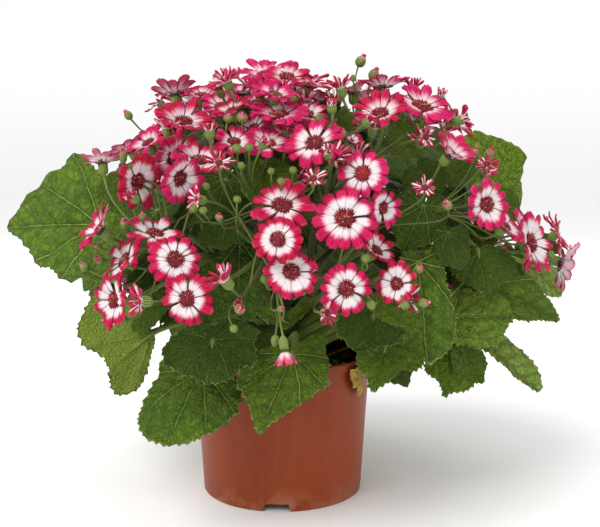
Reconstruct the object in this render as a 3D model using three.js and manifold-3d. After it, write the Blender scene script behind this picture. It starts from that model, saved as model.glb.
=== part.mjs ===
// A florist cineraria in a small nursery pot.
// Millimetres, +Z up. The origin is on the pot's axis, at the plane the foot ring stands on.
// The pot holds potting mix; a short crown stands in it. Big leaves on thick petioles and
// eight forking flower stalks spring from the crown, and the flower heads sit on the forks.
import * as THREE from "three";
import { mergeVertices } from "three/addons/utils/BufferGeometryUtils.js";
import Module from "manifold-3d";

// ---- driving dimensions
const POT_HEIGHT = 100.5; // foot plane to the top of the rim
const POT_TOP_RADIUS = 65; // outside of the rim
const POT_BASE_RADIUS = 57.64; // outside of the wall at the foot plane
const RIM_STEP = 0.8; // how far the rim stands proud of the wall
const RIM_DEPTH = 5.2; // height of the thickened rim
const WALL = 1.7; // wall thickness
const FLOOR_RAISE = 6; // underside of the floor above the foot plane
const FLOOR_THICK = 2;
const FOOT_RING_INNER = 52.5;
const NOTCH_TOP_WIDTH = 16;
const NOTCH_BASE_WIDTH = 19;
const NOTCH_HEIGHT = 5.4;
const NOTCH_AZIMUTH = -92.8; // degrees, the front one; the others follow every quarter turn
const DRAIN_RADIUS = 4;
const DRAIN_CIRCLE = 36;
const SOIL_TOP = 88; // where the potting mix meets the wall
const CROWN_FOOT = 70;
const CROWN_TOP = 137;
const STALK_RADIUS = 3.3; // flower stalk
const BRANCH_RADIUS = 1.7;
const PEDICEL_RADIUS = 1.0;
const PETIOLE_RADIUS = 2.6;
const LEAF_THICK = 1.2;
const CUP_LENGTH = 7; // green cup under a head
const CUP_RADIUS = 4.2;
const DISC_SHARE = 0.31; // maroon disc as a share of the head's radius
const GAP = 0.35; // clearance kept between neighbouring pieces
// closed buds that stand clear of the dome; the buds packed between the heads are left to the finish
const BUDS_AS_SOLIDS = [69, 70, 71, 72, 73];

// kind, branch, centre, facing, radius, cup angle or spread, petals, stalk control points, own name or "", bud width
const HEADS = [
["o",17,[37.7,-156.6,205.4],[-0.078,-0.915,0.397],18.4,4,13,[36.3,-138.7,179.6],[39.2,-138,197.3],"flower_front_10",0],
["o",15,[2.9,-146.1,211],[0.073,-0.719,0.691],18.4,10,12,[1.8,-126.5,207],[1.9,-135.5,200.7],"flower_front_09",0],
["o",14,[1.4,-174.7,195.3],[0.023,-0.922,0.385],13.5,0,13,[-0.2,-147.5,172.8],[0.8,-154.3,186.8],"flower_front_08",0],
["o",14,[8.2,-170.3,177.2],[0.242,-0.83,0.503],15.3,4,12,[0.7,-144.3,169],[3.6,-154.8,167.8],"flower_front_13",0],
["o",17,[37.9,-165.6,167.9],[0.147,-0.968,0.202],15.2,0,13,[35.8,-138.6,172],[35.3,-147.8,164.2],"flower_front_14",0],
["o",18,[67.5,-153.1,169],[-0.551,-0.803,0.228],12.8,14,11,[56.6,-128.2,166.9],[78.7,-136.8,164.4],"",0],
["o",18,[55.5,-134.8,184.6],[0.621,-0.449,0.642],13.2,22,11,[51.5,-122.6,169.3],[46.6,-128.4,175.4],"",0],
["o",19,[59.4,-133.5,209.8],[0.855,-0.518,0.023],10.9,20,11,[56.7,-117,201],[46.2,-125.5,209.5],"",0],
["o",19,[48.5,-139.2,229.8],[-0.174,-0.896,0.408],15,4,12,[57.3,-119.9,206.1],[52.1,-120.9,221.5],"flower_front_07",0],
["o",16,[21.6,-129.3,246.3],[-0.237,-0.772,0.59],17.8,8,12,[16.6,-117.8,224.1],[25.8,-115.5,235.8],"flower_front_06",0],
["o",20,[0.4,-104.9,262.4],[0.012,-0.44,0.898],18.6,16,13,[12.9,-82.9,250.9],[0.2,-96.4,245.1],"flower_front_05",0],
["o",0,[-60.2,-80.5,259.3],[0.201,-0.565,0.8],18.8,24,12,[-59.4,-56,245.5],[-64,-69.9,244.3],"flower_front_04",0],
["o",1,[-37.9,-62.3,271],[0.044,-0.403,0.914],11,22,11,[-39.5,-38.7,255.4],[-38.7,-54.7,253.9],"",0],
["o",13,[-25,-127.3,246.9],[0.191,-0.597,0.779],10.9,12,11,[-17.9,-115.2,225.6],[-28.3,-116.8,233.2],"",0],
["o",3,[-15.1,-93.4,255.7],[-0.535,-0.545,0.646],12.2,10,11,[-14,-61.4,256.4],[-3.7,-81.8,241.9],"",0],
["o",13,[-5.8,-115.5,245.5],[0.096,-0.568,0.817],12.9,18,11,[-13.9,-112.4,225],[-7.3,-106.8,232.9],"",0],
["o",3,[-10,-31.8,293.7],[-0.149,-0.412,0.899],17.6,18,12,[-13.4,-48.6,264.8],[-6.7,-22.8,274],"flower_front_01",0],
["o",3,[4.5,-53.8,290.2],[0.088,-0.538,0.838],14.3,22,12,[-10.9,-52.5,262.4],[2.7,-42.6,272.8],"",0],
["o",20,[18.6,-79.3,282.9],[0.258,-0.224,0.94],13.1,14,12,[16.2,-77.8,254.6],[13.8,-75.2,265.5],"",0],
["o",20,[17.9,-91,264.3],[-0.005,-0.528,0.849],11.7,20,11,[16.6,-78,248.9],[18,-83.5,252.2],"",0],
["o",23,[61.2,-108,263.4],[-0.134,-0.606,0.784],14.9,22,12,[61.8,-85.2,245.3],[63.7,-96.4,248.4],"",0],
["o",22,[65.8,-75.2,280.8],[-0.042,0.036,0.998],14.5,26,12,[51.7,-63.5,262.7],[66.6,-75.9,262.1],"",0],
["o",23,[87.5,-88.7,268.7],[0.239,-0.594,0.768],19.7,14,13,[66.8,-82,246.9],[82.6,-76.5,253],"flower_front_02",0],
["h",26,[101.4,-111.9,237.9],[0.565,-0.506,0.651],13.1,44,11,[99.6,-93.1,213.3],[89.9,-101.6,224.7],"",0],
["o",26,[122.2,-120.4,211.6],[0.675,-0.723,0.145],14.7,14,12,[103.5,-94.3,208.7],[108.2,-105.4,208.6],"",0],
["o",6,[-55.9,-155.9,182.7],[0.187,-0.885,0.426],15.4,2,13,[-60.2,-129.2,171.5],[-59.5,-139.1,174.7],"flower_front_11",0],
["o",9,[-47.4,-169.1,162.9],[-0.163,-0.976,0.142],15.1,2,13,[-35.9,-141.1,166.6],[-44.1,-149.4,160.1],"flower_front_12",0],
["o",6,[-89.8,-146.1,159],[-0.681,-0.724,0.106],15.8,20,13,[-66,-128.2,167.4],[-76.2,-131.5,156.9],"flower_front_16",0],
["o",5,[-87.5,-129.8,177.7],[-0.648,-0.429,0.629],15.1,18,12,[-75,-111.8,183.7],[-76.2,-122.3,166.8],"",0],
["o",5,[-70.6,-135.2,193.9],[-0.002,-0.377,0.926],14.9,20,12,[-72.5,-112.8,186.5],[-70.6,-128.6,177.7],"",0],
["o",5,[-102.6,-127.9,194.5],[-0.845,-0.122,0.52],11.6,20,11,[-78.1,-112.6,187.4],[-85.7,-125.5,184.1],"",0],
["o",8,[-82.5,-120.3,225.6],[-0.934,-0.358,0.005],11.7,24,11,[-59.5,-101.3,216],[-63.2,-113,225.5],"",0],
["o",8,[-65.6,-93.3,239.9],[-0.117,-0.605,0.788],16.6,18,12,[-57,-94.7,217.1],[-63.6,-83,226.5],"flower_front_03",0],
["o",8,[-57.5,-131,228.1],[-0.556,-0.703,-0.443],12,12,11,[-55.4,-103.3,217.4],[-45.6,-116,237.6],"",0],
["o",8,[-47.7,-110.7,235.6],[0.102,-0.558,0.823],13.7,20,12,[-53.4,-97.7,215.5],[-49.4,-101.5,222.1],"",0],
["b",1,[-69.1,-35,283.4],[-0.083,0.492,0.867],14.1,14,12,[-46,-35,259.4],[-67.2,-46.1,263.9],"",0],
["o",1,[-52.4,-46.3,279.2],[0.081,-0.33,0.941],10.6,22,11,[-42.1,-35.3,256.4],[-54,-40.2,261.6],"",0],
["b",7,[-108.6,-90.4,235.7],[-0.374,0.559,0.74],11.7,10,11,[-86.6,-88.2,217.7],[-101.1,-101.7,220.8],"",0],
["o",0,[-82.7,-70.8,247.2],[-0.456,-0.46,0.762],12.1,22,11,[-62.8,-54.2,243],[-74.3,-62.4,233.3],"",0],
["o",1,[-26.9,-42.4,280.9],[-0.006,-0.333,0.943],12,20,11,[-37,-34.6,256.9],[-26.8,-36.5,264.1],"",0],
["h",3,[-11.6,-89.4,276.6],[0.037,-0.768,0.64],8.6,62,10,[-14.1,-59.2,260],[-12.4,-72.6,262.6],"",0],
["o",29,[159.1,-72,184.6],[0.405,-0.257,0.877],18.7,34,12,[143.9,-50.6,178.5],[151.4,-67.1,167.8],"flower_front_15",0],
["p",21,[43.1,-114.5,248.4],[0.375,-0.617,0.692],5.9,30,9,[35.6,-93.6,242.4],[37,-104.5,237.2],"",0],
["b",29,[192.8,-23.3,167.2],[0.987,0.118,-0.113],15.4,12,11,[154.1,-42.3,176.8],[166.4,-26.4,170.2],"",0],
["q",3,[-28.9,-94.5,279.7],[-0.355,-0.229,0.907],14.6,44,16,[-17.5,-62.9,264],[-21.9,-90,261.7],"",0],
["q",20,[1.8,-112.1,276.5],[0.004,-0.109,0.994],10.6,22,12,[13.1,-86.8,257.2],[1.7,-110.2,258.2],"",0],
["q",21,[38.8,-101.7,274.4],[-0.223,-0.184,0.957],13.2,34,14,[35.7,-93.9,250],[41.9,-99.1,261.2],"",0],
["q",25,[84.3,-63.2,278],[0.155,-0.073,0.985],12.2,22,10,[78,-57.1,257.1],[82.4,-62.4,265.9],"",0],
["q",25,[102.7,-57,274.6],[0.284,-0.112,0.952],9.7,16,8,[82.3,-56.3,257.3],[98.5,-55.4,260.7],"",0],
["q",25,[107.9,-81.4,260.5],[0.892,-0.169,0.42],13.1,32,14,[84.4,-61.5,255.7],[93.2,-78.6,253.6],"",0],
["q",21,[31.7,-118.5,264.5],[-0.043,-0.109,0.993],8.7,12,10,[34.4,-97.3,248.2],[32.3,-116.9,250],"",0],
["q",21,[49.3,-125.4,257.3],[0.691,-0.362,0.625],8.1,26,12,[38,-99.4,247.5],[38,-119.5,247.1],"",0],
["q",13,[-37.9,-135.9,248.9],[-0.003,-0.217,0.976],10.2,24,13,[-20.7,-120.1,229.3],[-37.9,-132.3,232.9],"",0],
["q",13,[-8.9,-140.3,243.8],[0.49,-0.334,0.805],7.3,14,10,[-14.9,-120.1,227.5],[-16,-135.5,232.1],"",0],
["q",11,[-32.1,-145.6,232.6],[0.078,-0.807,0.585],10,52,14,[-28.5,-127.7,213.7],[-33.2,-134.1,224.2],"",0],
["q",11,[-39.2,-143.1,214.7],[-0.844,-0.507,0.176],11.2,40,13,[-29.4,-125.8,209.4],[-29.8,-137.4,212.8],"",0],
["q",5,[-78.8,-138.7,213.5],[-0.55,-0.349,0.759],8.5,30,12,[-75.9,-116.6,192.4],[-69.8,-133,201.1],"",0],
["q",15,[20.7,-150.6,224.4],[-0.067,-0.78,0.622],8.3,46,12,[5.7,-131.6,212.4],[21.7,-139.2,215.3],"",0],
["q",16,[29.2,-144.5,238.7],[-0.297,-0.597,0.745],7.8,30,11,[18.2,-123.4,224.7],[33.7,-135.5,227.5],"",0],
["q",23,[84.2,-110.8,250.3],[0.552,-0.806,0.213],8.3,48,13,[67,-87.8,245.1],[75.5,-98.1,247],"",0],
["q",19,[84.4,-133.7,219.5],[-0.123,-0.834,0.538],8,50,13,[64.4,-120.4,204.7],[86.3,-120.9,211.3],"",0],
["q",27,[126.1,-102.1,232.6],[-0.163,-0.72,0.674],7.9,46,13,[115.7,-84.2,214],[128.6,-91.3,222.4],"",0],
["q",10,[-23.2,-174,169],[-0.537,-0.329,0.777],13.9,30,14,[-18.2,-149.2,166.1],[-15.8,-169.4,158.2],"",0],
["q",6,[-66.7,-166.3,160.9],[-0.866,-0.488,0.106],14.1,38,12,[-63.2,-135.1,168],[-51.6,-157.8,159],"",0],
["q",17,[24.2,-173.9,156.1],[0.711,-0.694,0.112],8,50,12,[33.9,-145.5,170.5],[11.8,-161.8,154.1],"",0],
["q",14,[3.4,-179.5,137.1],[0.003,-0.243,-0.97],9,24,10,[0.4,-152.2,161.8],[3.4,-174.8,156.1],"",0],
["q",0,[-73.3,-62.5,270.4],[-0.625,-0.285,0.726],11.6,46,9,[-62.1,-53.7,249.2],[-64.6,-58.5,260.3],"",0],
["q",29,[183.3,-35.4,184.9],[0.706,-0.213,0.676],16.4,46,14,[151.9,-44.3,180],[170.8,-31.6,172.9],"",0],
["q",10,[-20.6,-166.5,157.6],[0.058,-0.785,0.617],4.9,30,10,[-17.5,-146.5,163.9],[-21.3,-157.4,150.5],"",0],
["B",24,[54.3,-28.8,305.3],[0.469,-0.084,0.879],8.8,0,1,[56.4,-23.9,267.5],[43.6,-26.9,285.3],"",6.8],
["B",22,[60.7,-60.1,293.4],[0.466,-0.084,0.881],8.4,0,1,[50.5,-60.8,266.5],[52.5,-58.6,278],"",6.4],
["B",22,[46.4,-73.8,289.6],[-0.109,-0.258,0.96],4.4,0,0,[48.1,-63.3,265.8],[48,-69.9,275],"",3.8],
["B",0,[-97.1,-66.5,267],[-0.539,-0.182,0.822],7,0,1,[-67.6,-55.4,249.5],[-85.6,-62.6,249.4],"",5.1],
["B",7,[-94.8,-97.5,240.5],[0.016,-0.158,0.987],9.1,0,1,[-84.1,-88.4,218.4],[-95.1,-94.9,224],"",4.9],
["B",13,[-28.5,-125,261.8],[0.28,-0.436,0.855],5.2,0,1,[-19,-117.9,231.5],[-33.8,-116.7,245.7],"",5.2],
["B",13,[-20.3,-126.7,262.3],[0.044,-0.61,0.791],6.3,0,1,[-17.2,-117.8,231.3],[-21.2,-115.1,247.3],"",6.3],
["B",13,[-22.3,-141.9,244.3],[0.048,-0.599,0.799],5,0,0,[-17.4,-119.9,227],[-23.1,-131.8,230.9],"",5.6],
["B",13,[-15.5,-143.1,244.8],[0.039,-0.6,0.799],5,0,0,[-16.2,-120.3,227.2],[-16.1,-132.9,231.3],"",5],
["B",25,[105.3,-47.8,278.5],[0.119,-0.257,0.959],5.9,0,1,[83.3,-54.6,258.1],[103.1,-43,260.8],"",5.3],
["B",21,[24.2,-114.2,262.4],[-0.015,-0.611,0.791],5.3,0,0,[32.8,-95.5,246.8],[24.4,-104.9,250.4],"",5.3],
["B",21,[37.3,-122.8,253.4],[-0.032,-0.606,0.795],5.8,0,1,[35.4,-97.3,245.2],[37.9,-113,240.5],"",5.2],
["B",27,[119.8,-96.1,242.9],[0.06,-0.431,0.901],6.1,0,1,[114.5,-82.8,215.6],[118.8,-88.4,226.9],"",4.9],
["B",27,[129.8,-89.2,241.8],[0.398,-0.265,0.878],8.7,0,1,[115.9,-81.3,215],[122.4,-84.2,225.4],"",5.6],
["B",19,[96.8,-135.7,212.2],[-0.366,-0.56,0.743],6.3,0,1,[67.8,-121.7,203.7],[104.4,-124.2,196.8],"",5.7],
["B",26,[118.4,-114.8,222.6],[-0.1,-0.415,0.904],5.3,0,0,[103.8,-94.1,210.7],[120.1,-107.7,207.1],"",4.7],
["B",27,[127.5,-108,223.7],[-0.107,-0.414,0.904],5.4,0,0,[115.8,-84.9,211.7],[129.3,-100.9,208],"",5.4],
["B",27,[130.7,-108.7,209.9],[-0.004,-0.577,0.817],4.8,0,0,[116.3,-85,209.1],[130.7,-99.1,196.4],"",4.8],
["B",15,[-3.1,-146.7,231.5],[0.022,-0.593,0.805],4.4,0,0,[0.9,-129.6,212.8],[-3.4,-137.8,219.5],"",3.9],
["B",15,[2.5,-152.2,226.1],[0.014,-0.589,0.808],4.4,0,0,[2,-130.6,211.8],[2.3,-143.2,213.8],"",4.4],
["B",15,[9.1,-146.5,232.1],[0.005,-0.593,0.805],4.4,0,0,[3.3,-129.7,213],[9,-137.5,219.8],"",4.4],
["B",11,[-40.2,-138.1,223],[-0.234,-0.519,0.822],5.1,0,0,[-29.3,-124.3,210.4],[-37.2,-131.4,212.3],"",4],
["B",13,[-20,-143,234.8],[0.044,-0.594,0.803],4.5,0,0,[-16.9,-119.7,224.8],[-20.7,-134,222.7],"",4.5],
["B",12,[-21.6,-153.6,216.2],[0.046,-0.581,0.812],4.4,0,0,[-24.4,-136.1,202],[-22.3,-145.8,205.4],"",4.4],
["B",12,[-31.4,-156.6,206.5],[0.059,-0.574,0.817],4.4,0,1,[-26.2,-136.5,200.1],[-32.1,-149,195.7],"",4.4],
["B",12,[-44.7,-163.5,211.7],[-0.223,-0.512,0.829],4.9,0,0,[-29.2,-140,201.9],[-40.8,-154.5,197.1],"",4.3],
["B",12,[-39.2,-164.7,210.7],[-0.067,-0.582,0.811],4.3,0,0,[-28.1,-139.9,201.7],[-38.1,-154.9,197],"",4.3],
["B",5,[-88.4,-131.5,201.1],[0.067,-0.408,0.911],6.3,0,1,[-76.4,-113,188.8],[-89.5,-125,186.7],"",5.2],
["B",5,[-76.6,-139,206.1],[0.088,-0.41,0.908],5.1,0,1,[-74.8,-115.4,190.2],[-78.1,-132.1,190.9],"",4.5],
["B",5,[-105.4,-122.1,179.9],[-0.612,-0.761,0.216],5.9,0,1,[-80,-111.8,185.3],[-95.4,-109.7,176.4],"",5.9],
["B",5,[-107.2,-116.1,187.1],[-0.704,-0.484,0.519],4.8,0,1,[-80.4,-110.8,186.6],[-96.1,-108.5,178.9],"",4.2],
["B",10,[-18.8,-177.5,158.8],[0.372,-0.839,0.398],5.8,0,1,[-17.6,-149.7,163.9],[-25.2,-163,151.9],"",5.8],
["B",10,[-22.1,-177.4,148],[0.457,-0.645,-0.612],4.8,0,0,[-18.3,-150.6,162.3],[-30.3,-165.8,159],"",4.3],
["B",14,[-0.9,-174.5,138.3],[-0.027,-0.363,-0.931],4.8,0,0,[-0.5,-149.7,162.5],[-0.4,-167.4,156.5],"",4.3],
["B",14,[-6.5,-164.4,173.2],[-0.276,-0.41,0.869],5.4,0,0,[-1.7,-143.7,168.5],[-2.8,-158.8,161.3],"",4.3],
["B",14,[2.7,-167.8,157.3],[0.72,-0.597,0.354],4.3,0,1,[-0.3,-145.2,165.7],[-7.9,-159,152.1],"",3.8],
["B",18,[79.3,-151.5,177.2],[0.378,-0.425,0.823],5,0,1,[58.6,-130.1,168.5],[72.4,-143.7,162.2],"",4.5],
["B",18,[81.6,-156.7,158.9],[0.93,-0.341,0.138],6.6,0,1,[58.9,-131.8,165.4],[62.6,-149.7,156.1],"",5],
["B",18,[51.9,-161.3,158.5],[0.408,-0.592,-0.695],6.6,0,0,[53.1,-131.7,165.7],[44.4,-150.4,171.3],"",4.9],
["B",18,[69.9,-167.2,158.8],[0.024,-0.847,-0.532],4.9,0,0,[57.5,-134.2,165.8],[69.4,-149.5,169.9],"",4.9],
["B",14,[14.1,-166,166.9],[0.427,-0.412,0.805],5.4,0,0,[2,-144.9,167.3],[7.6,-159.8,154.7],"",4.9],
["B",17,[48.5,-159.8,184.2],[-0.329,-0.408,0.852],5.5,0,0,[38.3,-139.2,175.1],[53.6,-153.5,171.1],"",4.9],
["B",29,[158.1,-79.4,176.9],[0.327,-0.592,-0.737],5.7,0,1,[145.6,-52.5,178.7],[152.5,-69.3,189.5],"",5.7],
["B",27,[146.5,-88.6,198.5],[-0.06,-0.152,0.987],3.1,0,0,[120.3,-81.9,207.2],[147.5,-86.1,182.2],"",2.5],
["B",29,[185,-35.5,173.9],[0.317,-0.591,-0.742],6.2,0,0,[152.2,-44,178.3],[178.3,-23,189.6],"",5.5],
["o",37,[-129.1,112,146.3],[-0.521,0.643,0.561],18.5,12.6,12,[-109.4,86,163.5],[-116.1,96,132.3],"",0],
["o",33,[117.3,131.4,148.3],[0.368,0.765,0.528],17.4,16.9,13,[96.5,106.8,169.6],[107.7,111.5,134.5],"",0],
["o",41,[-41.4,159.6,151.3],[-0.393,0.703,0.593],15.8,11.2,12,[-35.7,129.5,169.2],[-31.7,142.3,136.8],"",0],
["B",36,[175.3,55.4,151.2],[0.6,0.39,0.699],6.7,0,1,[140.9,53.9,168.5],[161.2,46.3,134.8],"",6.3],
["B",31,[60.2,154.4,154.7],[0.058,0.824,0.564],8,0,1,[52,123.5,179],[58.8,134.5,141],"",6.2],
["o",39,[-98.1,134.1,159.4],[-0.499,0.711,0.496],16.3,17.4,13,[-77.2,109.1,181.8],[-85.2,115.7,146.5],"",0],
["q",35,[140.5,101.3,158.9],[0.594,0.684,0.422],14.3,30.6,12,[119.6,79.8,183.4],[128.7,87.6,150.4],"",0],
["q",41,[-1.7,157.8,160.9],[-0.095,0.808,0.582],14.1,47.2,13,[-28.4,132.1,172],[0.1,141.9,149.4],"",0],
["o",37,[-141,92.6,167.4],[-0.631,0.544,0.554],17.3,12.4,12,[-109.7,81.2,167.7],[-126.9,80.4,155],"",0],
["o",33,[94.8,140.3,169.4],[0.176,0.653,0.737],16.9,15.1,13,[91,107,173.5],[90.7,125.2,152.5],"",0],
["B",41,[-61.8,146.1,170.7],[-0.278,0.757,0.591],7.8,0,0,[-39.9,125.5,173.3],[-56.6,132.1,159.8],"",5.9],
["B",36,[160.5,73.2,173.1],[0.758,0.475,0.446],8.5,0,0,[134.4,56.3,172.7],[146,64.1,164.6],"",5.7],
["o",31,[35.8,157.1,177.5],[0.101,0.857,0.506],15.5,9.5,12,[46.7,121.4,183.1],[33.4,136.1,165.1],"",0],
["o",39,[-112.9,116.3,180.5],[-0.655,0.494,0.572],16.6,16.4,13,[-78.8,104.4,185.7],[-97.3,104.6,166.9],"flower_back_06",0],
["q",33,[120.2,113.5,178.5],[0.486,0.563,0.668],16.4,40.2,13,[95.5,101.9,176.2],[113,105.2,168.6],"",0],
["B",41,[-25.2,152.4,183.2],[0.079,0.598,0.797],6.8,0,1,[-32.8,126,175.6],[-26.6,142,169.3],"",6.2],
["q",36,[167.5,40.9,183.8],[0.773,0.057,0.632],12.3,30.7,12,[138.1,50.9,175.3],[154.2,39.9,172.9],"",0],
["B",37,[-145,69.9,186.6],[-0.645,0.39,0.657],8.5,0,1,[-112.6,78,171.8],[-131,61.4,172.4],"",6.6],
["o",31,[70.5,143.4,190.6],[0.273,0.837,0.474],16.9,13.7,12,[52.8,116.5,185.3],[64.7,125.6,180.5],"flower_back_04",0],
["B",39,[-79.1,130.4,191.5],[-0.215,0.695,0.686],8,0,0,[-71.2,105.1,187.5],[-75.5,118.7,180],"",5.7],
["o",35,[143.5,88.4,195.6],[0.601,0.301,0.74],18.1,4.5,11,[115.6,74.7,189],[130.6,82,179.7],"",0],
["o",42,[12.1,151.2,198.6],[0.143,0.867,0.478],15.6,18,13,[-9,116.8,208.6],[8.4,128.7,186.2],"flower_back_03",0],
["B",38,[-119.8,94.2,199.6],[-0.604,0.416,0.68],8.5,0,0,[-94.1,74.7,206.3],[-107.6,85.8,185.8],"",5.8],
["q",33,[96.1,118.7,200.5],[0.538,0.658,0.527],12.2,28.4,11,[90.7,102.8,180.6],[88.8,109.8,193.4],"",0],
["B",41,[-42.8,138.5,204.6],[-0.469,0.541,0.698],6.2,0,0,[-36,123.9,180.1],[-35,129.5,193],"",5.7],
["o",35,[154.7,57.1,208.7],[0.642,0.383,0.664],15.5,9.3,11,[120.7,69.8,192.4],[138.6,47.5,192],"flower_back_05",0],
["B",39,[-90.1,110.8,212.5],[-0.351,0.576,0.738],7.8,0,1,[-73.5,101.7,191.7],[-84.2,101,200.1],"",6.8],
["o",35,[120.3,96.7,216.8],[0.479,0.502,0.72],18.3,4.5,11,[111.3,76.2,193.2],[110.5,86.4,202.1],"",0],
["q",42,[-7.4,135.2,215.5],[-0.262,0.642,0.72],12.9,35.6,12,[-13.3,111,210.6],[-3.8,126.3,205.6],"",0],
["o",34,[156.2,25.4,221.8],[0.646,0.276,0.712],15.7,9.7,12,[112.6,40.3,225.6],[137.5,17.4,201.2],"",0],
["o",38,[-123.1,72.7,222.8],[-0.533,0.443,0.721],15.4,9.9,12,[-93.4,69.7,209.9],[-111.6,63.2,207.2],"flower_back_02",0],
["o",32,[74.1,121.5,224.8],[0.269,0.531,0.804],18.3,10.1,12,[66.4,91.6,219.9],[68.4,110.3,207.8],"",0],
["q",39,[-56.7,116.4,224.2],[-0.231,0.756,0.613],15.7,48.4,13,[-68.5,105.8,196.1],[-53.1,104.5,214.5],"",0],
["q",34,[129.6,65.2,224.9],[0.401,0.391,0.828],15.3,24.4,11,[104.6,48.1,224.6],[123.2,59,211.7],"",0],
["B",31,[22.3,127.6,230.5],[0.256,0.564,0.785],6.1,0,1,[43.8,119.4,195.3],[16.5,114.9,212.8],"",7],
["B",28,[145.9,-4.4,232.7],[0.689,0.099,0.718],6.9,0,0,[122.8,-20.7,221.4],[133.4,-6.2,219.6],"",5.9],
["o",38,[-95,89.2,235.9],[-0.507,0.529,0.68],16.6,5.7,11,[-87.2,72.4,212.1],[-85.2,78.9,222.7],"",0],
["q",32,[91.2,94.4,233.7],[0.489,0.53,0.693],15.9,24.4,11,[69.9,86.6,222.4],[84.6,87.2,224.4],"",0],
["B",42,[-24.9,118.6,238.4],[-0.091,0.506,0.858],7.9,0,0,[-16.7,107.2,214.3],[-23.4,110.2,224.1],"",5.9],
["B",34,[132.3,37.1,240.4],[0.419,0.311,0.853],6.3,0,1,[104.4,42.3,226.8],[124.3,31.2,224.2],"",6.5],
["o",38,[-115.5,49.5,243.9],[-0.404,0.278,0.872],18.2,4.9,11,[-94.3,66.1,215.4],[-105.6,42.7,222.5],"",0],
["o",32,[49.2,112,246],[0.094,0.331,0.939],17,18.3,13,[61.8,90.3,224.2],[47.1,104.9,225.7],"",0],
["o",28,[130.9,-28.6,248],[0.529,0.083,0.845],15.2,15.7,13,[118.1,-25.6,222.6],[121,-30.2,232.2],"",0],
["o",40,[-61.3,92.8,244.1],[-0.319,0.596,0.737],18.2,14.3,12,[-46.5,74.3,231.8],[-55.6,82.1,231],"",0],
["o",34,[104.4,70.4,251],[0.181,0.208,0.961],16.5,6.6,11,[98.5,48.7,227.7],[100.6,66,231],"",0],
["h",42,[4.2,110.2,254],[0.156,0.352,0.923],11.6,42,13,[-10.8,107.7,218.6],[0.6,101.9,232.4],"",0],
["o",40,[-84.8,61.1,251.9],[-0.582,0.167,0.796],15.2,4.8,11,[-52.3,70.1,236.7],[-71.5,57.3,233.8],"",0],
["B",32,[66.1,87.2,256.5],[0.07,0.504,0.861],6.6,0,1,[65.1,85.2,226.8],[64.9,78.5,241.6],"",6.6],
["B",40,[-33.1,93.1,259.2],[-0.144,0.2,0.969],6.1,0,0,[-41.8,75.9,236.9],[-30.6,89.6,242.3],"",6.1],
["o",34,[103,42.7,264.1],[0.473,0.295,0.83],16.4,17.4,13,[98,43.1,230.8],[92.8,36.3,246.3],"",0],
["B",2,[-95,26.6,262.3],[-0.295,0.274,0.915],6.9,0,1,[-64.4,10.5,252.3],[-88.6,20.8,242.7],"",6.2],
["o",30,[26.7,91.4,267.1],[0.209,0.298,0.931],16.3,16.4,13,[44.6,63.7,246.9],[21.5,84,244],"",0],
["o",24,[97.1,-9.5,257.8],[0.409,-0.236,0.882],18.4,9.1,11,[65.2,-19.6,257.3],[87.8,-4.1,237.8],"",0],
["B",40,[-57.6,66.6,267.2],[-0.218,0.109,0.97],6.2,0,1,[-46.6,70.9,238.7],[-53.7,64.7,249.8],"",6.7],
["o",30,[71.6,61.4,272.1],[0.346,0.156,0.925],18.4,11.8,12,[52.9,56.7,245],[64.2,58.1,252.4],"",0],
["q",2,[-73.9,-3.5,250],[-0.225,-0.166,0.96],16.6,24.7,11,[-57.8,3.5,246.7],[-71.8,-2,241.2],"",0],
["o",40,[-7.1,79.3,275.2],[-0.159,0.527,0.835],16.8,16.7,13,[-37.1,74.6,244],[-2.8,65.1,252.7],"",0],
["q",34,[87,16.3,271.4],[0.169,0.251,0.953],16,34.9,12,[99,38.5,237.6],[83.6,11.2,251.9],"",0],
["o",2,[-65.9,36.1,278.2],[-0.161,0.271,0.949],18.5,8.1,11,[-57.9,11.8,253.6],[-62.3,29.9,256.7],"",0],
["o",30,[35,59.1,268],[-0.03,0.322,0.946],16.3,11.4,12,[46,55.5,242.9],[35.5,53.2,250.7],"",0],
["h",1,[-57.4,-25,268.9],[-0.468,-0.138,0.873],12.5,42,13,[-42,-31,253.5],[-50.1,-22.9,255.2],"",0],
["h",24,[72,-20.5,276],[0.34,-0.041,0.94],12.5,42,13,[57.3,-22.8,256.7],[66.3,-19.8,260.2],"",0],
["h",30,[57.5,30.9,278.9],[0.262,0.105,0.959],12,42,13,[50.8,51.1,248.4],[51.4,28.5,256.6],"",0],
["o",2,[-49.7,7.9,273.6],[-0.281,0.011,0.96],17.9,11.8,12,[-52.4,5.8,250],[-45.2,7.7,258.1],"",0],
["o",4,[9.7,49.4,288.2],[-0.04,0.458,0.888],18.2,17.7,13,[-2.3,15.1,269.2],[10.7,37.7,265.6],"flower_back_01",0],
["o",24,[51.1,0.8,283.8],[0.047,-0.001,0.999],17.4,5.7,11,[54.8,-18.2,260.5],[50.1,0.8,263.8],"",0],
["q",4,[-26.2,24,285.4],[0.046,0.236,0.971],16.6,48.8,13,[-9.9,9.9,267.5],[-26.9,20.6,271.2],"",0],
["h",4,[23.3,21.3,280.1],[0.252,0.011,0.968],12.5,42,13,[-0.2,9.4,264.7],[18.2,21.1,260.3],"",0],
["q",4,[-17.4,-4,288.3],[-0.127,-0.06,0.99],16.1,24.1,11,[-8.3,4.1,267],[-15.8,-3.2,275.5],"",0],
["o",4,[17.7,-6.4,288.6],[-0.007,-0.141,0.99],15.8,13.2,12,[-1.1,3.9,266.3],[17.8,-3.6,268.4],"",0],
];
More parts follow.
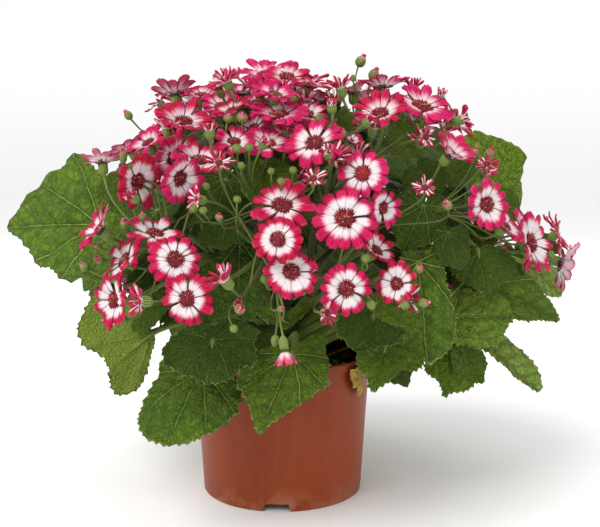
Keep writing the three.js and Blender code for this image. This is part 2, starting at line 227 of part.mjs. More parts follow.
// name, corymb or -1 for the crown, petiole root, its two control points, blade base, along, face, length, width, fold, droop, ripple, margin radii from the tip round
const LEAVES = [
["leaf_left_big",-1,[-10.5,0.6,125],[-53.6,2.9,163.9],[-91.1,11.6,188.8],[-137.8,22,191.7],[-0.97,0.244,-0.005],[-0.224,-0.881,0.416],75.8,110.8,8,10,1,[75.8,68.6,61.5,58.2,56.6,55.1,48.9,47.7,48.8,48.3,47.9,44.7,43,41.5,40.1,39.2,38.5,37.8,36.9,35.5,34,32.4,29.4,25.1,22.2,20.8,22.2,25.8,29.8,30.3,31,31.8,32.5,33.3,34.8,36.4,39.3,43.1,48.5,62,71.1,65,65,67.2,66,67.8,70.9,75]],
["leaf_left_pale",-1,[-9.2,-5,103],[-33.3,-18,127.6],[-64,-36.3,134],[-88.7,-48,120.7],[-0.725,-0.31,-0.614],[-0.123,0.937,-0.327],39.2,82.1,8,12,2,[34.6,34.5,33.8,37.3,43.2,45.4,47.9,47.5,46.8,46.8,47.2,44.9,38.6,26.9,17.7,11.1,7.9,6.2,4.8,4.1,3.9,3.3,3.2,3.2,3,3,3,3,3.2,3.2,3.3,3.9,4,4,4.1,4.8,5.5,6.2,7.1,8.5,10.2,13.5,22.1,37,41.1,45.3,43.5,39.2]],
["leaf_bottom_left",-1,[-5.3,-9.1,92],[-19.5,-33.4,117.3],[-34.1,-70.8,123.5],[-48.8,-92,105.9],[-0.43,-0.483,-0.763],[-0.083,-0.82,0.566],52,56.5,6,10,3,[50.4,48.4,47.3,44.4,40.7,41.7,38.8,37.7,36.2,34,31.8,30.3,28.7,26.4,23.6,21.1,17.7,15.9,13.1,10.9,10,9.2,7.8,7,6.2,5.6,5.5,5.4,4.9,5.6,7,8.6,10.8,13.2,16.8,20.7,25.4,27.2,28.5,28,27.8,31.5,34.7,42.7,48.7,51.9,53.2,52]],
["leaf_centre_left",-1,[-3.1,-10,103],[-13.9,-44.8,135.8],[-31.7,-89.1,150.6],[-38.6,-124,131.3],[-0.075,-0.728,-0.682],[0.031,-0.685,0.728],27.2,53.5,4,16,4,[26.6,27.2,27.8,26.7,26.4,25.6,23.7,24,27.7,29.2,27.9,25.8,24.5,25.1,26.6,28.1,24.6,22.8,21.2,19.8,18.9,17.5,15.9,13,10.2,9.4,10.1,11.6,13.5,13.8,14.6,16,17.6,19.8,21.9,23.6,25.9,29.3,30.8,30.5,31.5,30.1,27.5,26.7,27.6,26,25.8,26.4]],
["leaf_over_pot",-1,[1.2,-10.4,92],[4.7,-39.9,118.7],[15.5,-79.7,138],[8.1,-106,119.7],[-0.362,-0.528,-0.768],[0.086,-0.84,0.536],48,49.6,8,10,5,[48,41.3,37.7,34.2,31.8,30.3,29.5,28.9,29.5,29.8,26.7,25.1,24.3,24,22.2,21.2,20.7,21.6,24.6,24.7,21.6,14.8,10.1,6.4,4.2,3.3,3,3,3,3,3,3.1,4.1,6.4,9.8,11.7,14.4,16.8,19.2,22.8,26.7,31.5,35,39.3,38.8,40.1,42.5,46.5]],
["leaf_right_centre",-1,[4.7,-9.4,103],[20.6,-41.2,135],[63.7,-76.7,146.5],[65.3,-110,125.5],[-0.256,-0.677,-0.69],[0.123,-0.731,0.671],29.1,44.9,6,12,6,[29.1,26.6,24.3,22.1,20.4,18.5,18.4,19.8,21.3,23.4,24.9,25,24.9,24.3,23.4,21.1,17.6,15.2,12.3,10.1,8.5,6.9,4.9,4.1,3.9,3.3,3.2,3.2,3.3,3.9,4.1,4.7,4.9,6.2,7.8,9.2,10.8,13,15.3,17.4,18.9,19.8,21.2,22.1,23.3,22.9,24,28.3]],
["leaf_mid_dark",-1,[2.4,-10.2,114],[11.1,-46.3,147.4],[53,-84.7,169.1],[57.2,-118,145.3],[-0.13,-0.602,-0.788],[0.025,-0.796,0.605],23.5,43.2,6,10,7,[23.5,21.4,20,20.4,20.6,21.2,21.9,21.2,20,20.7,22.6,23.5,24,22.8,21.2,19,16.8,15.3,13.7,11.7,10.8,10,9.2,7.8,7,6.2,5.6,5.4,4.9,5.6,7.1,9.3,12.1,13.8,16,18.1,19.1,20.5,22,23.4,24.3,25.4,23.8,24.3,24.9,24.3,19.1,20.1]],
["leaf_right_large",-1,[5.5,-9,125],[25.4,-41.7,159.5],[68.8,-71.7,205.8],[86,-96,175.4],[0.112,-0.29,-0.95],[0.097,-0.949,0.301],60,35.6,10,12,8,[60,60,56.6,47.7,39.5,28.5,21.2,19.7,18.2,16.2,15.3,15.3,15.3,15.9,16,16,15.8,13.6,10.1,7,4.2,3.3,3,3,3,3,3.5,6.2,8.4,9.2,10.1,11.3,10.8,10.8,10.8,11.5,12.2,13.1,14.5,16.1,18.3,21.3,25.2,31,37.2,45.2,52.5,57.1]],
["leaf_lower_right",-1,[8.3,-6.5,92],[36.9,-28.7,124.6],[106.5,-31.7,148.6],[117.7,-54,117],[-0.228,-0.419,-0.879],[0.08,-0.908,0.411],34.8,32,6,12,9,[34.8,33.5,33.2,33.1,31.8,29.2,14.1,11.6,11.6,12,10.8,10.1,9.9,9.2,7.8,7,6.3,6.2,6.2,6.2,6.2,5.5,4.8,4.1,3.9,3.3,3.2,3.2,3.2,3.2,3.2,3.2,3.2,3.2,3.2,3.3,3.9,4.1,4.8,6.3,9,16.2,24.4,27.8,28.7,28.7,28.4,31.2]],
["leaf_right_mid",-1,[9.4,-4.8,103],[42.5,-21.7,136.5],[71.3,-63.3,136.1],[112.4,-68,135.7],[0.99,0.142,0.008],[0.129,-0.92,0.37],42.5,39.3,4,8,10,[42.5,42.3,41.4,39.7,35.2,28.5,25.9,25,24.3,23.5,22.6,20.6,18.9,16.2,14.5,12.9,10.1,7.8,6.2,4.8,4,3.3,3.2,3,3,3,3.3,4,4.8,5.6,7.1,9.2,10.8,12.2,13.8,15.8,16.2,17.4,18.2,18.4,20.4,26.6,28.3,31.8,35.7,35.8,37.6,38.9]],
["leaf_right_point",-1,[8,-6.8,114],[40.5,-34.1,152.2],[95.7,-38.7,164],[141.4,-40,152.4],[0.926,0.104,-0.363],[0.269,-0.856,0.441],55.2,34.9,10,6,11,[55.2,52.4,45.7,42.3,38.8,31.2,19.7,13.3,10.2,8.6,7.8,7,6.2,4.8,4.1,3.9,3.3,3.2,3.2,3.2,3.2,3.2,3.3,3.9,4.1,4.7,4.8,4.8,4.7,4,3.3,3.2,3.2,3.3,4.1,5.4,5.7,6.9,7.8,9.3,11.5,13.8,17.5,26.6,31.1,35.5,40.3,47.6]],
["leaf_right_edge",-1,[10.5,-0.3,92],[50.3,-1.2,127.8],[98.1,-33.3,134],[137.5,-36,114.2],[0.789,0.071,-0.61],[0.421,-0.786,0.453],52.8,30.9,8,6,12,[47.9,52.8,49.5,37.6,30.1,27.8,24.3,20.4,16.1,12.2,8.7,6.4,5.5,4.8,4,3.3,3.2,3.2,3,3,3,3,3,3,3,3,3,3,3,3,3,3,3.1,4.2,6.6,6.3,6.2,6.2,5.6,5.5,5.4,4.8,4.8,4.8,5.6,7.3,12.6,27.9]],
["leaf_right_dark",-1,[9.7,-3.9,125],[51.1,-20.5,165.1],[102.3,-52.2,214.8],[126.1,-80,181.4],[0.128,-0.401,-0.907],[0.006,-0.914,0.405],27.7,43.3,6,10,13,[27.7,26.7,26.5,26.6,27.1,26.7,27.4,29.1,27.8,24.3,20.5,16.8,13.1,10.2,8.3,5,3.2,3,3,3,3,3,3,3,3,3,3,3,3,3,3,3.2,4.8,6.9,8.7,11.6,15.4,20.1,21.9,22.7,22.8,22.8,23.4,23.5,23.6,24.3,25.7,26.6]],
["leaf_right_pale",-1,[10.5,-0.7,114],[62.2,-3.9,160.6],[124.8,1.2,188.5],[177,6,164.8],[0.779,0.102,-0.619],[0.351,-0.889,0.295],39.5,30.7,4,6,14,[39.5,39.3,39.3,39.5,34.2,18.6,10.8,5.2,3.4,3,3,3,3,3,3,3,3,3,3,3,3,3,3,3,3,3,3,3,3,3,3,3,3,3,3,3,3.3,5.3,6.2,7.1,8.5,10,11.7,14.6,18.4,23.9,32,36.2]],
["leaf_inner_dark",-1,[-3.8,-9.8,125],[-13.3,-33.7,148.1],[-21.3,-43.5,203.5],[-26,-66,186.7],[-0.02,-0.447,-0.894],[0.003,-0.895,0.447],54.5,60.3,6,8,15,[54.5,53.4,50.8,44.4,37.2,31.2,27.3,24.1,19.9,16.8,14.4,11.6,9.4,8.4,6.8,3.4,3,3,3,3,3,3,3,3,3,3,3,3,3,3,3,3,3,3.1,4,5,8,13,18.4,24.9,30.8,35,42.1,54.5,67,61.8,55.4,52.6]],
["leaf_back_1",-1,[9.3,4.9,103],[31.4,16.5,125.5],[53,30.6,143.5],[77.7,40.7,136],[0.838,0.286,-0.465],[0.407,0.241,0.881],81.7,80,6,12,61,[87.5,79.2,69.4,63.6,60.5,55.8,50.4,46.6,45.4,45.3,44.9,43.1,39.7,36.4,34.7,34.3,34.3,33.7,32,30.1,29.4,28.1,23.9,15.5,4.8,15.7,24.5,29.3,31,32,33.8,34.7,34.3,33.2,32.6,33.6,36.3,39.8,42.4,44,45.4,48.1,53.2,59.4,64,66.1,70.8,79.8]],
["leaf_back_2",-1,[5.3,9.1,92],[17,29,112.8],[31.5,49.6,127.7],[42,71.7,120],[0.329,0.806,-0.492],[0.261,0.423,0.868],93.5,84,6,12,62,[93.6,84.5,76.3,74,72.6,65.6,57.5,51.2,48.3,46.6,44.6,42.1,39,36.6,35.7,36,37.1,37.6,36.2,33.9,32.4,32.4,28.2,19.5,5.9,20,29,32.8,31.9,32.7,34.8,36.4,36.6,36.3,36.7,38.2,40.8,43.8,45.8,46.9,47.7,49.7,55.4,63.5,71.6,74.9,78.5,86.4]],
["leaf_back_3",-1,[-0.7,10.5,103],[-2.5,34.6,124.7],[-6.4,58.6,142.8],[-6,84.5,136],[0.064,0.89,-0.451],[-0.054,0.454,0.889],93.2,84,6,12,63,[99.8,92.3,82,75.8,70.6,61.9,53.7,48.3,46.6,45.9,44.7,42.7,39.6,37,35.7,35.6,36.5,37.1,36.4,34.9,34.2,34.5,29.4,19.3,5.5,18.1,26.8,31.8,32.7,34.7,37.2,38.5,38,36.8,36.6,37.6,40.2,43.4,45.8,47.4,48.4,50.2,55,61.4,67.3,69.8,75,87.1]],
["leaf_back_4",-1,[-6.5,8.2,92],[-20.9,26.4,112.9],[-34.8,47.3,127.4],[-51.7,65.2,120],[-0.639,0.606,-0.474],[-0.28,0.39,0.877],92.9,84,6,12,64,[99.6,87.9,76.7,71.8,69.1,62.1,54.5,48.9,46.6,45.4,44,42,39.4,37.5,36.9,37.6,39,39.6,38.1,35.1,32.8,31.7,26.7,18.1,5.5,19,28.6,33.4,33.3,34.5,36.6,38,37.9,37.2,37.1,38.2,40.4,42.8,44.2,44.8,45.2,46.8,52.4,60.9,70.2,75.6,81.8,92]],
["leaf_back_5",-1,[-9.9,3.5,114],[-31.5,11.3,134.7],[-56.8,18.1,145.4],[-78.9,28.3,138],[-0.785,0.42,-0.456],[-0.441,0.138,0.887],83.3,80,6,12,65,[86.2,79.2,70.8,66,63,57.4,51,46.6,45.1,45,44.6,43,39.9,36.9,35.1,34.5,34.3,33.4,31.6,29.7,29.2,28.8,25.1,16.6,5.1,16.4,24.9,29.3,30.6,31.8,33.9,35.1,34.7,33.6,32.9,33.7,36.1,39.3,41.9,43.8,45.7,48.9,54.6,61.4,66,67.2,70.3,78.3]],
["leaf_back_6",-1,[8.8,5.7,114],[38.2,24.4,145.4],[72.6,13.7,177.7],[108.7,26.7,172],[0.857,0.389,-0.339],[0.354,0.036,0.935],70.8,70,6,12,66,[73,66.3,59.5,56.7,56,52.9,47.8,43.2,40.4,38.9,37.3,34.9,31.8,29.4,28.6,29.1,29.9,30,28.8,27,26.1,24.7,21,13.7,4.3,13.9,21.3,24.6,25.3,25.6,27,28.5,29.3,29.6,30.2,31.8,34.7,37.6,39.2,39.5,39.7,41.2,45,50.1,54.3,56.5,60.6,67.4]],
["leaf_back_7",-1,[3.8,9.8,114],[15.1,39.2,142.4],[47.1,53.8,168.5],[73.6,75.1,160],[0.724,0.527,-0.446],[0.297,0.346,0.89],85.2,74,6,12,67,[90.3,83.4,74.4,69.2,63.6,54.7,46.8,41.8,39.9,39.5,38.6,37.3,35.2,33.4,32.6,32.7,33.6,33.9,33.1,31.4,30.4,30.9,26.7,18.1,5.1,17.1,24.7,29,29.5,31.7,34.1,35.2,34.7,33.4,32.9,33.5,35.1,37.3,39.1,40.3,41.3,43.5,48.3,55.1,61.8,65,68.9,79.1]],
["leaf_back_8",-1,[1.9,10.3,125],[7.6,42.4,154.3],[16.6,71.3,180.9],[19.1,106.7,174],[0.007,0.924,-0.382],[0.106,0.379,0.919],83.8,76,6,12,68,[91,79.7,68.4,63.1,60.4,55,49.2,45,43.4,42.6,41.3,39.2,36.3,34,33,33.3,34.4,34.9,33.8,31.6,29.8,28.9,24.2,16.1,4.9,17.1,26.1,30.9,31,31.8,33.2,33.8,33.3,32.4,32.4,33.5,35.9,38.6,40.5,41.5,42,43.5,48.2,55.3,63,67.7,73.7,83.6]],
["leaf_back_9",-1,[-4.3,9.6,114],[-17.2,38,142],[-32.4,63.4,167.5],[-43.1,95.4,160],[-0.235,0.88,-0.413],[-0.199,0.372,0.907],87.2,76,6,12,69,[87.3,79.8,72,68.8,65.2,57.5,50.1,45.2,43.3,42.6,41.5,39.7,37.1,34.9,33.7,33.4,33.8,33.6,32.3,30.3,29.3,30.2,26.9,18.8,5.5,18.7,26.8,30.7,30.3,31.6,33.5,34.4,33.8,32.7,32.4,33.1,35.1,37.7,39.9,41.7,43.3,46.2,52,59.8,67.2,69.7,71.8,79.2]],
["leaf_back_10",-1,[-8.1,6.7,125],[-33,27.3,154.1],[-58.2,43.3,180.7],[-89.5,59.5,174],[-0.848,0.376,-0.374],[-0.296,0.25,0.922],80.3,72,6,12,70,[85.3,77,67.7,63.4,60.6,54.6,48.3,43.7,41.7,40.3,38.5,36,32.9,30.6,29.5,29.7,30.9,31.9,31.7,30.5,29.7,29.5,24.9,16.5,4.8,16.2,24.2,28.2,28.1,29,30.5,31.4,31.2,30.8,31.2,32.7,35.5,38.5,40.6,41.7,42.1,43,46.6,51.9,57.4,60.5,65.7,76]],
["leaf_back_11",-1,[-10.5,0.4,92],[-34.8,1.2,113.9],[-63.1,-0.8,127.7],[-87.9,3,118],[-0.806,0.197,-0.558],[-0.567,0.013,0.824],53.8,51,6,12,71,[56.7,52.1,47,44.2,42.2,37.7,32.6,28.8,27.1,26.6,26.2,25.5,24.1,23,22.7,23,23.4,23.1,21.8,20.1,19.1,18.5,15.9,10.6,3.2,10.4,15.6,18.2,18.9,20,21.8,23.2,23.6,23.1,22.9,23.2,24.3,25.7,26.4,26.8,27.4,28.9,32.5,37.4,41.6,43.4,46.1,51.5]],
["left_mid",1,[-65.9,-76.9,199.1],[-81.4,-57.7,189.6],[-94.1,-33.2,183.2],[-110.3,-22,172],[-0.771,0.264,-0.579],[-0.477,-0.841,0.253],43.2,52,6,8,31,[43.2,35,28.2,22.9,19.2,16.8,14.7,13.8,13,12.2,11.5,10.8,10.7,10.1,10,9.9,8.9,5,3.2,3,3,3,3,3,3,3,3,3,3,3,3,3,3,3,3,3.3,6.5,12.6,21.3,25.2,30.4,36.4,38,40.8,44.3,45.6,43.8,42]],
["left_dark",1,[-44.4,-68.7,175.8],[-55.2,-63.6,164.2],[-64.4,-55.1,152],[-75.2,-54,142.8],[-0.818,-0.128,-0.56],[-0.121,-0.915,0.386],29.1,16.4,4,6,32,[29.1,25.9,23.5,21.2,17.6,9.2,6.4,5.5,4.8,4,3.3,3.2,3,3,3,3,3,3,3,3,3,3,3,3,3,3,3,3,3,3,3,3,3,3,3.2,3.2,3.3,4,4.8,6.4,9,10.1,11.7,14.6,18.2,21.5,26.2,28.6]],
["small_pointed",3,[46.5,-109.4,165.8],[50.2,-118,162.2],[51,-129.5,159.8],[57,-134,155.5],[0.843,-0.128,-0.522],[0.126,-0.897,0.423],28.8,73.2,8,4,33,[28.8,27.1,23.5,19.7,15.3,10.9,7.9,6.2,8,38.3,42.1,38.2,6.9,3,3,3,3,3,3,3,3,3,3,3,3,3,3,3,3,3,3,3,3,3,3,3,3,3,3,3,3,3.3,4.2,7.5,14.1,17.4,20,24.3]],
["right_dark2",5,[91,-76.1,200.3],[95.9,-81.6,198],[101.9,-87.8,197.9],[104.8,-92,193.7],[0.229,-0.48,-0.847],[0.073,-0.859,0.507],23.5,24.3,6,10,34,[23.5,23.5,23.4,21.9,19.8,17.5,15.4,14.5,13.8,13.8,13.8,13.6,12.2,10.8,10.1,9.3,3.7,3,3,3,3.2,3.3,4,4.7,4.8,4.8,4.8,4.8,4.8,4.8,5.5,6.2,7,7.7,7.8,8.5,9.2,10.1,11.4,12.2,13.1,14.5,16.1,18.2,19.7,20.7,22.6,23.4]],
["up_right",5,[103.5,-26.6,207.9],[121.4,-14.2,211.2],[147.6,3.6,200.6],[154.5,9,217.3],[-0.242,-0.134,0.961],[0.19,-0.978,-0.088],45,51.4,6,8,35,[42.4,45,43.9,41.7,39.3,35.7,32.6,29,26.5,23.6,20.7,19.1,17.5,15.3,13.2,12.3,11.6,10.9,10.6,9.4,8.5,7.2,7.1,7.8,8.6,10.2,13,15.5,19.6,22.1,24.1,24.3,23.7,23.6,23.5,22.9,22.2,22.2,23.2,26.9,32.9,35.4,35.7,35.7,36.4,37.2,38.6,39.7]],
["up_right2",5,[123.2,-42.8,177.4],[137.5,-24.3,183.2],[155.1,1.9,177.2],[164,10,193.9],[0.132,-0.079,0.988],[0.155,-0.983,-0.1],23.1,18.3,6,8,36,[23.1,21.9,21,19.6,18.1,16.6,14.3,11.6,9.9,8.4,6.3,4.8,4,3.3,3,3,3,3,3,3,3,3,3,3,3,3,3,3,3,3,3,3,3,3,3.3,4,4.8,6.2,7.8,9.8,10.8,12.2,13.7,15.2,17.4,19.6,21.1,22.5]],
["centre_curl",2,[-13.7,-103.1,211.1],[-12.4,-103.4,220.1],[-12.6,-96.7,236.3],[-9.9,-104,236.8],[0.098,-0.586,-0.804],[-0.034,-0.81,0.586],30.7,37.4,26,22,37,[30.7,29.5,28.1,27.3,27.2,27.2,27.2,26.2,22.4,15.6,10.9,7.9,6.1,3.3,3,3,3,3,3,3,3,3,3,3,3,3,3,3,3,3,3,3,3,3,3.2,4.7,6.2,7.8,9.4,12.2,14.5,16.9,20.4,22.8,25.6,27.2,28.1,29.5]],
["centre_dark",1,[-50.4,-86.6,202.8],[-44.3,-88.5,203.1],[-35.9,-88.9,207],[-32.8,-92,203.6],[-0.069,-0.512,-0.856],[0.008,-0.858,0.513],22.1,29.1,6,6,38,[21.9,21.2,20.4,18.9,21.6,21.9,20.5,19.1,18,14.7,11.8,5.9,3.3,3,3,3,3,3,3,3,3,3,3,3,3,3,3,3,3,3,3,3,3,3,3,3,3,3,3,3.8,10.6,16.8,22.9,24.3,25.2,22.5,22.6,22.1]],
["top_small",4,[42.8,-54.6,246.3],[42.4,-56.5,249.9],[41.6,-59.5,253],[41.5,-60,256.4],[0.041,0.123,0.992],[0.1,-0.988,0.118],16.3,11.7,14,4,39,[16.9,14.8,12.8,11.7,10.2,8.6,7.6,7.2,7,6.8,6.5,6.2,5.8,5.5,5.3,5.3,5.4,5.5,5.6,5.5,5.3,5.4,5.2,3.9,1,3.9,5.3,5.7,5.7,5.9,5.9,5.6,5.3,5,4.9,5,5.3,5.6,6,6.4,6.8,7.3,8,9.2,10.9,12.3,12.9,14.7]],
["olive",5,[123.2,-42.8,177.4],[127.6,-47.4,182.7],[136.1,-49.1,194.2],[135.8,-56,192.5],[-0.484,-0.423,-0.766],[0.016,-0.88,0.475],18.9,19.7,6,6,40,[19.5,17.8,16,15.2,15.1,14.6,13.4,12.2,11.4,11,10.6,9.9,9,8.3,8,8.2,8.3,8.2,7.7,7.3,7,6.5,5.5,3.6,1.2,3.6,5.7,6.6,6.9,6.9,7.3,7.8,8.1,8.2,8.4,8.8,9.7,10.6,11,11,11.1,11.6,12.7,14,14.9,15.4,16.4,18.1]],
["low_curl_l",2,[-1.8,-123.2,168.9],[-1,-121.4,159.4],[8,-116.5,144.8],[0.4,-118,141.6],[-0.792,-0.301,0.532],[0.535,-0.762,0.365],19.9,8.3,30,4,41,[21,16.9,13.7,9.9,7.5,6.4,5.7,5.2,4.9,4.6,4.3,4.1,3.9,3.9,3.9,3.9,4.1,4.3,4.7,5.3,5.8,6.2,6.4,6.2,1.2,5.6,6.2,6.2,6,5.5,4.9,4.4,4.2,3.9,3.9,3.9,4,4.2,4.4,4.6,5,5.4,5.9,6.6,7.8,10,13.2,15.5]],
["low_curl_r",2,[-1.8,-123.2,168.9],[0.9,-120.7,159],[-2.4,-119.3,142.5],[5.8,-116,140.7],[0.789,0.202,0.581],[-0.289,-0.713,0.639],19.8,9.6,30,4,42,[21.7,16.3,13.5,11.1,8.9,7.6,6.8,6.3,5.8,5.5,5.1,4.9,4.6,4.5,4.4,4.5,4.6,5,5.4,6,6.4,6.5,6.5,5.4,1.1,5.8,6.8,6.4,6.2,5.8,5.3,4.8,4.6,4.4,4.4,4.5,4.6,4.8,5.1,5.4,5.8,6.1,6.6,7.3,8.7,11.1,14.2,17.4]],
["mid_right_a",4,[64.9,-50.8,240.3],[71.1,-56.1,241.8],[80.5,-64.2,238.1],[82.5,-66,244.7],[-0.322,0.264,0.909],[0.149,-0.934,0.324],22.7,21.9,20,4,43,[22.9,21.1,19.2,18.3,17.7,16.2,14.3,12.9,12.3,12.1,12,11.5,10.8,10,9.7,9.6,9.5,9.2,8.7,8,7.8,7.7,6.8,4.6,1.4,4.6,6.8,7.9,8.1,8.4,9.1,9.5,9.6,9.4,9.2,9.5,10.1,10.9,11.5,11.9,12.4,13.3,15,17,18.3,18.6,19.3,21]],
["mid_right_b",5,[91,-76.1,200.3],[90.6,-73.9,210.9],[81.4,-66.6,228.9],[89.9,-70,230.7],[0.569,-0.385,-0.727],[-0.027,-0.892,0.452],20.8,28,10,8,44,[22,20.8,19.2,18.1,17.8,17.9,17.6,16.6,15.6,15.2,15.1,14.5,12.9,11.4,11,11.1,10.7,9.9,9.1,8.6,8,6.8,5.4,3.3,1.2,3.3,5.4,6.6,7.7,8.3,8.7,9.5,10.5,11.1,11.4,12.1,13.8,15.3,15.6,15.2,15.2,15.9,16.8,17.1,17.1,17.6,18.9,20.6]],
["mid_right_c",5,[91,-76.1,200.3],[91,-78.8,203.7],[92.5,-80.6,210.7],[90.8,-84,210.1],[-0.429,-0.378,-0.82],[0.055,-0.917,0.394],31.7,34.9,8,8,45,[33.4,31.3,28.7,27.1,26.5,25.1,22.5,19.9,18.2,17.8,17.7,17.4,16.4,15.4,15.2,15.4,15.3,14.5,13.2,12.1,11.8,10.7,9.1,5.7,1.9,5.6,8.9,10.3,11.4,11.9,13,14.5,15.4,15.6,15.5,15.7,16.7,17.7,18.1,18,18.4,19.8,22.2,24.6,25.8,26.3,28,30.8]],
["top_right_in",5,[103.5,-26.6,207.9],[108.5,-26.8,214.8],[112.5,-28,222.7],[117.6,-27,227.8],[0.785,0.27,0.557],[0.114,-0.947,0.299],22.2,20.7,8,4,46,[24.1,21.5,18.5,16.9,16,14.6,13.1,12.1,11.8,11.8,11.5,11,10.1,9.4,9,9,9.1,9.1,8.8,8.3,7.9,7.7,6.5,4.3,1.3,4.4,6.8,8.1,8.4,8.6,9,9.2,9,8.7,8.6,8.9,9.5,10.4,11,11.4,11.7,12.2,13.5,15.3,16.9,17.8,19.3,21.9]],
["left_in",0,[-45.4,1.3,235.5],[-71.9,-1.3,226.7],[-110.9,-6.2,188.8],[-121.2,-6,210.5],[0.541,0.084,0.836],[-0.088,-0.984,0.156],23.8,28.5,6,4,47,[23.6,22.1,20.5,19.6,19.9,20.1,18.9,17.2,15.8,15.3,15.3,14.7,13.5,12.4,12,12,11.6,10.6,9.5,8.8,8.7,7.7,6.7,4.2,1.5,4.3,6.9,8,8.9,8.9,9.5,10.5,11.4,11.9,11.9,12.4,13.6,14.8,15.2,15.2,15.5,17,18.9,20.3,20.3,20.2,21,22.5]],
["bs_1",6,[83.6,41.7,211.6],[86.5,49.3,212.8],[86.7,59.1,217.4],[91.7,63.3,215],[0.772,0.09,-0.629],[0.565,0.354,0.745],39.8,40,8,8,81,[41.8,38.2,34.1,32.1,31.5,29.8,27,24.4,23,22.2,21.3,20,18.2,16.7,16.2,16.5,17,17,16.4,15.5,15,14,11.8,7.6,2.4,7.6,11.7,13.7,14.4,14.6,15.4,16.3,16.8,16.9,17.2,18.1,19.8,21.6,22.5,22.7,22.7,23.5,25.4,28,30.1,31.4,34,38.3]],
["bs_2",6,[47,93.1,182.1],[41.3,99.8,195.4],[36,99.8,219.3],[30.5,112.3,220],[-0.172,0.738,-0.652],[0.136,0.673,0.727],42.9,44,8,8,82,[45.4,42.5,38.7,36.3,34.8,31.9,28,24.8,23.1,22.7,22.7,22.2,21,19.8,19.4,19.5,19.5,18.9,17.5,16.2,15.7,14.8,12.6,8.1,2.6,7.9,12.1,14.1,15.3,16.2,17.8,19.3,19.9,19.8,19.5,19.7,20.8,22.1,22.8,23.1,23.7,25.3,28.3,31.7,33.9,34.8,37,41.3]],
["bs_3",7,[-17.8,90.7,200.2],[-25.2,95.9,207.8],[-35.3,96.1,222.4],[-39,105.5,222],[0.085,0.792,-0.605],[-0.201,0.608,0.768],43,42,8,8,83,[46.5,41.4,35.9,32.9,31.6,29.5,26.8,24.8,24,23.7,23.3,22.1,20.3,18.8,18.1,18.1,18.3,18.2,17.4,16.2,15.5,14.6,12.3,8,2.5,8.3,13.1,15.6,16.4,16.7,17.5,18,17.9,17.5,17.4,18,19.6,21.3,22.4,23,23.4,24.6,27.1,30.5,33.5,35.2,38.2,43]],
["bs_4",7,[-72.5,63.6,199],[-79.2,63.5,203.5],[-84.8,62.8,212.7],[-91.7,63.3,212],[-0.776,0.108,-0.622],[-0.554,0.354,0.753],41.8,40,8,8,84,[41.5,38.3,35.1,33.8,33.1,30.4,26.8,23.9,22.6,22,21.5,20.6,19.1,17.9,17.3,17.3,17.4,17,16.1,14.9,14.5,14.3,12.6,8.5,2.6,8.5,12.6,14.4,14.6,15.1,16.2,17.2,17.4,17.2,17.2,17.7,18.9,20.3,21.3,21.9,22.6,24.1,27,30.7,33.4,34,35.1,38.3]],
["bs_5",7,[-39.8,65.1,216.6],[-39.1,60.9,232.5],[-33.7,41.7,255],[-37.9,53.3,262],[-0.266,0.858,-0.44],[-0.305,0.358,0.882],36.3,30,8,8,85,[39.1,35.1,30.4,28.2,25.9,22.7,19.9,18.1,17.3,16.8,16,15,13.9,13,12.5,12.5,13,13.6,13.8,13.6,13.3,13.5,11.7,7.9,2.1,7.6,11,12.7,12.7,13.2,13.6,13.7,13.4,13,13.1,13.7,14.6,15.8,16.8,17.4,17.8,18.3,19.7,22,24.6,26.5,28.7,33.9]],
["leaf_withered",-1,[7.6,-7.2,91],[26,-24,120],[47,-41,118],[53.8,-45.2,102.5],[0.106,0.249,-0.963],[0.824,-0.563,-0.055],26.5,16,-14,6,5,[26.5,25.5,22,19,13,10,9,8.2,7.8,7.6,7,6.6,6.6,6.4,6.8,6,5.5,5.2,5,4.6,4.2,4,3.8,3.6,3.6,3.6,3.8,4,4.4,4.6,5,5.2,5.6,6,6.6,6.8,7.2,7.6,8,8.4,8.6,9,9.6,10.4,12,15,20,24.5]],
];
// control points of each flower stalk, from the crown to its fork
const CORYMBS = [
[[-10.9,-1.7,137],[-26.6,-4.2,156.9],[-11.9,-9.1,184.4],[-19.2,-14.8,208.1]],
[[-8,-7.5,137],[-19.7,-18.4,157],[-26.9,-42,164.6],[-39.9,-62.2,173.5]],
[[-2.4,-10.7,137],[-6,-26.9,157.7],[-4.5,-50.9,166.6],[-6.6,-75.4,176.5]],
[[4.2,-10.2,137],[10.4,-25.2,157.4],[20.3,-50.8,159],[29.8,-74.3,165]],
[[9.2,-6.1,137],[23.7,-15.7,158.7],[17.7,-25.1,185.1],[27.7,-39.2,206.9]],
[[11,0.1,137],[28.8,0.3,159.2],[47,-25.1,167.4],[70.3,-37.5,178]],
[[8.3,7.2,137],[19.5,17,155.6],[32.6,28.4,168.3],[48.6,42.3,179.2]],
[[-5.7,9.4,137],[-13.1,21.5,154.7],[-21.9,36.1,166.2],[-32.6,53.6,176]],
];
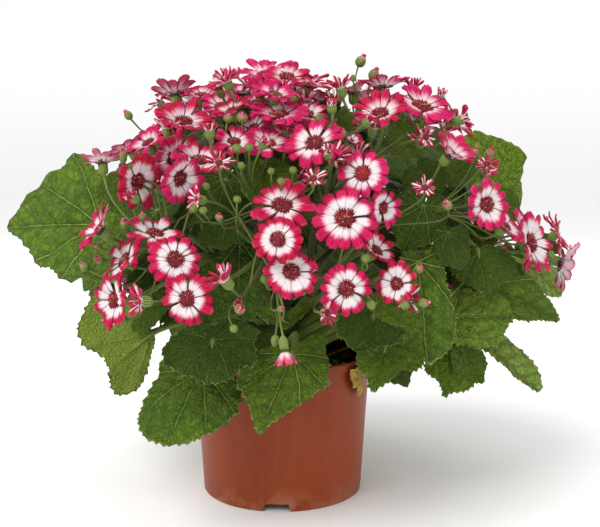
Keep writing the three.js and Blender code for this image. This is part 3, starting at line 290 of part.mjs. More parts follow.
// branches of each flower stalk: stalk, then the control points
const BRANCHES = [
[0,[-19.2,-14.8,208.1],[-29.3,-23.4,226.1],[-42.8,-36.6,225.4],[-54.1,-46.8,237.7]],
[0,[-19.2,-14.8,208.1],[-25.1,-19.7,224],[-30.8,-25.5,232.1],[-36.6,-30.6,245.5]],
[0,[-19.2,-14.8,208.1],[-28.1,-14.1,225.1],[-39.8,-0.9,227.6],[-49.7,3.7,240.4]],
[0,[-19.2,-14.8,208.1],[-22,-23.3,226.9],[-14.8,-37.3,233.2],[-14.5,-47.6,248.2]],
[0,[-19.2,-14.8,208.1],[-20.6,-14.2,227.9],[-9.5,-0.8,236],[-7,3.9,252.5]],
[1,[-39.9,-62.2,173.5],[-50.7,-78.2,179.5],[-58.9,-88.1,180.1],[-68.7,-102,184.3]],
[1,[-39.9,-62.2,173.5],[-49.9,-82.4,177.6],[-50.6,-97.6,169],[-57.8,-116.3,169.2]],
[1,[-39.9,-62.2,173.5],[-52.9,-76.2,184.4],[-63.8,-73.4,197.7],[-76.2,-82.2,209.4]],
[1,[-39.9,-62.2,173.5],[-47.6,-75.9,183.3],[-47.1,-80.1,196.7],[-52.4,-90.9,207.6]],
[2,[-6.6,-75.4,176.5],[-12,-97.6,180.3],[-23.2,-108.6,168.7],[-30.4,-127.5,167.8]],
[2,[-6.6,-75.4,176.5],[-9.4,-99,180.1],[-12.8,-113.1,167.2],[-15.7,-133.9,165.7]],
[2,[-6.6,-75.4,176.5],[-10.7,-93.5,185.8],[-19.4,-100.6,195],[-24.9,-115.3,204.3]],
[2,[-6.6,-75.4,176.5],[-10.5,-95.9,184.7],[-18.2,-107.5,189.2],[-23.1,-125.2,196.3]],
[2,[-6.6,-75.4,176.5],[-9.1,-92.7,188.2],[-12.2,-95.2,203.9],[-14.9,-108,216.8]],
[2,[-6.6,-75.4,176.5],[-6.8,-97.8,180.2],[-2.3,-111.5,168.9],[-1.1,-131.4,168]],
[2,[-6.6,-75.4,176.5],[-6.3,-93.9,185.8],[-0.8,-102.7,195.2],[1.1,-118.1,204.4]],
[2,[-6.6,-75.4,176.5],[-4.3,-94.2,188.3],[7.7,-96.8,202.3],[13.1,-110.7,214.9]],
[3,[29.8,-74.3,165],[35,-94.2,169],[31.6,-108.1,169.2],[34.2,-126,172.1]],
[3,[29.8,-74.3,165],[36.9,-90.8,167.6],[42.7,-100.9,165],[49.3,-115.3,166.1]],
[3,[29.8,-74.3,165],[38.6,-91.7,173.2],[46.3,-96,186.2],[54.8,-109.3,195.9]],
[4,[27.7,-39.2,206.9],[30.1,-51.2,222.9],[18.5,-61.1,229.7],[16.6,-72.5,242.9]],
[4,[27.7,-39.2,206.9],[33.4,-53.6,222.6],[30.3,-69.7,226],[33.3,-84.6,237.9]],
[4,[27.7,-39.2,206.9],[35,-48.4,224.3],[39.1,-50.4,237.1],[45.4,-57.4,253]],
[4,[27.7,-39.2,206.9],[37.4,-52,222.4],[47.7,-63.2,225.5],[57.5,-75.5,237.1]],
[4,[27.7,-39.2,206.9],[36.5,-42.8,224.3],[42.9,-26.7,232.7],[51.1,-24,247.7]],
[4,[27.7,-39.2,206.9],[40.3,-48.8,225],[57.2,-46.9,231.6],[71.1,-53,246.1]],
[5,[70.3,-37.5,178],[85.9,-51.3,187.7],[84.5,-67.8,195],[94.9,-82.5,204]],
[5,[70.3,-37.5,178],[87.4,-49.5,187.6],[92.6,-61.8,195.8],[106,-73.7,204.9]],
[5,[70.3,-37.5,178],[88.3,-41.2,189.2],[94.7,-27.1,201.2],[109.4,-25.2,212.9]],
[5,[70.3,-37.5,178],[93.3,-45.2,183.5],[110.8,-40.1,176],[132.1,-43.9,177.6]],
[6,[48.6,42.3,179.2],[57.7,52.4,195.2],[45,47.1,213.2],[47.2,52.4,230.6]],
[6,[48.6,42.3,179.2],[58.8,62.5,187],[44.6,81.3,179.8],[47.2,101.8,182.9]],
[6,[48.6,42.3,179.2],[59,55.7,190.7],[55.1,65.7,202.1],[61.1,78.1,213.6]],
[6,[48.6,42.3,179.2],[64.4,59.3,185.1],[70.3,74.5,174.1],[83.1,91,174.9]],
[6,[48.6,42.3,179.2],[65,50.3,192.1],[75.1,39.7,204.2],[89.7,42,217]],
[6,[48.6,42.3,179.2],[67.1,54.8,186.8],[83.7,57.7,182.4],[101.5,67.2,186.4]],
[6,[48.6,42.3,179.2],[73.5,54.3,186.2],[94.7,44.8,172],[119.1,50.2,172.5]],
[7,[-32.6,53.6,176],[-51.7,70.3,181.8],[-73.3,64.4,168.5],[-93.9,74.3,168.3]],
[7,[-32.6,53.6,176],[-47.2,66.2,186.6],[-63.7,59.1,193.4],[-79.1,65.7,202.9]],
[7,[-32.6,53.6,176],[-43.5,69.5,182.7],[-53.6,78.9,180.9],[-64.2,92.8,185]],
[7,[-32.6,53.6,176],[-40,65.8,190],[-37,60.5,207.9],[-41.3,67.4,223.4]],
[7,[-32.6,53.6,176],[-39.3,74.6,181.7],[-31,90.7,172.4],[-33.2,110.6,173.5]],
[7,[-32.6,53.6,176],[-36,72.1,187.1],[-18.8,81.2,194.3],[-15.7,97.1,204.4]],
];

const wasm = await Module();
wasm.setup();

const V = (a) => new THREE.Vector3(a[0], a[1], a[2]);
const rad = THREE.MathUtils.degToRad;

// ---- solids
function solid(geometry) {
  const g = geometry.clone();
  g.deleteAttribute("normal");
  g.deleteAttribute("uv");
  const m = mergeVertices(g, 1e-4);
  const t = m.index.array, keep = [];
  for (let i = 0; i < t.length; i += 3)
    if (t[i] !== t[i + 1] && t[i + 1] !== t[i + 2] && t[i] !== t[i + 2]) keep.push(t[i], t[i + 1], t[i + 2]);
  const p = m.attributes.position.array;
  let v = 0;
  const a = new THREE.Vector3(), b = new THREE.Vector3(), c = new THREE.Vector3();
  for (let i = 0; i < keep.length; i += 3) {
    a.fromArray(p, 3 * keep[i]); b.fromArray(p, 3 * keep[i + 1]); c.fromArray(p, 3 * keep[i + 2]);
    v += a.dot(b.cross(c));
  }
  if (v < 0) for (let i = 0; i < keep.length; i += 3) [keep[i + 1], keep[i + 2]] = [keep[i + 2], keep[i + 1]];
  return new wasm.Manifold(new wasm.Mesh({ numProp: 3, vertProperties: new Float32Array(p), triVerts: new Uint32Array(keep) }));
}
const joined = (parts) => parts.reduce((s, x) => s.add(x));

// a turned profile [[radius, height], ...] about +Z
function turned(profile, sides) {
  const g = new THREE.LatheGeometry(profile.map(([r, z]) => new THREE.Vector2(r, z)), sides);
  g.rotateX(Math.PI / 2);
  g.deleteAttribute("normal");
  g.deleteAttribute("uv");
  return mergeVertices(g, 1e-4);
}

// a round tube along a cubic curve
function tube(points, radius, sides, steps) {
  const curve = new THREE.CubicBezierCurve3(...points);
  const shape = new THREE.Shape();
  for (let i = 0; i < sides; i++) {
    const f = (2 * Math.PI * i) / sides;
    i ? shape.lineTo(radius * Math.cos(f), radius * Math.sin(f)) : shape.moveTo(radius, 0);
  }
  shape.closePath();
  return solid(new THREE.ExtrudeGeometry(shape, { steps, curveSegments: 1, bevelEnabled: false, extrudePath: curve }));
}

function place(geometry, origin, facing) {
  geometry.applyQuaternion(new THREE.Quaternion().setFromUnitVectors(new THREE.Vector3(0, 0, 1), facing));
  geometry.translate(origin.x, origin.y, origin.z);
  return geometry;
}

// an open head: a shallow scalloped dish of ray florets over a green cup
function openHead(p, n, R, cup, petals, fine, g) {
  const lift = Math.tan(rad(Math.min(cup, 60))) * 0.8;
  const w = fine ? 2 * Math.round(petals / 2.2) : 6;
  const up = (r) => lift * r;
  const profile = fine
    ? [[0, -CUP_LENGTH - g], [CUP_RADIUS * 0.8 + g, -CUP_LENGTH * 0.72], [CUP_RADIUS + g, -1.2 - g], [R + g, up(R) - 0.6 - g], [R + g, up(R) + 0.6 + g], [R * 0.45, up(R * 0.45) + 1 + g], [0, 2.2 + g]]
    : [[0, -CUP_LENGTH - g], [CUP_RADIUS + g, -2.2], [R + g, up(R) - g], [0, 2 + g]];
  const geo = turned(profile, w);
  if (fine) {
    const q = geo.attributes.position;
    for (let i = 0; i < q.count; i++) {
      const x = q.getX(i), y = q.getY(i), r = Math.hypot(x, y);
      if (r < R * 0.6) continue;
      const odd = Math.round((Math.atan2(y, x) / (2 * Math.PI)) * w) & 1;
      const s = odd ? 0.9 : 1;
      q.setXYZ(i, x * s, y * s, q.getZ(i));
    }
  }
  return solid(place(geo, p, n));
}
// a head whose rays are rolled to quills: a flaring brush
function quillHead(p, n, R, spread, g) {
  const w = Math.max(4.5, R * Math.sin(rad(spread)));
  return solid(place(turned([[0, -g], [CUP_RADIUS * 0.85 + g, 3], [w + g, R + g], [0, R * 0.8 + g]], 5), p, n));
}
function bud(p, n, length, width, g) {
  const w = width / 2 + g;
  return solid(place(turned([[0, -length / 2 - g], [w, -length * 0.1], [0, length / 2 + g]], 4), p, n));
}

// ---- leaf blades: a unit disc bent into the blade's outline
const NT = LEAVES[0][13].length;
function marginRadius(tab, th) {
  const u = ((((th / (2 * Math.PI)) * NT) % NT) + NT) % NT, i = Math.floor(u), f = u - i;
  const t = (k) => tab[(k + NT) % NT];
  return 0.5 * (2 * t(i) + (t(i + 1) - t(i - 1)) * f + (2 * t(i - 1) - 5 * t(i) + 4 * t(i + 1) - t(i + 2)) * f * f + (3 * t(i) - t(i - 1) - 3 * t(i + 1) + t(i + 2)) * f ** 3);
}
function blade(leaf, sides, rings, g) {
  const [, , , , , J, x, n, L, W, fold, droop, ripple, tab] = leaf;
  const o = V(J), ex = V(x).normalize(), ez = V(n).normalize(), ey = new THREE.Vector3().crossVectors(ez, ex);
  const prof = [[0, -1]];
  for (let i = 1; i <= rings; i++) prof.push([i / rings, -1]);
  for (let i = rings; i >= 1; i--) prof.push([i / rings, 1]);
  prof.push([0, 1]);
  const geo = turned(prof, sides), q = geo.attributes.position, v = new THREE.Vector3();
  for (let i = 0; i < q.count; i++) {
    const s = Math.hypot(q.getX(i), q.getY(i)), th = Math.atan2(q.getY(i), q.getX(i));
    const r = marginRadius(tab, th) * s + (s > 0.99 ? g : 0);
    const X = r * Math.cos(th), Y = r * Math.sin(th);
    let z = (-Math.tan(rad(droop)) * X * Math.abs(X) * 0.8) / L + Math.abs(Y) * Math.tan(rad(fold)) - (0.3 * Y * Y) / Math.max(W, 1);
    z += 0.035 * L * Math.sin(3 * th + ripple * 2.1) * s * s;
    z += q.getZ(i) * (LEAF_THICK / 2 + g);
    v.copy(o).addScaledVector(ex, X).addScaledVector(ey, Y).addScaledVector(ez, z);
    q.setXYZ(i, v.x, v.y, v.z);
  }
  return solid(geo);
}
function leafOnPetiole(leaf, big, g) {
  const [, , root, c1, c2, J, x] = leaf;
  const end = V(J).addScaledVector(V(x), big ? 4 : 2);
  const stalk = tube([V(root), V(c1), V(c2), end], (big ? PETIOLE_RADIUS : 1.1) + g, big ? 4 : 3, big ? 3 : 1);
  return stalk.add(big ? blade(leaf, 12, 2, g) : blade(leaf, 6, 1, g));
}

// ---- the pot
const wallRadius = (z) => POT_BASE_RADIUS + ((POT_TOP_RADIUS - RIM_STEP - POT_BASE_RADIUS) * z) / POT_HEIGHT;
const innerRadius = (z) => wallRadius(z) - WALL;
function potSolid(g) {
  const lip = POT_HEIGHT - RIM_DEPTH;
  const body = solid(turned([
    [0, FLOOR_RAISE - g], [FOOT_RING_INNER, FLOOR_RAISE - g], [FOOT_RING_INNER + 0.8, 0], [POT_BASE_RADIUS - 0.7, 0], [wallRadius(0.9), 0.9],
    [wallRadius(lip) + g, lip - 0.6], [POT_TOP_RADIUS + g, lip], [POT_TOP_RADIUS + g, POT_HEIGHT - 0.7], [POT_TOP_RADIUS - 0.7 + g, POT_HEIGHT + g], [innerRadius(POT_HEIGHT) - g, POT_HEIGHT + g],
    [innerRadius(20) - g, 20], [innerRadius(10) - 1.4 - g, FLOOR_RAISE + FLOOR_THICK + 1.2 + g], [innerRadius(10) - 3.4, FLOOR_RAISE + FLOOR_THICK + g], [0, FLOOR_RAISE + FLOOR_THICK + g],
  ], 24));
  if (g) return body;
  const cuts = [];
  for (let i = 0; i < 4; i++) {
    const shape = new THREE.Shape([
      new THREE.Vector2(-NOTCH_BASE_WIDTH / 2 - 0.3, -1), new THREE.Vector2(NOTCH_BASE_WIDTH / 2 + 0.3, -1),
      new THREE.Vector2(NOTCH_TOP_WIDTH / 2, NOTCH_HEIGHT), new THREE.Vector2(-NOTCH_TOP_WIDTH / 2, NOTCH_HEIGHT),
    ]);
    const cut = new THREE.ExtrudeGeometry(shape, { depth: 16, bevelEnabled: false });
    cut.rotateX(Math.PI / 2).translate(0, 62, 0).rotateZ(rad(NOTCH_AZIMUTH - 90 + 90 * i));
    cuts.push(solid(cut));
    const f = rad(NOTCH_AZIMUTH + 45 + 90 * i);
    const drain = new THREE.CylinderGeometry(DRAIN_RADIUS, DRAIN_RADIUS, 6, 10);
    drain.rotateX(Math.PI / 2).translate(DRAIN_CIRCLE * Math.cos(f), DRAIN_CIRCLE * Math.sin(f), FLOOR_RAISE + 1);
    cuts.push(solid(drain));
  }
  return cuts.reduce((s, c) => s.subtract(c), body);
}
function soilSolid(g) {
  const z0 = FLOOR_RAISE + FLOOR_THICK + 0.5 - g, c = 0.5 - g;
  return solid(turned([
    [0, z0], [innerRadius(10) - 4, z0], [innerRadius(10) - 1.6 - c, z0 + 1.4], [innerRadius(20) - c, 20], [innerRadius(SOIL_TOP) - c, SOIL_TOP - 1 + g],
    [44, SOIL_TOP + 0.6 + g], [0, SOIL_TOP + 1.4 + g],
  ], 24));
}
function crownSolid(g) {
  return solid(turned([[0, CROWN_FOOT - g], [8 + g, CROWN_FOOT - g], [9 + g, 92], [10 + g, 114], [11.6 + g, 130], [11 + g, CROWN_TOP + g], [0, CROWN_TOP + 0.6 + g]], 12));
}

// ---- a flower stalk with its branches, stem leaves, lesser heads and buds: one grown piece
function corymbSolid(k, g) {
  const stalk = CORYMBS[k].map(V), parts = [tube(stalk, STALK_RADIUS + g, 5, 3)];
  parts.push(solid(new THREE.IcosahedronGeometry(STALK_RADIUS * 1.25 + g, 0).translate(stalk[3].x, stalk[3].y, stalk[3].z)));
  BRANCHES.forEach((b, bi) => {
    if (b[0] !== k) return;
    const c = b.slice(1).map(V);
    parts.push(tube(c, BRANCH_RADIUS + g, 3, 1));
    parts.push(solid(new THREE.OctahedronGeometry(BRANCH_RADIUS * 1.9 + g, 0).translate(c[3].x, c[3].y, c[3].z)));
    for (const h of HEADS) {
      if (h[1] !== bi || (h[0] === "B" && !BUDS_AS_SOLIDS.includes(HEADS.indexOf(h)))) continue;
      const [kind, , p, n, R, cup, petals, c1, c2, name, width] = h;
      const P = V(p), N = V(n).normalize();
      const foot = P.clone().addScaledVector(N, kind === "q" ? 0.3 : kind === "B" ? -R * 0.4 : -CUP_LENGTH + 0.3);
      parts.push(tube([c[3], V(c1), V(c2), foot], PEDICEL_RADIUS + g, 3, 1));
      if (name) continue;
      parts.push(kind === "q" ? quillHead(P, N, R, cup, g) : kind === "B" ? bud(P, N, R, width, g) : openHead(P, N, R, cup, petals, false, g));
    }
  });
  for (const leaf of LEAVES) if (leaf[1] === k) parts.push(leafOnPetiole(leaf, false, g));
  return joined(parts);
}

// ---- assembly
const root = new THREE.Group();
const plant = new THREE.Group();
const foliage = new THREE.Group();
const flowers = new THREE.Group();
plant.add(foliage, flowers);
root.add(plant);

const placed = [];
// each later piece gives way to the ones before it, with the clearance kept
function add(group, name, make, origin, color, roughness) {
  let s = make(0);
  const box = s.boundingBox();
  for (const other of placed) {
    const b = other.box;
    if ([0, 1, 2].some((i) => b.min[i] > box.max[i] + 1 || b.max[i] < box.min[i] - 1)) continue;
    if (!other.grown) other.grown = other.make(GAP);
    s = s.subtract(other.grown);
  }
  const bodies = s.decompose().sort((a, b) => b.volume() - a.volume());
  s = bodies[0];
  placed.push({ name, make, box });
  const m = s.getMesh(), n = m.numProp, v = new Float32Array(m.numVert * 3);
  for (let i = 0; i < m.numVert; i++) v.set(m.vertProperties.subarray(i * n, i * n + 3), i * 3);
  const g = new THREE.BufferGeometry();
  g.setAttribute("position", new THREE.BufferAttribute(v, 3));
  g.setIndex(new THREE.BufferAttribute(new Uint32Array(m.triVerts), 1));
  g.translate(-origin[0], -origin[1], -origin[2]);
  g.computeVertexNormals();
  const mesh = new THREE.Mesh(g, new THREE.MeshStandardMaterial({ color, roughness, metalness: 0 }));
  mesh.name = name;
  mesh.position.set(...origin);
  group.add(mesh);
}

add(root, "pot", potSolid, [0, 0, 0], 0x924329, 0.42);
add(root, "potting_mix", (g) => soilSolid(g).subtract(crownSolid(g ? 0 : GAP)), [0, 0, FLOOR_RAISE + FLOOR_THICK], 0x241a13, 0.95);
add(plant, "crown", crownSolid, [0, 0, CROWN_FOOT], 0x6f8a42, 0.6);
CORYMBS.forEach((c, k) => add(flowers, "corymb_" + (k + 1), (g) => corymbSolid(k, g), c[0], 0x7f9a4a, 0.6));
for (const h of HEADS) {
  const [, , p, n, R, cup, petals, , , name] = h;
  if (name) add(flowers, name, (g) => openHead(V(p), V(n).normalize(), R, cup, petals, true, g), p, 0xc92a55, 0.55);
}
for (const leaf of LEAVES) if (leaf[1] === -1) add(foliage, leaf[0], (g) => leafOnPetiole(leaf, true, g), leaf[2], leaf[0] === "leaf_withered" ? 0x8a7328 : 0x4f7a33, 0.55);

export default root;
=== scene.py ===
# A florist cineraria in a small nursery pot: the looks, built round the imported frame.
# Lengths in the tables are millimetres in the row frame; meshes are made in metres.
import math

import bpy
import numpy as np
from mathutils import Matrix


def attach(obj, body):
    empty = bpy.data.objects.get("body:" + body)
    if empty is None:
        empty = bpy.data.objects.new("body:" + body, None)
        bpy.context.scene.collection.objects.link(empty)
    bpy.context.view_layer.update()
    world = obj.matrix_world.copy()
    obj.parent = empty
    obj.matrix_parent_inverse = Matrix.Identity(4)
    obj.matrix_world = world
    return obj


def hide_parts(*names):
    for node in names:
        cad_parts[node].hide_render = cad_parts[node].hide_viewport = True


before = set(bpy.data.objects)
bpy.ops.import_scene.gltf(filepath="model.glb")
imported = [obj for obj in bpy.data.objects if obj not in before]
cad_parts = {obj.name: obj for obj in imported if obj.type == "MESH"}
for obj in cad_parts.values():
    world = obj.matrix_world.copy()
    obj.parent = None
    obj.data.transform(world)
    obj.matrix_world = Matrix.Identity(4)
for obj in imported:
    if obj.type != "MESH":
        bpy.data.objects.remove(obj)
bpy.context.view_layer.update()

pi = math.pi

# flower heads: kind (o open, h half open, p opening, b leaning away, q quilled, B bud), stalk, detail, centre, facing, radius or length,
# cup angle or spread, petals (or crimson tip on a bud), bud width, the pedicel's four control points, own piece or ""
HEADS = [
("o",3,1,(37.7,-156.6,205.4),(-0.078,-0.915,0.397),18.4,4,13,0,(34.2,-126,172.1),(36.3,-138.7,179.6),(39.2,-138,197.3),(38.2,-150.2,202.6),"flower_front_10"),
("o",2,1,(2.9,-146.1,211),(0.073,-0.719,0.691),18.4,12.1,12,0,(1.1,-118.1,204.4),(1.8,-126.5,207),(1.9,-135.5,200.7),(2.4,-141.1,206.1),"flower_front_09"),
("o",2,1,(1.4,-174.7,195.3),(0.023,-0.922,0.385),13.5,0,13,0,(-1.1,-131.4,168),(-0.2,-147.5,172.8),(0.8,-154.3,186.8),(1.2,-168.2,192.6),"flower_front_08"),
("o",2,1,(8.2,-170.3,177.2),(0.242,-0.83,0.503),15.3,4,12,0,(-1.1,-131.4,168),(0.7,-144.3,169),(3.6,-154.8,167.8),(6.5,-164.5,173.7),"flower_front_13"),
("o",3,1,(37.9,-165.6,167.9),(0.147,-0.968,0.202),15.2,0,13,0,(34.2,-126,172.1),(35.8,-138.6,172),(35.3,-147.8,164.2),(36.9,-158.8,166.5),"flower_front_14"),
("o",3,1,(67.5,-153.1,169),(-0.551,-0.803,0.228),12.8,14,11,0,(49.3,-115.3,166.1),(56.6,-128.2,166.9),(78.7,-136.8,164.4),(71.3,-147.5,167.4),""),
("o",3,1,(55.5,-134.8,184.6),(0.621,-0.449,0.642),13.2,28.8,11,0,(49.3,-115.3,166.1),(51.5,-122.6,169.3),(46.6,-128.4,175.4),(51.2,-131.7,180.1),""),
("o",3,1,(59.4,-133.5,210.4),(0.571,-0.821,0.036),12,18,11,0,(54.8,-109.3,195.9),(56.9,-116.3,200.9),(50.9,-121.3,209.9),(55.4,-127.8,210.2),""),
("o",3,1,(48.5,-139.2,229.8),(-0.174,-0.896,0.408),15,4,12,0,(54.8,-109.3,195.9),(57.3,-119.9,206.1),(52.1,-120.9,221.5),(49.8,-132.9,227),"flower_front_07"),
("o",2,1,(21.6,-129.3,246.3),(-0.237,-0.772,0.59),17.8,9.9,12,0,(13.1,-110.7,214.9),(16.6,-117.8,224.1),(25.8,-115.5,235.8),(23.3,-123.9,242.2),"flower_front_06"),
("o",4,1,(0.4,-104.9,262.4),(0.012,-0.44,0.898),18.6,23,13,0,(16.6,-72.5,242.9),(12.9,-82.9,250.9),(0.2,-96.4,245.1),(0.3,-101.8,256.1),"flower_front_05"),
("o",0,1,(-60.2,-80.5,259.3),(0.201,-0.565,0.8),18.8,29.4,12,0,(-54.1,-46.8,237.7),(-59.4,-56,245.5),(-64,-69.9,244.3),(-61.6,-76.5,253.7),"flower_front_04"),
("o",0,1,(-37.9,-62.3,271),(-0.013,-0.615,0.789),13.4,24,11,0,(-36.6,-30.6,245.5),(-39.5,-38.7,255.4),(-38.7,-54.7,253.9),(-38.2,-59.4,264.6),""),
("o",2,1,(-25,-127.3,246.9),(0.186,-0.658,0.73),12.2,18,11,0,(-14.9,-108,216.8),(-17.9,-115.2,225.6),(-28.3,-116.8,233.2),(-26.3,-123.1,241.5),""),
("o",0,1,(-15.1,-93.4,255.7),(-0.535,-0.545,0.646),14.4,16.3,11,0,(-14.5,-47.6,248.2),(-14,-61.4,256.4),(-3.7,-81.8,241.9),(-11.4,-89.6,251.2),""),
("o",2,1,(-5.8,-115.5,245.5),(0.096,-0.568,0.817),15.3,23.4,11,0,(-14.9,-108,216.8),(-13.9,-112.4,225),(-7.3,-106.8,232.9),(-6.5,-111.5,239.8),""),
("o",0,1,(-10,-31.8,293.7),(-0.149,-0.412,0.899),18.6,25,12,0,(-14.5,-47.6,248.2),(-13.4,-48.6,264.8),(-6.7,-22.8,274),(-8.9,-28.9,287.4),"flower_front_01"),
("o",0,1,(4.5,-53.8,290.2),(0.086,-0.59,0.803),16.1,22,12,0,(-14.5,-47.6,248.2),(-10.9,-52.5,262.4),(2.7,-42.6,272.8),(3.9,-50,284.4),""),
("o",4,1,(18.6,-79.3,282.9),(0.258,-0.224,0.94),14.7,21,12,0,(16.6,-72.5,242.9),(16.2,-77.8,254.6),(13.8,-75.2,265.5),(16.8,-77.7,276.3),""),
("o",4,1,(17.9,-91,264.3),(-0.006,-0.612,0.791),13.1,20,11,0,(16.6,-72.5,242.9),(16.6,-78,248.9),(18,-83.5,252.2),(17.9,-87.3,258.4),""),
("o",4,1,(61.2,-108,263.4),(-0.134,-0.606,0.784),16.7,27.1,12,0,(57.5,-75.5,237.1),(61.8,-85.2,245.3),(63.7,-96.4,248.4),(62.1,-103.7,257.9),""),
("o",4,1,(65.8,-75.2,280.8),(-0.042,0.036,0.998),16.5,33,12,0,(57.5,-75.5,237.1),(63.1,-80.3,249.4),(66.7,-75.9,261),(66.1,-75.4,273.8),""),
("o",4,1,(87.5,-88.7,268.7),(0.239,-0.594,0.768),19.7,20,13,0,(57.5,-75.5,237.1),(66.8,-82,246.9),(82.6,-76.5,253),(85.8,-84.5,263.3),"flower_front_02"),
("o",5,1,(100.2,-111.9,239.1),(0.56,-0.468,0.684),13.6,46,11,0,(132.1,-43.9,177.6),(148.4,-32.6,197.1),(78.6,-68.6,209),(96.3,-108.6,234.3),""),
("o",5,1,(121,-120.4,211.6),(0.491,-0.866,0.093),15.9,24,12,0,(94.9,-82.5,204),(103.4,-58,208.7),(111,-77.4,206.1),(117.6,-114.3,210.9),""),
("o",1,1,(-55.9,-155.9,182.7),(0.187,-0.885,0.426),15.4,2,13,0,(-57.8,-116.3,169.2),(-60.2,-129.2,171.5),(-59.5,-139.1,174.7),(-57.2,-149.7,179.7),"flower_front_11"),
("o",2,1,(-47.4,-169.1,162.9),(-0.163,-0.976,0.142),15.1,2,13,0,(-30.4,-127.5,167.8),(-35.9,-141.1,166.6),(-44.1,-149.4,160.1),(-46.2,-162.2,161.9),"flower_front_12"),
("o",1,1,(-89.8,-146.1,159),(-0.681,-0.724,0.106),15.8,24.9,13,0,(-57.8,-116.3,169.2),(-66,-128.2,167.4),(-76.2,-131.5,156.9),(-85,-141,158.3),"flower_front_16"),
("o",1,1,(-86.9,-129.8,178.9),(-0.708,-0.478,0.519),15.7,24,12,0,(-68.7,-102,184.3),(-74.6,-75.4,184),(-74.9,-96.5,166.5),(-81.9,-126.4,175.3),""),
("o",1,1,(-70.6,-135.2,193.9),(0.23,-0.403,0.886),16.4,20,12,0,(-68.7,-102,184.3),(-72.5,-112.8,186.5),(-70.6,-128.6,177.7),(-70.6,-132.5,187.4),""),
("o",1,1,(-101.4,-127.9,196.2),(-0.768,-0.261,0.585),15.1,34,11,0,(-68.7,-102,184.3),(-77.9,-76.3,187.6),(-86.3,-97.6,181.1),(-96,-126.1,192.1),""),
("o",1,1,(-84.2,-120.3,225.6),(0.818,-0.568,-0.093),17.9,24,11,0,(-57.8,-116.3,169.2),(-68.5,-130.2,183.9),(-61.1,-105.6,226.3),(-78.3,-116.6,225.8),""),
("o",1,1,(-65.6,-93.3,239.9),(0.647,-0.689,-0.326),18.6,24,12,0,(-52.4,-90.9,207.6),(-57,-94.7,217.1),(-63.6,-83,226.5),(-64.7,-89.1,234.4),"flower_front_03"),
("o",1,1,(-57.5,-131,228.1),(0.709,-0.646,-0.284),15.4,28,11,0,(-76.2,-82.2,209.4),(-78.9,-98.4,221.6),(-43.4,-113.2,239.3),(-53.6,-126.1,231.2),""),
("o",1,1,(-47.7,-110.7,235.6),(0.102,-0.558,0.823),16.2,25.2,12,0,(-57.8,-116.3,169.2),(-61.8,-130.3,187.7),(-50.6,-95,212.4),(-48.4,-106.8,229.8),""),
("o",0,1,(-70.5,-35,279.5),(-0.078,0.312,0.947),17.5,33,12,0,(-54.1,-46.8,237.7),(-62,-26.9,250.5),(-68.9,-26,257.9),(-70,-37.1,272.8),""),
("o",0,1,(-52.4,-46.3,279.2),(-0.024,-0.443,0.896),13.2,24,11,0,(-14.5,-47.6,248.2),(-23.3,-52.3,262.4),(-54.3,-38.9,258),(-53,-44,272.7),""),
("o",1,1,(-108.7,-90.4,234.4),(-0.154,0.266,0.952),13,34,11,0,(-68.7,-102,184.3),(-84.9,-110.4,197.5),(-104.5,-97.7,208.7),(-107.6,-92.3,227.8),""),
("o",0,1,(-82.7,-70.8,247.2),(-0.456,-0.46,0.762),13.9,29,11,0,(-54.1,-46.8,237.7),(-62.8,-54.2,243),(-74.3,-62.4,233.3),(-79.5,-67.6,241.8),""),
("o",0,1,(-26.9,-42.4,280.9),(-0.006,-0.333,0.943),12,27,11,0,(-36.6,-30.6,245.5),(-37,1.4,256.9),(-26.8,-11.3,260.5),(-26.9,-40.1,274.3),""),
("h",0,1,(-11.6,-89.4,276.6),(0.037,-0.768,0.64),8.6,62,10,0,(-14.5,-47.6,248.2),(-14.1,-59.2,260),(-12.4,-72.6,262.6),(-11.8,-84,272.1),""),
("o",5,1,(159.1,-72,185.2),(0.766,-0.594,0.245),20.6,22,12,0,(94.9,-82.5,204),(117.9,-68.2,205.7),(147.6,-63.1,181.5),(153.8,-67.8,183.5),"flower_front_15"),
("p",4,1,(43.1,-114.5,248.4),(0.375,-0.617,0.692),5.9,30,9,0,(33.3,-84.6,237.9),(35.6,-93.6,242.4),(37,-104.5,237.2),(40.4,-110.2,243.6),""),
("o",5,1,(192.1,-23.3,168.6),(0.938,-0.07,-0.34),18.2,34,11,0,(106,-73.7,204.9),(144,-75.7,207.6),(153.5,-20.4,182.5),(185.5,-22.8,170.9),""),
("q",0,1,(-29.4,-88.5,279.6),(-0.355,-0.229,0.907),15.3,44,16,0,(-14.5,-47.6,248.2),(-17.5,-62.9,264),(-21.9,-90,261.7),(-28.9,-94.5,279.7),""),
("q",4,1,(1.3,-86.1,273.8),(0.004,-0.109,0.994),13.2,22,12,0,(33.3,-84.6,237.9),(28.8,-63.1,253.3),(1.7,-84.8,253.7),(1.8,-112.1,276.5),""),
("q",4,1,(38.8,-101.7,274.4),(-0.223,-0.184,0.957),13.2,34,14,0,(71.1,-53,246.1),(73.3,-69.7,264.1),(43.7,-97.6,253.3),(38.8,-101.7,274.4),""),
("q",4,1,(84.3,-63.2,278),(0.155,-0.073,0.985),12.2,22,10,0,(71.1,-53,246.1),(78,-57.1,257.1),(82.4,-62.4,265.9),(84.3,-63.2,278),""),
("q",4,1,(102.7,-57,274.6),(0.284,-0.112,0.952),9.7,16,8,0,(45.4,-57.4,253),(61.9,-62.3,268.6),(96.8,-54.7,254.8),(102.7,-57,274.6),""),
("q",4,1,(107.9,-81.4,260.5),(0.892,-0.169,0.42),13.1,32,14,0,(57.5,-75.5,237.1),(73.3,-83.7,248.8),(91,-78.1,252.6),(107.9,-81.4,260.5),""),
("q",4,1,(31.7,-118.5,264.5),(-0.043,-0.109,0.993),8.7,12,10,0,(33.3,-84.6,237.9),(34.4,-97.3,248.2),(32.3,-116.9,250),(31.7,-118.5,264.5),""),
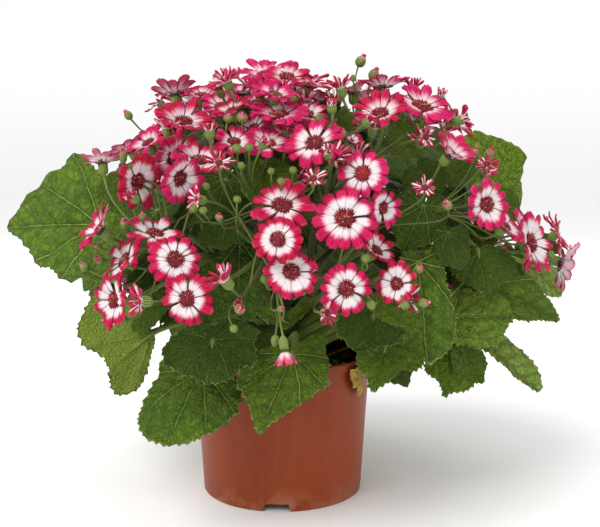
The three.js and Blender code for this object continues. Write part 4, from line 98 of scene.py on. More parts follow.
("q",4,1,(49.3,-125.4,257.3),(0.691,-0.362,0.625),8.1,26,12,0,(16.6,-72.5,242.9),(22.5,-92.1,256),(34.3,-117.6,243.7),(49.3,-125.4,257.3),""),
("q",2,1,(-37.9,-135.9,248.9),(-0.003,-0.217,0.976),10.2,24,13,0,(-14.9,-108,216.8),(-20.7,-120.1,229.3),(-37.9,-132.3,232.9),(-37.9,-135.9,248.9),""),
("q",2,1,(-8.9,-140.3,243.8),(0.49,-0.334,0.805),7.3,14,10,0,(-14.9,-108,216.8),(-14.9,-120.1,227.5),(-16,-135.5,232.1),(-8.9,-140.3,243.8),""),
("q",2,1,(-32.1,-145.6,232.6),(0.078,-0.807,0.585),10,52,14,0,(-1.1,-131.4,168),(-7.9,-131.1,183.9),(-34,-110.2,215.9),(-32.1,-145.6,232.6),""),
("q",2,1,(-39.2,-143.1,214.7),(-0.844,-0.507,0.176),11.2,40,13,0,(-24.9,-115.3,204.3),(-29.4,-115.8,209.4),(-29.8,-130.4,211.8),(-39.2,-143.1,214.7),""),
("q",1,1,(-78.8,-138.7,213.5),(-0.55,-0.349,0.759),8.5,30,12,0,(-68.7,-102,184.3),(-75.9,-80.6,192.4),(-69.8,-107.8,197.5),(-78.8,-138.7,213.5),""),
("q",2,1,(20.7,-150.6,224.4),(-0.067,-0.78,0.622),8.3,46,12,0,(1.1,-118.1,204.4),(5.7,-131.6,212.4),(21.7,-139.2,215.3),(20.7,-150.6,224.4),""),
("q",2,1,(29.2,-144.5,238.7),(-0.297,-0.597,0.745),7.8,30,11,0,(13.1,-110.7,214.9),(18.2,-123.4,224.7),(33.7,-135.5,227.5),(29.2,-144.5,238.7),""),
("q",4,1,(84.2,-110.8,250.3),(0.552,-0.806,0.213),8.3,48,13,0,(57.5,-75.5,237.1),(67,-87.8,245.1),(75.5,-98.1,247),(84.2,-110.8,250.3),""),
("q",3,1,(84.4,-133.7,219.5),(-0.123,-0.834,0.538),8,50,13,0,(54.8,-109.3,195.9),(64.4,-120.4,204.7),(86.3,-120.9,211.3),(84.4,-133.7,219.5),""),
("q",5,1,(126.1,-102.1,232.6),(-0.163,-0.72,0.674),7.9,46,13,0,(94.9,-82.5,204),(105.8,-92.6,213.5),(128.7,-90.7,221.9),(126.1,-102.1,232.6),""),
("q",2,1,(-23.2,-174,169),(-0.537,-0.329,0.777),13.9,30,14,0,(-15.7,-133.9,165.7),(-18.2,-149.2,166.1),(-15.8,-169.4,158.2),(-23.2,-174,169),""),
("q",1,1,(-66.7,-166.3,160.9),(-0.866,-0.488,0.106),14.1,38,12,0,(-57.8,-116.3,169.2),(-63.2,-135.1,168),(-51.6,-157.8,159),(-66.7,-166.3,160.9),""),
("q",3,1,(24.2,-173.9,156.1),(0.711,-0.694,0.112),8,50,12,0,(34.2,-126,172.1),(33.9,-145.5,170.5),(11.8,-161.8,154.1),(24.2,-173.9,156.1),""),
("n",2,1,(4.5,-179.5,138.8),(0.107,-0.208,-0.972),5.4,78,7,9,(-1.1,-131.4,168),(1.3,-154.9,153.6),(2.4,-178.5,150.9),(3.9,-178.3,144.6),""),
("q",0,1,(-73.3,-62.5,270.4),(-0.625,-0.285,0.726),11.6,46,9,0,(-54.1,-46.8,237.7),(-62.1,-53.7,249.2),(-64.6,-58.5,260.3),(-73.3,-62.5,270.4),""),
("q",5,1,(182.6,-35.4,185.6),(0.88,-0.244,0.407),16.4,62,20,0,(109.4,-25.2,212.9),(139.3,-26.5,217.3),(159.5,-28.8,173.9),(183.3,-35.4,184.9),""),
("q",2,1,(-20.6,-166.5,157.6),(0.058,-0.785,0.617),4.9,30,10,0,(-15.7,-133.9,165.7),(-17.5,-146.5,163.9),(-21.3,-157.4,150.5),(-20.6,-166.5,157.6),""),
("B",4,1,(54.3,-28.8,305.3),(0.469,-0.084,0.879),8.8,0,1,6.8,(71.1,-53,246.1),(76.1,-51.8,269.6),(42.1,-26.6,282.5),(52.3,-28.4,301.5),""),
("B",4,1,(60.7,-60.1,293.4),(0.466,-0.084,0.881),8.4,0,1,6.4,(71.1,-53,246.1),(74.7,-35.5,262.5),(51.4,-43,273.8),(58.7,-59.8,289.8),""),
("B",4,1,(46.4,-73.8,289.6),(-0.109,-0.258,0.96),4.4,0,0,3.8,(71.1,-53,246.1),(73.1,-51.3,263.9),(48.5,-61.7,269.4),(46.6,-73.2,287.4),""),
("B",0,1,(-97.1,-66.5,267),(-0.539,-0.182,0.822),7,0,1,5.1,(-54.1,-46.8,237.7),(-67.6,-55.4,249.5),(-85.6,-62.6,249.4),(-95.2,-65.8,264.1),""),
("B",1,1,(-94.8,-97.5,240.5),(0.016,-0.158,0.987),9.1,0,1,4.9,(-57.8,-116.3,169.2),(-75.8,-130.8,188.2),(-95.3,-92.6,209.5),(-94.9,-96.8,236),""),
("B",2,1,(-28.5,-125,261.8),(0.28,-0.436,0.855),5.2,0,1,5.2,(-14.9,-108,216.8),(-19,-117.9,231.5),(-33.8,-116.7,245.7),(-29.2,-123.8,259.6),""),
("B",2,1,(-20.3,-126.7,262.3),(0.044,-0.61,0.791),6.3,0,1,6.3,(-14.9,-108,216.8),(-17.2,-117.8,231.3),(-21.2,-115.1,247.3),(-20.5,-124.7,259.8),""),
("B",2,1,(-22.3,-141.9,244.3),(0.048,-0.599,0.799),5,0,0,5.6,(-14.9,-108,216.8),(-17.4,-119.9,227),(-23.1,-131.8,230.9),(-22.4,-140.4,242.3),""),
("B",2,1,(-15.5,-143.1,244.8),(0.039,-0.6,0.799),5,0,0,5,(-14.9,-108,216.8),(-16.2,-120.3,227.2),(-16.1,-132.9,231.3),(-15.6,-141.6,242.8),""),
("B",4,1,(105.3,-47.8,278.5),(0.119,-0.257,0.959),5.9,0,1,5.3,(45.4,-57.4,253),(63,-60.6,269.8),(102.4,-41.4,254.6),(105,-47,275.6),""),
("B",4,1,(24.2,-114.2,262.4),(-0.015,-0.611,0.791),5.3,0,0,5.3,(33.3,-84.6,237.9),(32.8,-95.5,246.8),(24.4,-104.9,250.4),(24.2,-112.6,260.3),""),
("B",4,1,(37.3,-122.8,253.4),(-0.032,-0.606,0.795),5.8,0,1,5.2,(33.3,-84.6,237.9),(35.4,-97.3,245.2),(37.9,-113,240.5),(37.4,-121,251.1),""),
("B",5,1,(119.8,-96.1,242.9),(0.06,-0.431,0.901),6.1,0,1,4.9,(94.9,-82.5,204),(104.7,-91.3,215.2),(118.7,-88.1,226.2),(119.6,-94.8,240.2),""),
("B",5,1,(129.8,-89.2,241.8),(0.398,-0.265,0.878),8.7,0,1,5.6,(94.9,-82.5,204),(106.8,-80.4,215.1),(121.6,-76.7,222.7),(128.1,-88,238),""),
("B",3,1,(96.8,-135.7,212.2),(-0.366,-0.56,0.743),6.3,0,1,5.7,(54.8,-109.3,195.9),(67.8,-121.7,203.7),(104.4,-124.2,196.8),(98,-134,209.9),""),
("B",5,1,(118.4,-114.8,222.6),(-0.1,-0.415,0.904),5.3,0,0,4.7,(94.9,-82.5,204),(103.8,-94.1,210.7),(120.1,-107.7,207.1),(118.7,-113.7,220.2),""),
("B",5,1,(127.5,-108,223.7),(-0.107,-0.414,0.904),5.4,0,0,5.4,(106,-73.7,204.9),(115.8,-84.9,211.7),(129.3,-100.9,208),(127.8,-106.9,221.2),""),
("B",5,1,(130.7,-108.7,209.9),(-0.004,-0.577,0.817),4.8,0,0,4.8,(94.9,-82.5,204),(106.5,-57.4,208.6),(130.7,-73.5,192.2),(130.7,-107.3,208),""),
("B",2,1,(-3.1,-146.7,231.5),(0.022,-0.593,0.805),4.4,0,0,3.9,(1.1,-118.1,204.4),(0.9,-119.6,212.8),(-3.4,-130.8,218.5),(-3.2,-145.4,229.7),""),
("B",2,1,(2.5,-152.2,226.1),(0.014,-0.589,0.808),4.4,0,0,4.4,(1.1,-118.1,204.4),(2,-94.6,211.8),(2.3,-118,210.2),(2.5,-150.9,224.3),""),
("B",2,1,(9.1,-146.5,232.1),(0.005,-0.593,0.805),4.4,0,0,4.4,(1.1,-118.1,204.4),(3.3,-119.7,213),(9,-130.5,218.8),(9.1,-145.2,230.3),""),
("B",2,1,(-40.2,-138.1,223),(-0.234,-0.519,0.822),5.1,0,0,4,(-24.9,-115.3,204.3),(-29.3,-124.3,210.4),(-37.2,-131.4,212.3),(-39.6,-136.8,221),""),
("B",2,1,(-20,-143,234.8),(0.044,-0.594,0.803),4.5,0,0,4.5,(-14.9,-108,216.8),(-16.9,-119.7,224.8),(-20.7,-134,222.7),(-20.1,-141.6,233.1),""),
("B",2,1,(-21.6,-153.6,216.2),(0.046,-0.581,0.812),4.4,0,0,4.4,(-23.1,-125.2,196.3),(-24.4,-136.1,202),(-22.3,-145.8,205.4),(-21.8,-152.3,214.4),""),
("B",2,1,(-31.4,-156.6,206.5),(0.059,-0.574,0.817),4.4,0,1,4.4,(13.1,-110.7,214.9),(6.1,-110.8,222.1),(-32.8,-127.5,184.7),(-31.5,-155.4,204.7),""),
("B",2,1,(-44.7,-163.5,211.7),(-0.223,-0.512,0.829),4.9,0,0,4.3,(13.1,-110.7,214.9),(3.9,-136.6,225.2),(-38.3,-148.8,187.9),(-44.2,-162.3,209.7),""),
("B",2,1,(-39.2,-164.7,210.7),(-0.067,-0.582,0.811),4.3,0,0,4.3,(13.1,-110.7,214.9),(5.1,-100.1,224.4),(-37.4,-123.5,184.8),(-39.1,-163.4,208.9),""),
("B",1,1,(-88.4,-131.5,201.1),(0.067,-0.408,0.911),6.3,0,1,5.2,(-68.7,-102,184.3),(-76.4,-113,188.8),(-89.5,-125,186.7),(-88.6,-130.2,198.2),""),
("B",1,1,(-76.6,-139,206.1),(0.088,-0.41,0.908),5.1,0,1,4.5,(-68.7,-102,184.3),(-74.8,-79.4,190.2),(-78.1,-106.9,187.3),(-76.9,-137.9,203.8),""),
("B",1,1,(-105.4,-122.1,179.9),(-0.612,-0.761,0.216),5.9,0,1,5.9,(-68.7,-102,184.3),(-80,-111.8,185.3),(-95.4,-109.7,176.4),(-103.6,-119.9,179.3),""),
("B",1,1,(-107.2,-116.1,187.1),(-0.704,-0.484,0.519),4.8,0,1,4.2,(-68.7,-102,184.3),(-80.4,-110.8,186.6),(-96.1,-108.5,178.9),(-105.5,-114.9,185.8),""),
("B",2,1,(-18.8,-177.5,158.8),(0.372,-0.839,0.398),5.8,0,1,5.8,(-15.7,-133.9,165.7),(-17.6,-149.7,163.9),(-25.2,-163,151.9),(-19.9,-175.1,157.7),""),
("B",2,1,(-22.1,-177.4,148),(0.457,-0.645,-0.612),4.8,0,0,4.3,(-15.7,-133.9,165.7),(-18.3,-150.6,162.3),(-30.3,-165.8,159),(-23.2,-175.8,149.5),""),
("B",2,1,(-0.4,-174.5,141),(-0.1,-0.277,-0.956),6.8,0,0,4.4,(-1.1,-131.4,168),(1.3,-152.5,153.2),(1.2,-173.7,150.1),(-0.9,-173.7,140.5),""),
("B",2,1,(-6.5,-164.4,173.2),(-0.276,-0.41,0.869),5.4,0,0,4.3,(-1.1,-131.4,168),(-1.7,-143.7,168.5),(-2.8,-158.8,161.3),(-5.8,-163.3,170.9),""),
("B",2,1,(2.7,-167.8,157.3),(0.72,-0.597,0.354),4.3,0,1,3.8,(-1.1,-131.4,168),(-0.3,-145.2,165.7),(-7.9,-159,152.1),(1.2,-166.5,156.5),""),
("B",3,1,(79.3,-151.5,177.2),(0.378,-0.425,0.823),5,0,1,4.5,(49.3,-115.3,166.1),(58.6,-130.1,168.5),(72.4,-143.7,162.2),(78.3,-150.4,175.2),""),
("B",3,1,(81.6,-156.7,158.9),(0.93,-0.341,0.138),6.6,0,1,5,(49.3,-115.3,166.1),(58.9,-131.8,165.4),(62.6,-149.7,156.1),(78.5,-155.5,158.4),""),
("B",3,1,(51.9,-161.3,158.5),(0.408,-0.592,-0.695),6.6,0,0,4.9,(49.3,-115.3,166.1),(53.1,-131.7,165.7),(44.4,-150.4,171.3),(50.6,-159.3,160.8),""),
("B",3,1,(69.9,-167.2,158.8),(0.024,-0.847,-0.532),4.9,0,0,4.9,(49.3,-115.3,166.1),(57.5,-134.2,165.8),(69.4,-149.5,169.9),(69.8,-165.1,160.1),""),
("B",2,1,(14.1,-166,166.9),(0.427,-0.412,0.805),5.4,0,0,4.9,(1.1,-118.1,204.4),(5.1,-141.4,202.4),(3.9,-156.1,147.6),(12.9,-164.9,164.7),""),
("B",3,1,(48.5,-159.8,184.2),(-0.329,-0.408,0.852),5.5,0,0,4.9,(34.2,-126,172.1),(38.3,-139.2,175.1),(53.6,-153.5,171.1),(49.4,-158.7,181.9),""),
("B",5,1,(158.1,-79.4,176.9),(0.327,-0.592,-0.737),5.7,0,1,5.7,(94.9,-82.5,204),(118.3,-92.6,205.2),(149.7,-64.2,195.9),(157.2,-77.7,179),""),
("B",5,1,(146.5,-88.6,198.5),(-0.06,-0.152,0.987),3.1,0,0,2.5,(106,-73.7,204.9),(120.3,-81.9,207.2),(147.5,-86.1,182.2),(146.6,-88.4,196.9),""),
("B",5,1,(185,-35.5,173.9),(0.317,-0.591,-0.742),6.2,0,0,5.5,(132.1,-43.9,177.6),(152.2,-44,178.3),(178.3,-23,189.6),(184,-33.6,176.2),""),
("o",7,0,(-129.1,112,146.3),(-0.521,0.643,0.561),19.5,36,12,0,(-93.9,74.3,168.3),(-109.4,86,163.5),(-116.1,96,132.3),(-125.4,107.5,142.4),""),
("o",6,0,(117.3,131.4,148.3),(0.368,0.765,0.528),18.5,36,13,0,(83.1,91,174.9),(96.5,106.8,169.6),(107.7,111.5,134.5),(114.7,126.1,144.6),""),
("o",7,0,(-41.4,159.6,151.3),(-0.393,0.703,0.593),16.7,35.6,12,0,(-33.2,110.6,173.5),(-35.7,129.5,169.2),(-31.7,142.3,136.8),(-38.6,154.6,147.2),""),
("B",6,0,(175.3,55.4,151.2),(0.6,0.39,0.699),6.7,0,1,6.3,(119.1,50.2,172.5),(140.9,53.9,168.5),(161.2,46.3,134.8),(173.3,54.1,148.9),""),
("B",6,0,(60.2,154.4,154.7),(0.058,0.824,0.564),8,0,1,6.2,(47.2,101.8,182.9),(52,123.5,179),(58.8,134.5,141),(60,151.1,152.4),""),
("o",7,0,(-98.1,134.1,159.4),(-0.499,0.711,0.496),17.3,36,13,0,(-64.2,92.8,185),(-77.2,109.1,181.8),(-85.2,115.7,146.5),(-94.6,129.1,155.9),""),
("q",6,0,(140.5,101.3,158.9),(0.594,0.684,0.422),14.3,30.6,12,0,(119.1,50.2,172.5),(135.4,64.2,170.3),(129,88,150.7),(140.5,101.3,158.9),""),
("q",7,0,(-1.7,157.8,160.9),(-0.095,0.808,0.582),14.1,47.2,13,0,(-33.2,110.6,173.5),(-28.4,132.1,172),(0.1,141.9,149.4),(-1.7,157.8,160.9),""),
("o",7,0,(-141,92.6,167.4),(-0.631,0.544,0.554),18.3,36,12,0,(-64.2,92.8,185),(-90.2,140.9,184.4),(-120.4,100,145.7),(-136.6,88.8,163.6),""),
("o",6,0,(94.8,140.3,169.4),(0.176,0.653,0.737),17.9,36,13,0,(83.1,91,174.9),(91,107,173.5),(90.7,125.2,152.5),(93.6,135.7,164.3),""),
("B",7,0,(-61.8,146.1,170.7),(-0.278,0.757,0.591),7.8,0,0,5.9,(-64.2,92.8,185),(-70,122.1,184.3),(-55.7,136.5,156.7),(-60.7,143.2,168.4),""),
("B",6,0,(160.5,73.2,173.1),(0.758,0.475,0.446),8.5,0,0,5.7,(119.1,50.2,172.5),(134.4,56.3,172.7),(146,64.1,164.6),(157.3,71.1,171.2),""),
("o",6,0,(35.8,157.1,177.5),(0.101,0.857,0.506),16.4,34,12,0,(47.2,101.8,182.9),(46.7,121.4,183.1),(33.4,136.1,165.1),(35.1,151.1,174),""),
("o",7,0,(-112.9,116.3,180.5),(-0.655,0.494,0.572),17.6,36,13,0,(-64.2,92.8,185),(-78.8,104.4,185.7),(-97.3,104.6,166.9),(-108.3,112.9,176.5),"flower_back_06"),
("q",6,0,(120.2,113.5,178.5),(0.486,0.563,0.668),16.4,40.2,13,0,(61.1,78.1,213.6),(81.7,108.8,216.7),(107.4,105.7,160),(120.2,113.5,178.5),""),
("B",7,0,(-25.2,152.4,183.2),(0.079,0.598,0.797),6.8,0,1,6.2,(-33.2,110.6,173.5),(-32.8,126,175.6),(-26.6,142,169.3),(-25.5,150.3,180.4),""),
("q",6,0,(167.5,40.9,183.8),(0.773,0.057,0.632),12.3,30.7,12,0,(119.1,50.2,172.5),(138.1,50.9,175.3),(154.2,39.9,172.9),(167.5,40.9,183.8),""),
("B",7,0,(-145,69.9,186.6),(-0.645,0.39,0.657),8.5,0,1,6.6,(-93.9,74.3,168.3),(-112.6,78,171.8),(-131,61.4,172.4),(-142.2,68.2,183.8),""),
("o",6,0,(70.5,143.4,190.6),(0.273,0.837,0.474),18,36,12,0,(47.2,101.8,182.9),(52.8,116.5,185.3),(64.7,125.6,180.5),(68.6,137.5,187.3),"flower_back_04"),
("B",7,0,(-79.1,130.4,191.5),(-0.215,0.695,0.686),8,0,0,5.7,(-64.2,92.8,185),(-71.2,105.1,187.5),(-75.5,118.7,180),(-78.3,127.6,188.8),""),
("o",6,0,(143.5,88.4,195.6),(0.601,0.301,0.74),19.2,29.6,11,0,(119.1,50.2,172.5),(132.4,60.1,176.8),(130.1,81.7,179.1),(139.3,86.3,190.4),""),
("o",7,0,(12.1,151.2,198.6),(0.143,0.867,0.478),16.5,36,13,0,(-15.7,97.1,204.4),(-9,116.8,208.6),(8.4,128.7,186.2),(11.1,145.2,195.3),"flower_back_03"),
("B",7,0,(-119.8,94.2,199.6),(-0.604,0.416,0.68),8.5,0,0,5.8,(-93.9,74.3,168.3),(-106,92,174.4),(-108.9,93.7,186.2),(-117.3,92.5,196.7),""),
("q",6,0,(96.1,118.7,200.5),(0.538,0.658,0.527),12.2,28.4,11,0,(47.2,101.8,182.9),(60,117,189),(86.1,106.5,190.7),(96.1,118.7,200.5),""),
("B",7,0,(-42.8,138.5,204.6),(-0.469,0.541,0.698),6.2,0,0,5.7,(-33.2,110.6,173.5),(-36,123.9,180.1),(-35,129.5,193),(-41.4,136.9,202.4),""),
("o",6,0,(154.7,57.1,208.7),(0.642,0.383,0.664),16.4,33.9,11,0,(61.1,78.1,213.6),(92.5,110.2,226),(130,57.8,180.9),(150.3,54.4,204.1),"flower_back_05"),
("B",7,0,(-90.1,110.8,212.5),(-0.351,0.576,0.738),7.8,0,1,6.8,(-64.2,92.8,185),(-73.5,101.7,191.7),(-84.2,101,200.1),(-88.8,108.5,209.6),""),
("o",6,0,(120.3,96.7,216.8),(0.479,0.502,0.72),19.4,29.5,11,0,(61.1,78.1,213.6),(78,90,221.1),(107.5,83.3,197.6),(116.9,93.1,211.7),""),
("q",7,0,(-7.4,135.2,215.5),(-0.262,0.642,0.72),12.9,35.6,12,0,(-15.7,97.1,204.4),(-13.3,111,210.6),(-3.8,126.3,205.6),(-7.4,135.2,215.5),""),
("o",6,0,(156.2,25.4,221.8),(0.646,0.276,0.712),16.6,34.2,12,0,(119.1,50.2,172.5),(139.5,47.7,183.2),(138.2,17.8,202),(151.7,23.5,216.8),""),
("o",7,0,(-123.1,72.7,222.8),(-0.533,0.443,0.721),16.3,34.4,12,0,(-93.9,74.3,168.3),(-110.8,115.3,180),(-109.3,86.4,200.5),(-119.4,69.6,217.8),"flower_back_02"),
("o",6,0,(74.1,121.5,224.8),(0.269,0.531,0.804),19.4,34.6,12,0,(61.1,78.1,213.6),(66.4,91.6,219.9),(68.4,110.3,207.8),(72.2,117.8,219.2),""),
("q",7,0,(-56.7,116.4,224.2),(-0.231,0.756,0.613),15.7,48.4,13,0,(-64.2,92.8,185),(-68.5,105.8,196.1),(-53.1,104.5,214.5),(-56.7,116.4,224.2),""),
("q",6,0,(129.6,65.2,224.9),(0.401,0.391,0.828),15.3,24.4,11,0,(119.1,50.2,172.5),(134.1,67,185.5),(122,64.9,208.2),(129.6,65.2,224.9),""),
("B",6,0,(22.3,127.6,230.5),(0.256,0.564,0.785),6.1,0,1,7,(47.2,101.8,182.9),(43.8,119.4,195.3),(16.5,114.9,212.8),(21.5,125.9,228.1),""),
("B",5,0,(145.9,-4.4,232.7),(0.689,0.099,0.718),6.9,0,0,5.9,(132.1,-43.9,177.6),(151.5,-27.4,192.6),(127.9,0,213),(143.6,-4.7,230.2),""),
("o",7,0,(-95,89.2,235.9),(-0.507,0.529,0.68),17.6,30.6,11,0,(-79.1,65.7,202.9),(-87.2,72.4,212.1),(-85.2,78.9,222.7),(-91.5,85.5,231.1),""),
("q",6,0,(91.2,94.4,233.7),(0.489,0.53,0.693),15.9,24.4,11,0,(61.1,78.1,213.6),(69.9,86.6,222.4),(84.6,87.2,224.4),(91.2,94.4,233.7),""),
("B",7,0,(-24.9,118.6,238.4),(-0.091,0.506,0.858),7.9,0,0,5.9,(-15.7,97.1,204.4),(-16.7,107.2,214.3),(-23.4,110.2,224.1),(-24.6,116.6,235),""),
("B",6,0,(132.3,37.1,240.4),(0.419,0.311,0.853),6.3,0,1,6.5,(47.2,52.4,230.6),(71.7,55.4,251.9),(118.7,27.1,212.9),(130.9,36.2,237.7),""),
("o",7,0,(-115.5,49.5,243.9),(-0.404,0.278,0.872),19.3,29.9,11,0,(-41.3,67.4,223.4),(-62.9,70.5,242),(-102.3,40.4,215.5),(-112.7,47.6,237.8),""),
("o",6,0,(49.2,112,246),(0.094,0.331,0.939),18,36,13,0,(61.1,78.1,213.6),(61.8,90.3,224.2),(47.1,104.9,225.7),(48.5,109.7,239.4),""),
("o",7,0,(-61.3,92.8,244.1),(-0.319,0.596,0.737),19.3,36,12,0,(-41.3,67.4,223.4),(-46.5,74.3,231.8),(-55.6,82.1,231),(-59.1,88.6,239),""),
("o",6,0,(104.4,70.4,251),(0.181,0.208,0.961),17.4,31.4,11,0,(47.2,52.4,230.6),(62,60.5,245.9),(99.4,64.7,224.7),(103.1,68.9,244.3),""),
("h",7,0,(4.2,110.2,254),(0.156,0.352,0.923),12.3,42,13,0,(-15.7,97.1,204.4),(-10.8,107.7,218.6),(0.6,101.9,232.4),(3.1,107.7,247.6),""),
("o",7,0,(-84.8,61.1,251.9),(-0.582,0.167,0.796),16.1,29.8,11,0,(-41.3,67.4,223.4),(-52.3,70.1,236.7),(-71.5,57.3,233.8),(-80.7,59.9,246.3),""),
("B",6,0,(66.1,87.2,256.5),(0.07,0.504,0.861),6.6,0,1,6.6,(61.1,78.1,213.6),(65.1,85.2,226.8),(64.9,78.5,241.6),(65.9,85.5,253.6),""),
("B",7,0,(-33.1,93.1,259.2),(-0.144,0.2,0.969),6.1,0,0,6.1,(-41.3,67.4,223.4),(-41.8,85.9,236.9),(-30.6,96.6,241.3),(-32.7,92.5,256.2),""),
("o",6,0,(103,42.7,264.1),(0.473,0.295,0.83),17.4,36,13,0,(47.2,52.4,230.6),(61.1,54.2,248.9),(90,34.5,241.2),(99.7,40.6,258.3),""),
("B",0,0,(-95,26.6,262.3),(-0.295,0.274,0.915),6.9,0,1,6.2,(-49.7,3.7,240.4),(-64.4,10.5,252.3),(-88.6,20.8,242.7),(-94,25.7,259.2),""),
("o",6,0,(26.7,91.4,267.1),(0.209,0.298,0.931),17.3,36,13,0,(47.2,52.4,230.6),(44.6,63.7,246.9),(21.5,84,244),(25.2,89.3,260.6),""),
("B",7,0,(-57.6,66.6,267.2),(-0.218,0.109,0.97),6.2,0,1,6.7,(-41.3,67.4,223.4),(-46.6,70.9,238.7),(-53.7,64.7,249.8),(-56.9,66.3,264.2),""),
("o",6,0,(71.6,61.4,272.1),(0.346,0.156,0.925),19.5,36,12,0,(47.2,52.4,230.6),(52.9,78.7,245),(64.2,73.5,250.2),(69.2,60.3,265.7),""),
("q",0,0,(-73.9,-3.5,250),(-0.225,-0.166,0.96),16.6,24.7,11,0,(-49.7,3.7,240.4),(-57.8,3.5,246.7),(-71.8,-2,241.2),(-73.9,-3.5,250),""),
("o",7,0,(-7.1,79.3,275.2),(-0.159,0.527,0.835),17.9,36,13,0,(-41.3,67.4,223.4),(-37.1,110.6,244),(-2.8,90.3,249.1),(-6,75.6,269.3),""),
("q",6,0,(87,16.3,271.4),(0.169,0.251,0.953),16,34.9,12,0,(47.2,52.4,230.6),(58.7,49.4,253.4),(83.2,10.6,249.6),(87,16.3,271.4),""),
("o",0,0,(-65.9,36.1,278.2),(-0.161,0.271,0.949),19.5,32.8,11,0,(-7,3.9,252.5),(-19,14.8,272.6),(-61.1,27.9,249.6),(-64.8,34.2,271.5),""),
("o",6,0,(35,59.1,268),(-0.03,0.322,0.946),17.3,35.7,12,0,(47.2,52.4,230.6),(46,55.5,242.9),(35.5,53.2,250.7),(35.2,56.8,261.4),""),
("h",0,0,(-57.4,-25,268.9),(-0.468,-0.138,0.873),13.2,42,13,0,(-7,3.9,252.5),(-18.2,-0.2,270),(-45.3,-21.4,246.3),(-54.1,-24.1,262.8),""),
("h",4,0,(72,-20.5,276),(0.34,-0.041,0.94),13.3,42,13,0,(71.1,-53,246.1),(77.2,-47.9,259.1),(64.9,-19.6,256.6),(69.6,-20.2,269.5),""),
("h",6,0,(57.5,30.9,278.9),(0.262,0.105,0.959),12.7,42,13,0,(47.2,52.4,230.6),(50.8,87.1,248.4),(51.4,53.7,253),(55.7,30.2,272.2),""),
("o",0,0,(-49.7,7.9,273.6),(-0.281,0.011,0.96),19,36,12,0,(-7,3.9,252.5),(-15.7,7.3,266.1),(-43.6,7.7,252.7),(-47.8,7.8,266.9),""),
("o",0,0,(9.7,49.4,288.2),(-0.04,0.458,0.888),19.3,36,13,0,(-7,3.9,252.5),(-2.3,15.1,269.2),(10.7,37.7,265.6),(10,46.2,282),"flower_back_01"),
("o",4,0,(51.1,0.8,283.8),(0.047,-0.001,0.999),18.4,30.6,11,0,(71.1,-53,246.1),(77.2,-43.4,268.1),(49.7,0.8,254.6),(50.7,0.8,276.8),""),
("q",0,0,(-26.2,24,285.4),(0.046,0.236,0.971),16.6,48.8,13,0,(-7,3.9,252.5),(-9.9,9.9,267.5),(-26.9,20.6,271.2),(-26.2,24,285.4),""),
("h",0,0,(23.3,21.3,280.1),(0.252,0.011,0.968),13.2,42,13,0,(-7,3.9,252.5),(-0.2,9.4,264.7),(18.2,21.1,260.3),(21.6,21.3,273.3),""),
("q",0,0,(-17.4,-4,288.3),(-0.127,-0.06,0.99),16.1,24.1,11,0,(-7,3.9,252.5),(-8.3,4.1,267),(-15.8,-3.2,275.5),(-17.4,-4,288.3),""),
("o",0,0,(17.7,-6.4,288.6),(-0.007,-0.141,0.99),16.8,36,12,0,(-7,3.9,252.5),(-1.1,3.9,266.3),(17.8,-3.6,268.4),(17.7,-5.5,281.7),""),
("B",4,0,(95.9,1.1,272.2),(0.196,0.044,0.98),7.2,0,0,6.4,(57.5,-75.5,237.1),(80.9,-47.7,261.9),(89.2,15,236.2),(95.2,1,268.6),""),
("q",4,0,(56.8,-84,220.5),(0.31,-0.732,0.606),13.3,24.5,11,0,(57.5,-75.5,237.1),(60.2,-81.8,235.5),(54.9,-79.3,216.7),(56.8,-84,220.5),""),
("h",7,0,(-104.5,32.9,220.4),(-0.595,-0.003,0.803),13.2,42,13,0,(-93.9,74.3,168.3),(-112.3,106.9,183),(-87.7,58.1,194.1),(-100.4,32.9,214.8),""),
("o",6,0,(159.2,45.2,156.4),(0.785,0.104,0.611),18.4,32.2,11,0,(119.1,50.2,172.5),(134,51.1,168.8),(142.9,43,143.7),(153.7,44.4,152.1),""),
("B",6,0,(167.3,25.9,205.3),(0.683,0.369,0.63),8.5,0,1,7.2,(119.1,50.2,172.5),(140.7,48,179.5),(150.4,16.8,189.7),(164.4,24.4,202.6),""),
("o",6,0,(106.6,41.3,224.8),(0.592,0.435,0.679),17.5,36,13,0,(61.1,78.1,213.6),(79.2,78,225.9),(90.8,29.7,206.7),(102.4,38.3,220),""),
("q",1,0,(-95.6,-93.6,139),(-0.665,-0.678,0.314),13.6,29.6,12,0,(-52.4,-90.9,207.6),(-75.9,-110.1,202.2),(-77.2,-74.9,130.3),(-95.6,-93.6,139),""),
("o",0,0,(-83.5,-24.5,249.3),(-0.213,-0.044,0.976),15.3,30.6,11,0,(-54.1,-46.8,237.7),(-65.9,-45.7,244.8),(-79.4,-23.7,230.4),(-82,-24.2,242.4),""),
("h",6,0,(36.6,120.4,183),(0.007,0.843,0.538),11.8,42,13,0,(47.2,101.8,182.9),(45.6,108,182.8),(36.6,109.6,176.1),(36.6,114.5,179.2),""),
("B",6,0,(159,74.9,125.5),(0.923,0.188,0.335),8.1,0,1,6.6,(119.1,50.2,172.5),(140.1,58.8,163),(134.9,70,116.8),(155.3,74.2,124.2),""),
("o",7,0,(-114.6,82.7,141.5),(-0.558,0.737,0.381),18.2,33.5,11,0,(-93.9,74.3,168.3),(-104.3,78.7,162),(-104.2,69,134.4),(-110.7,77.6,138.8),""),
("o",7,0,(-52.2,137.5,124),(-0.371,0.825,0.425),17.2,31.8,11,0,(-93.9,74.3,168.3),(-103.1,103.1,155.4),(-38.6,107.4,108.5),(-49.6,131.7,121),""),
("o",7,0,(-127,57,170.5),(-0.695,0.389,0.604),14.6,33.7,11,0,(-41.3,67.4,223.4),(-76.6,99.4,232.8),(-98.5,56.5,143.6),(-122.2,54.3,166.3),""),
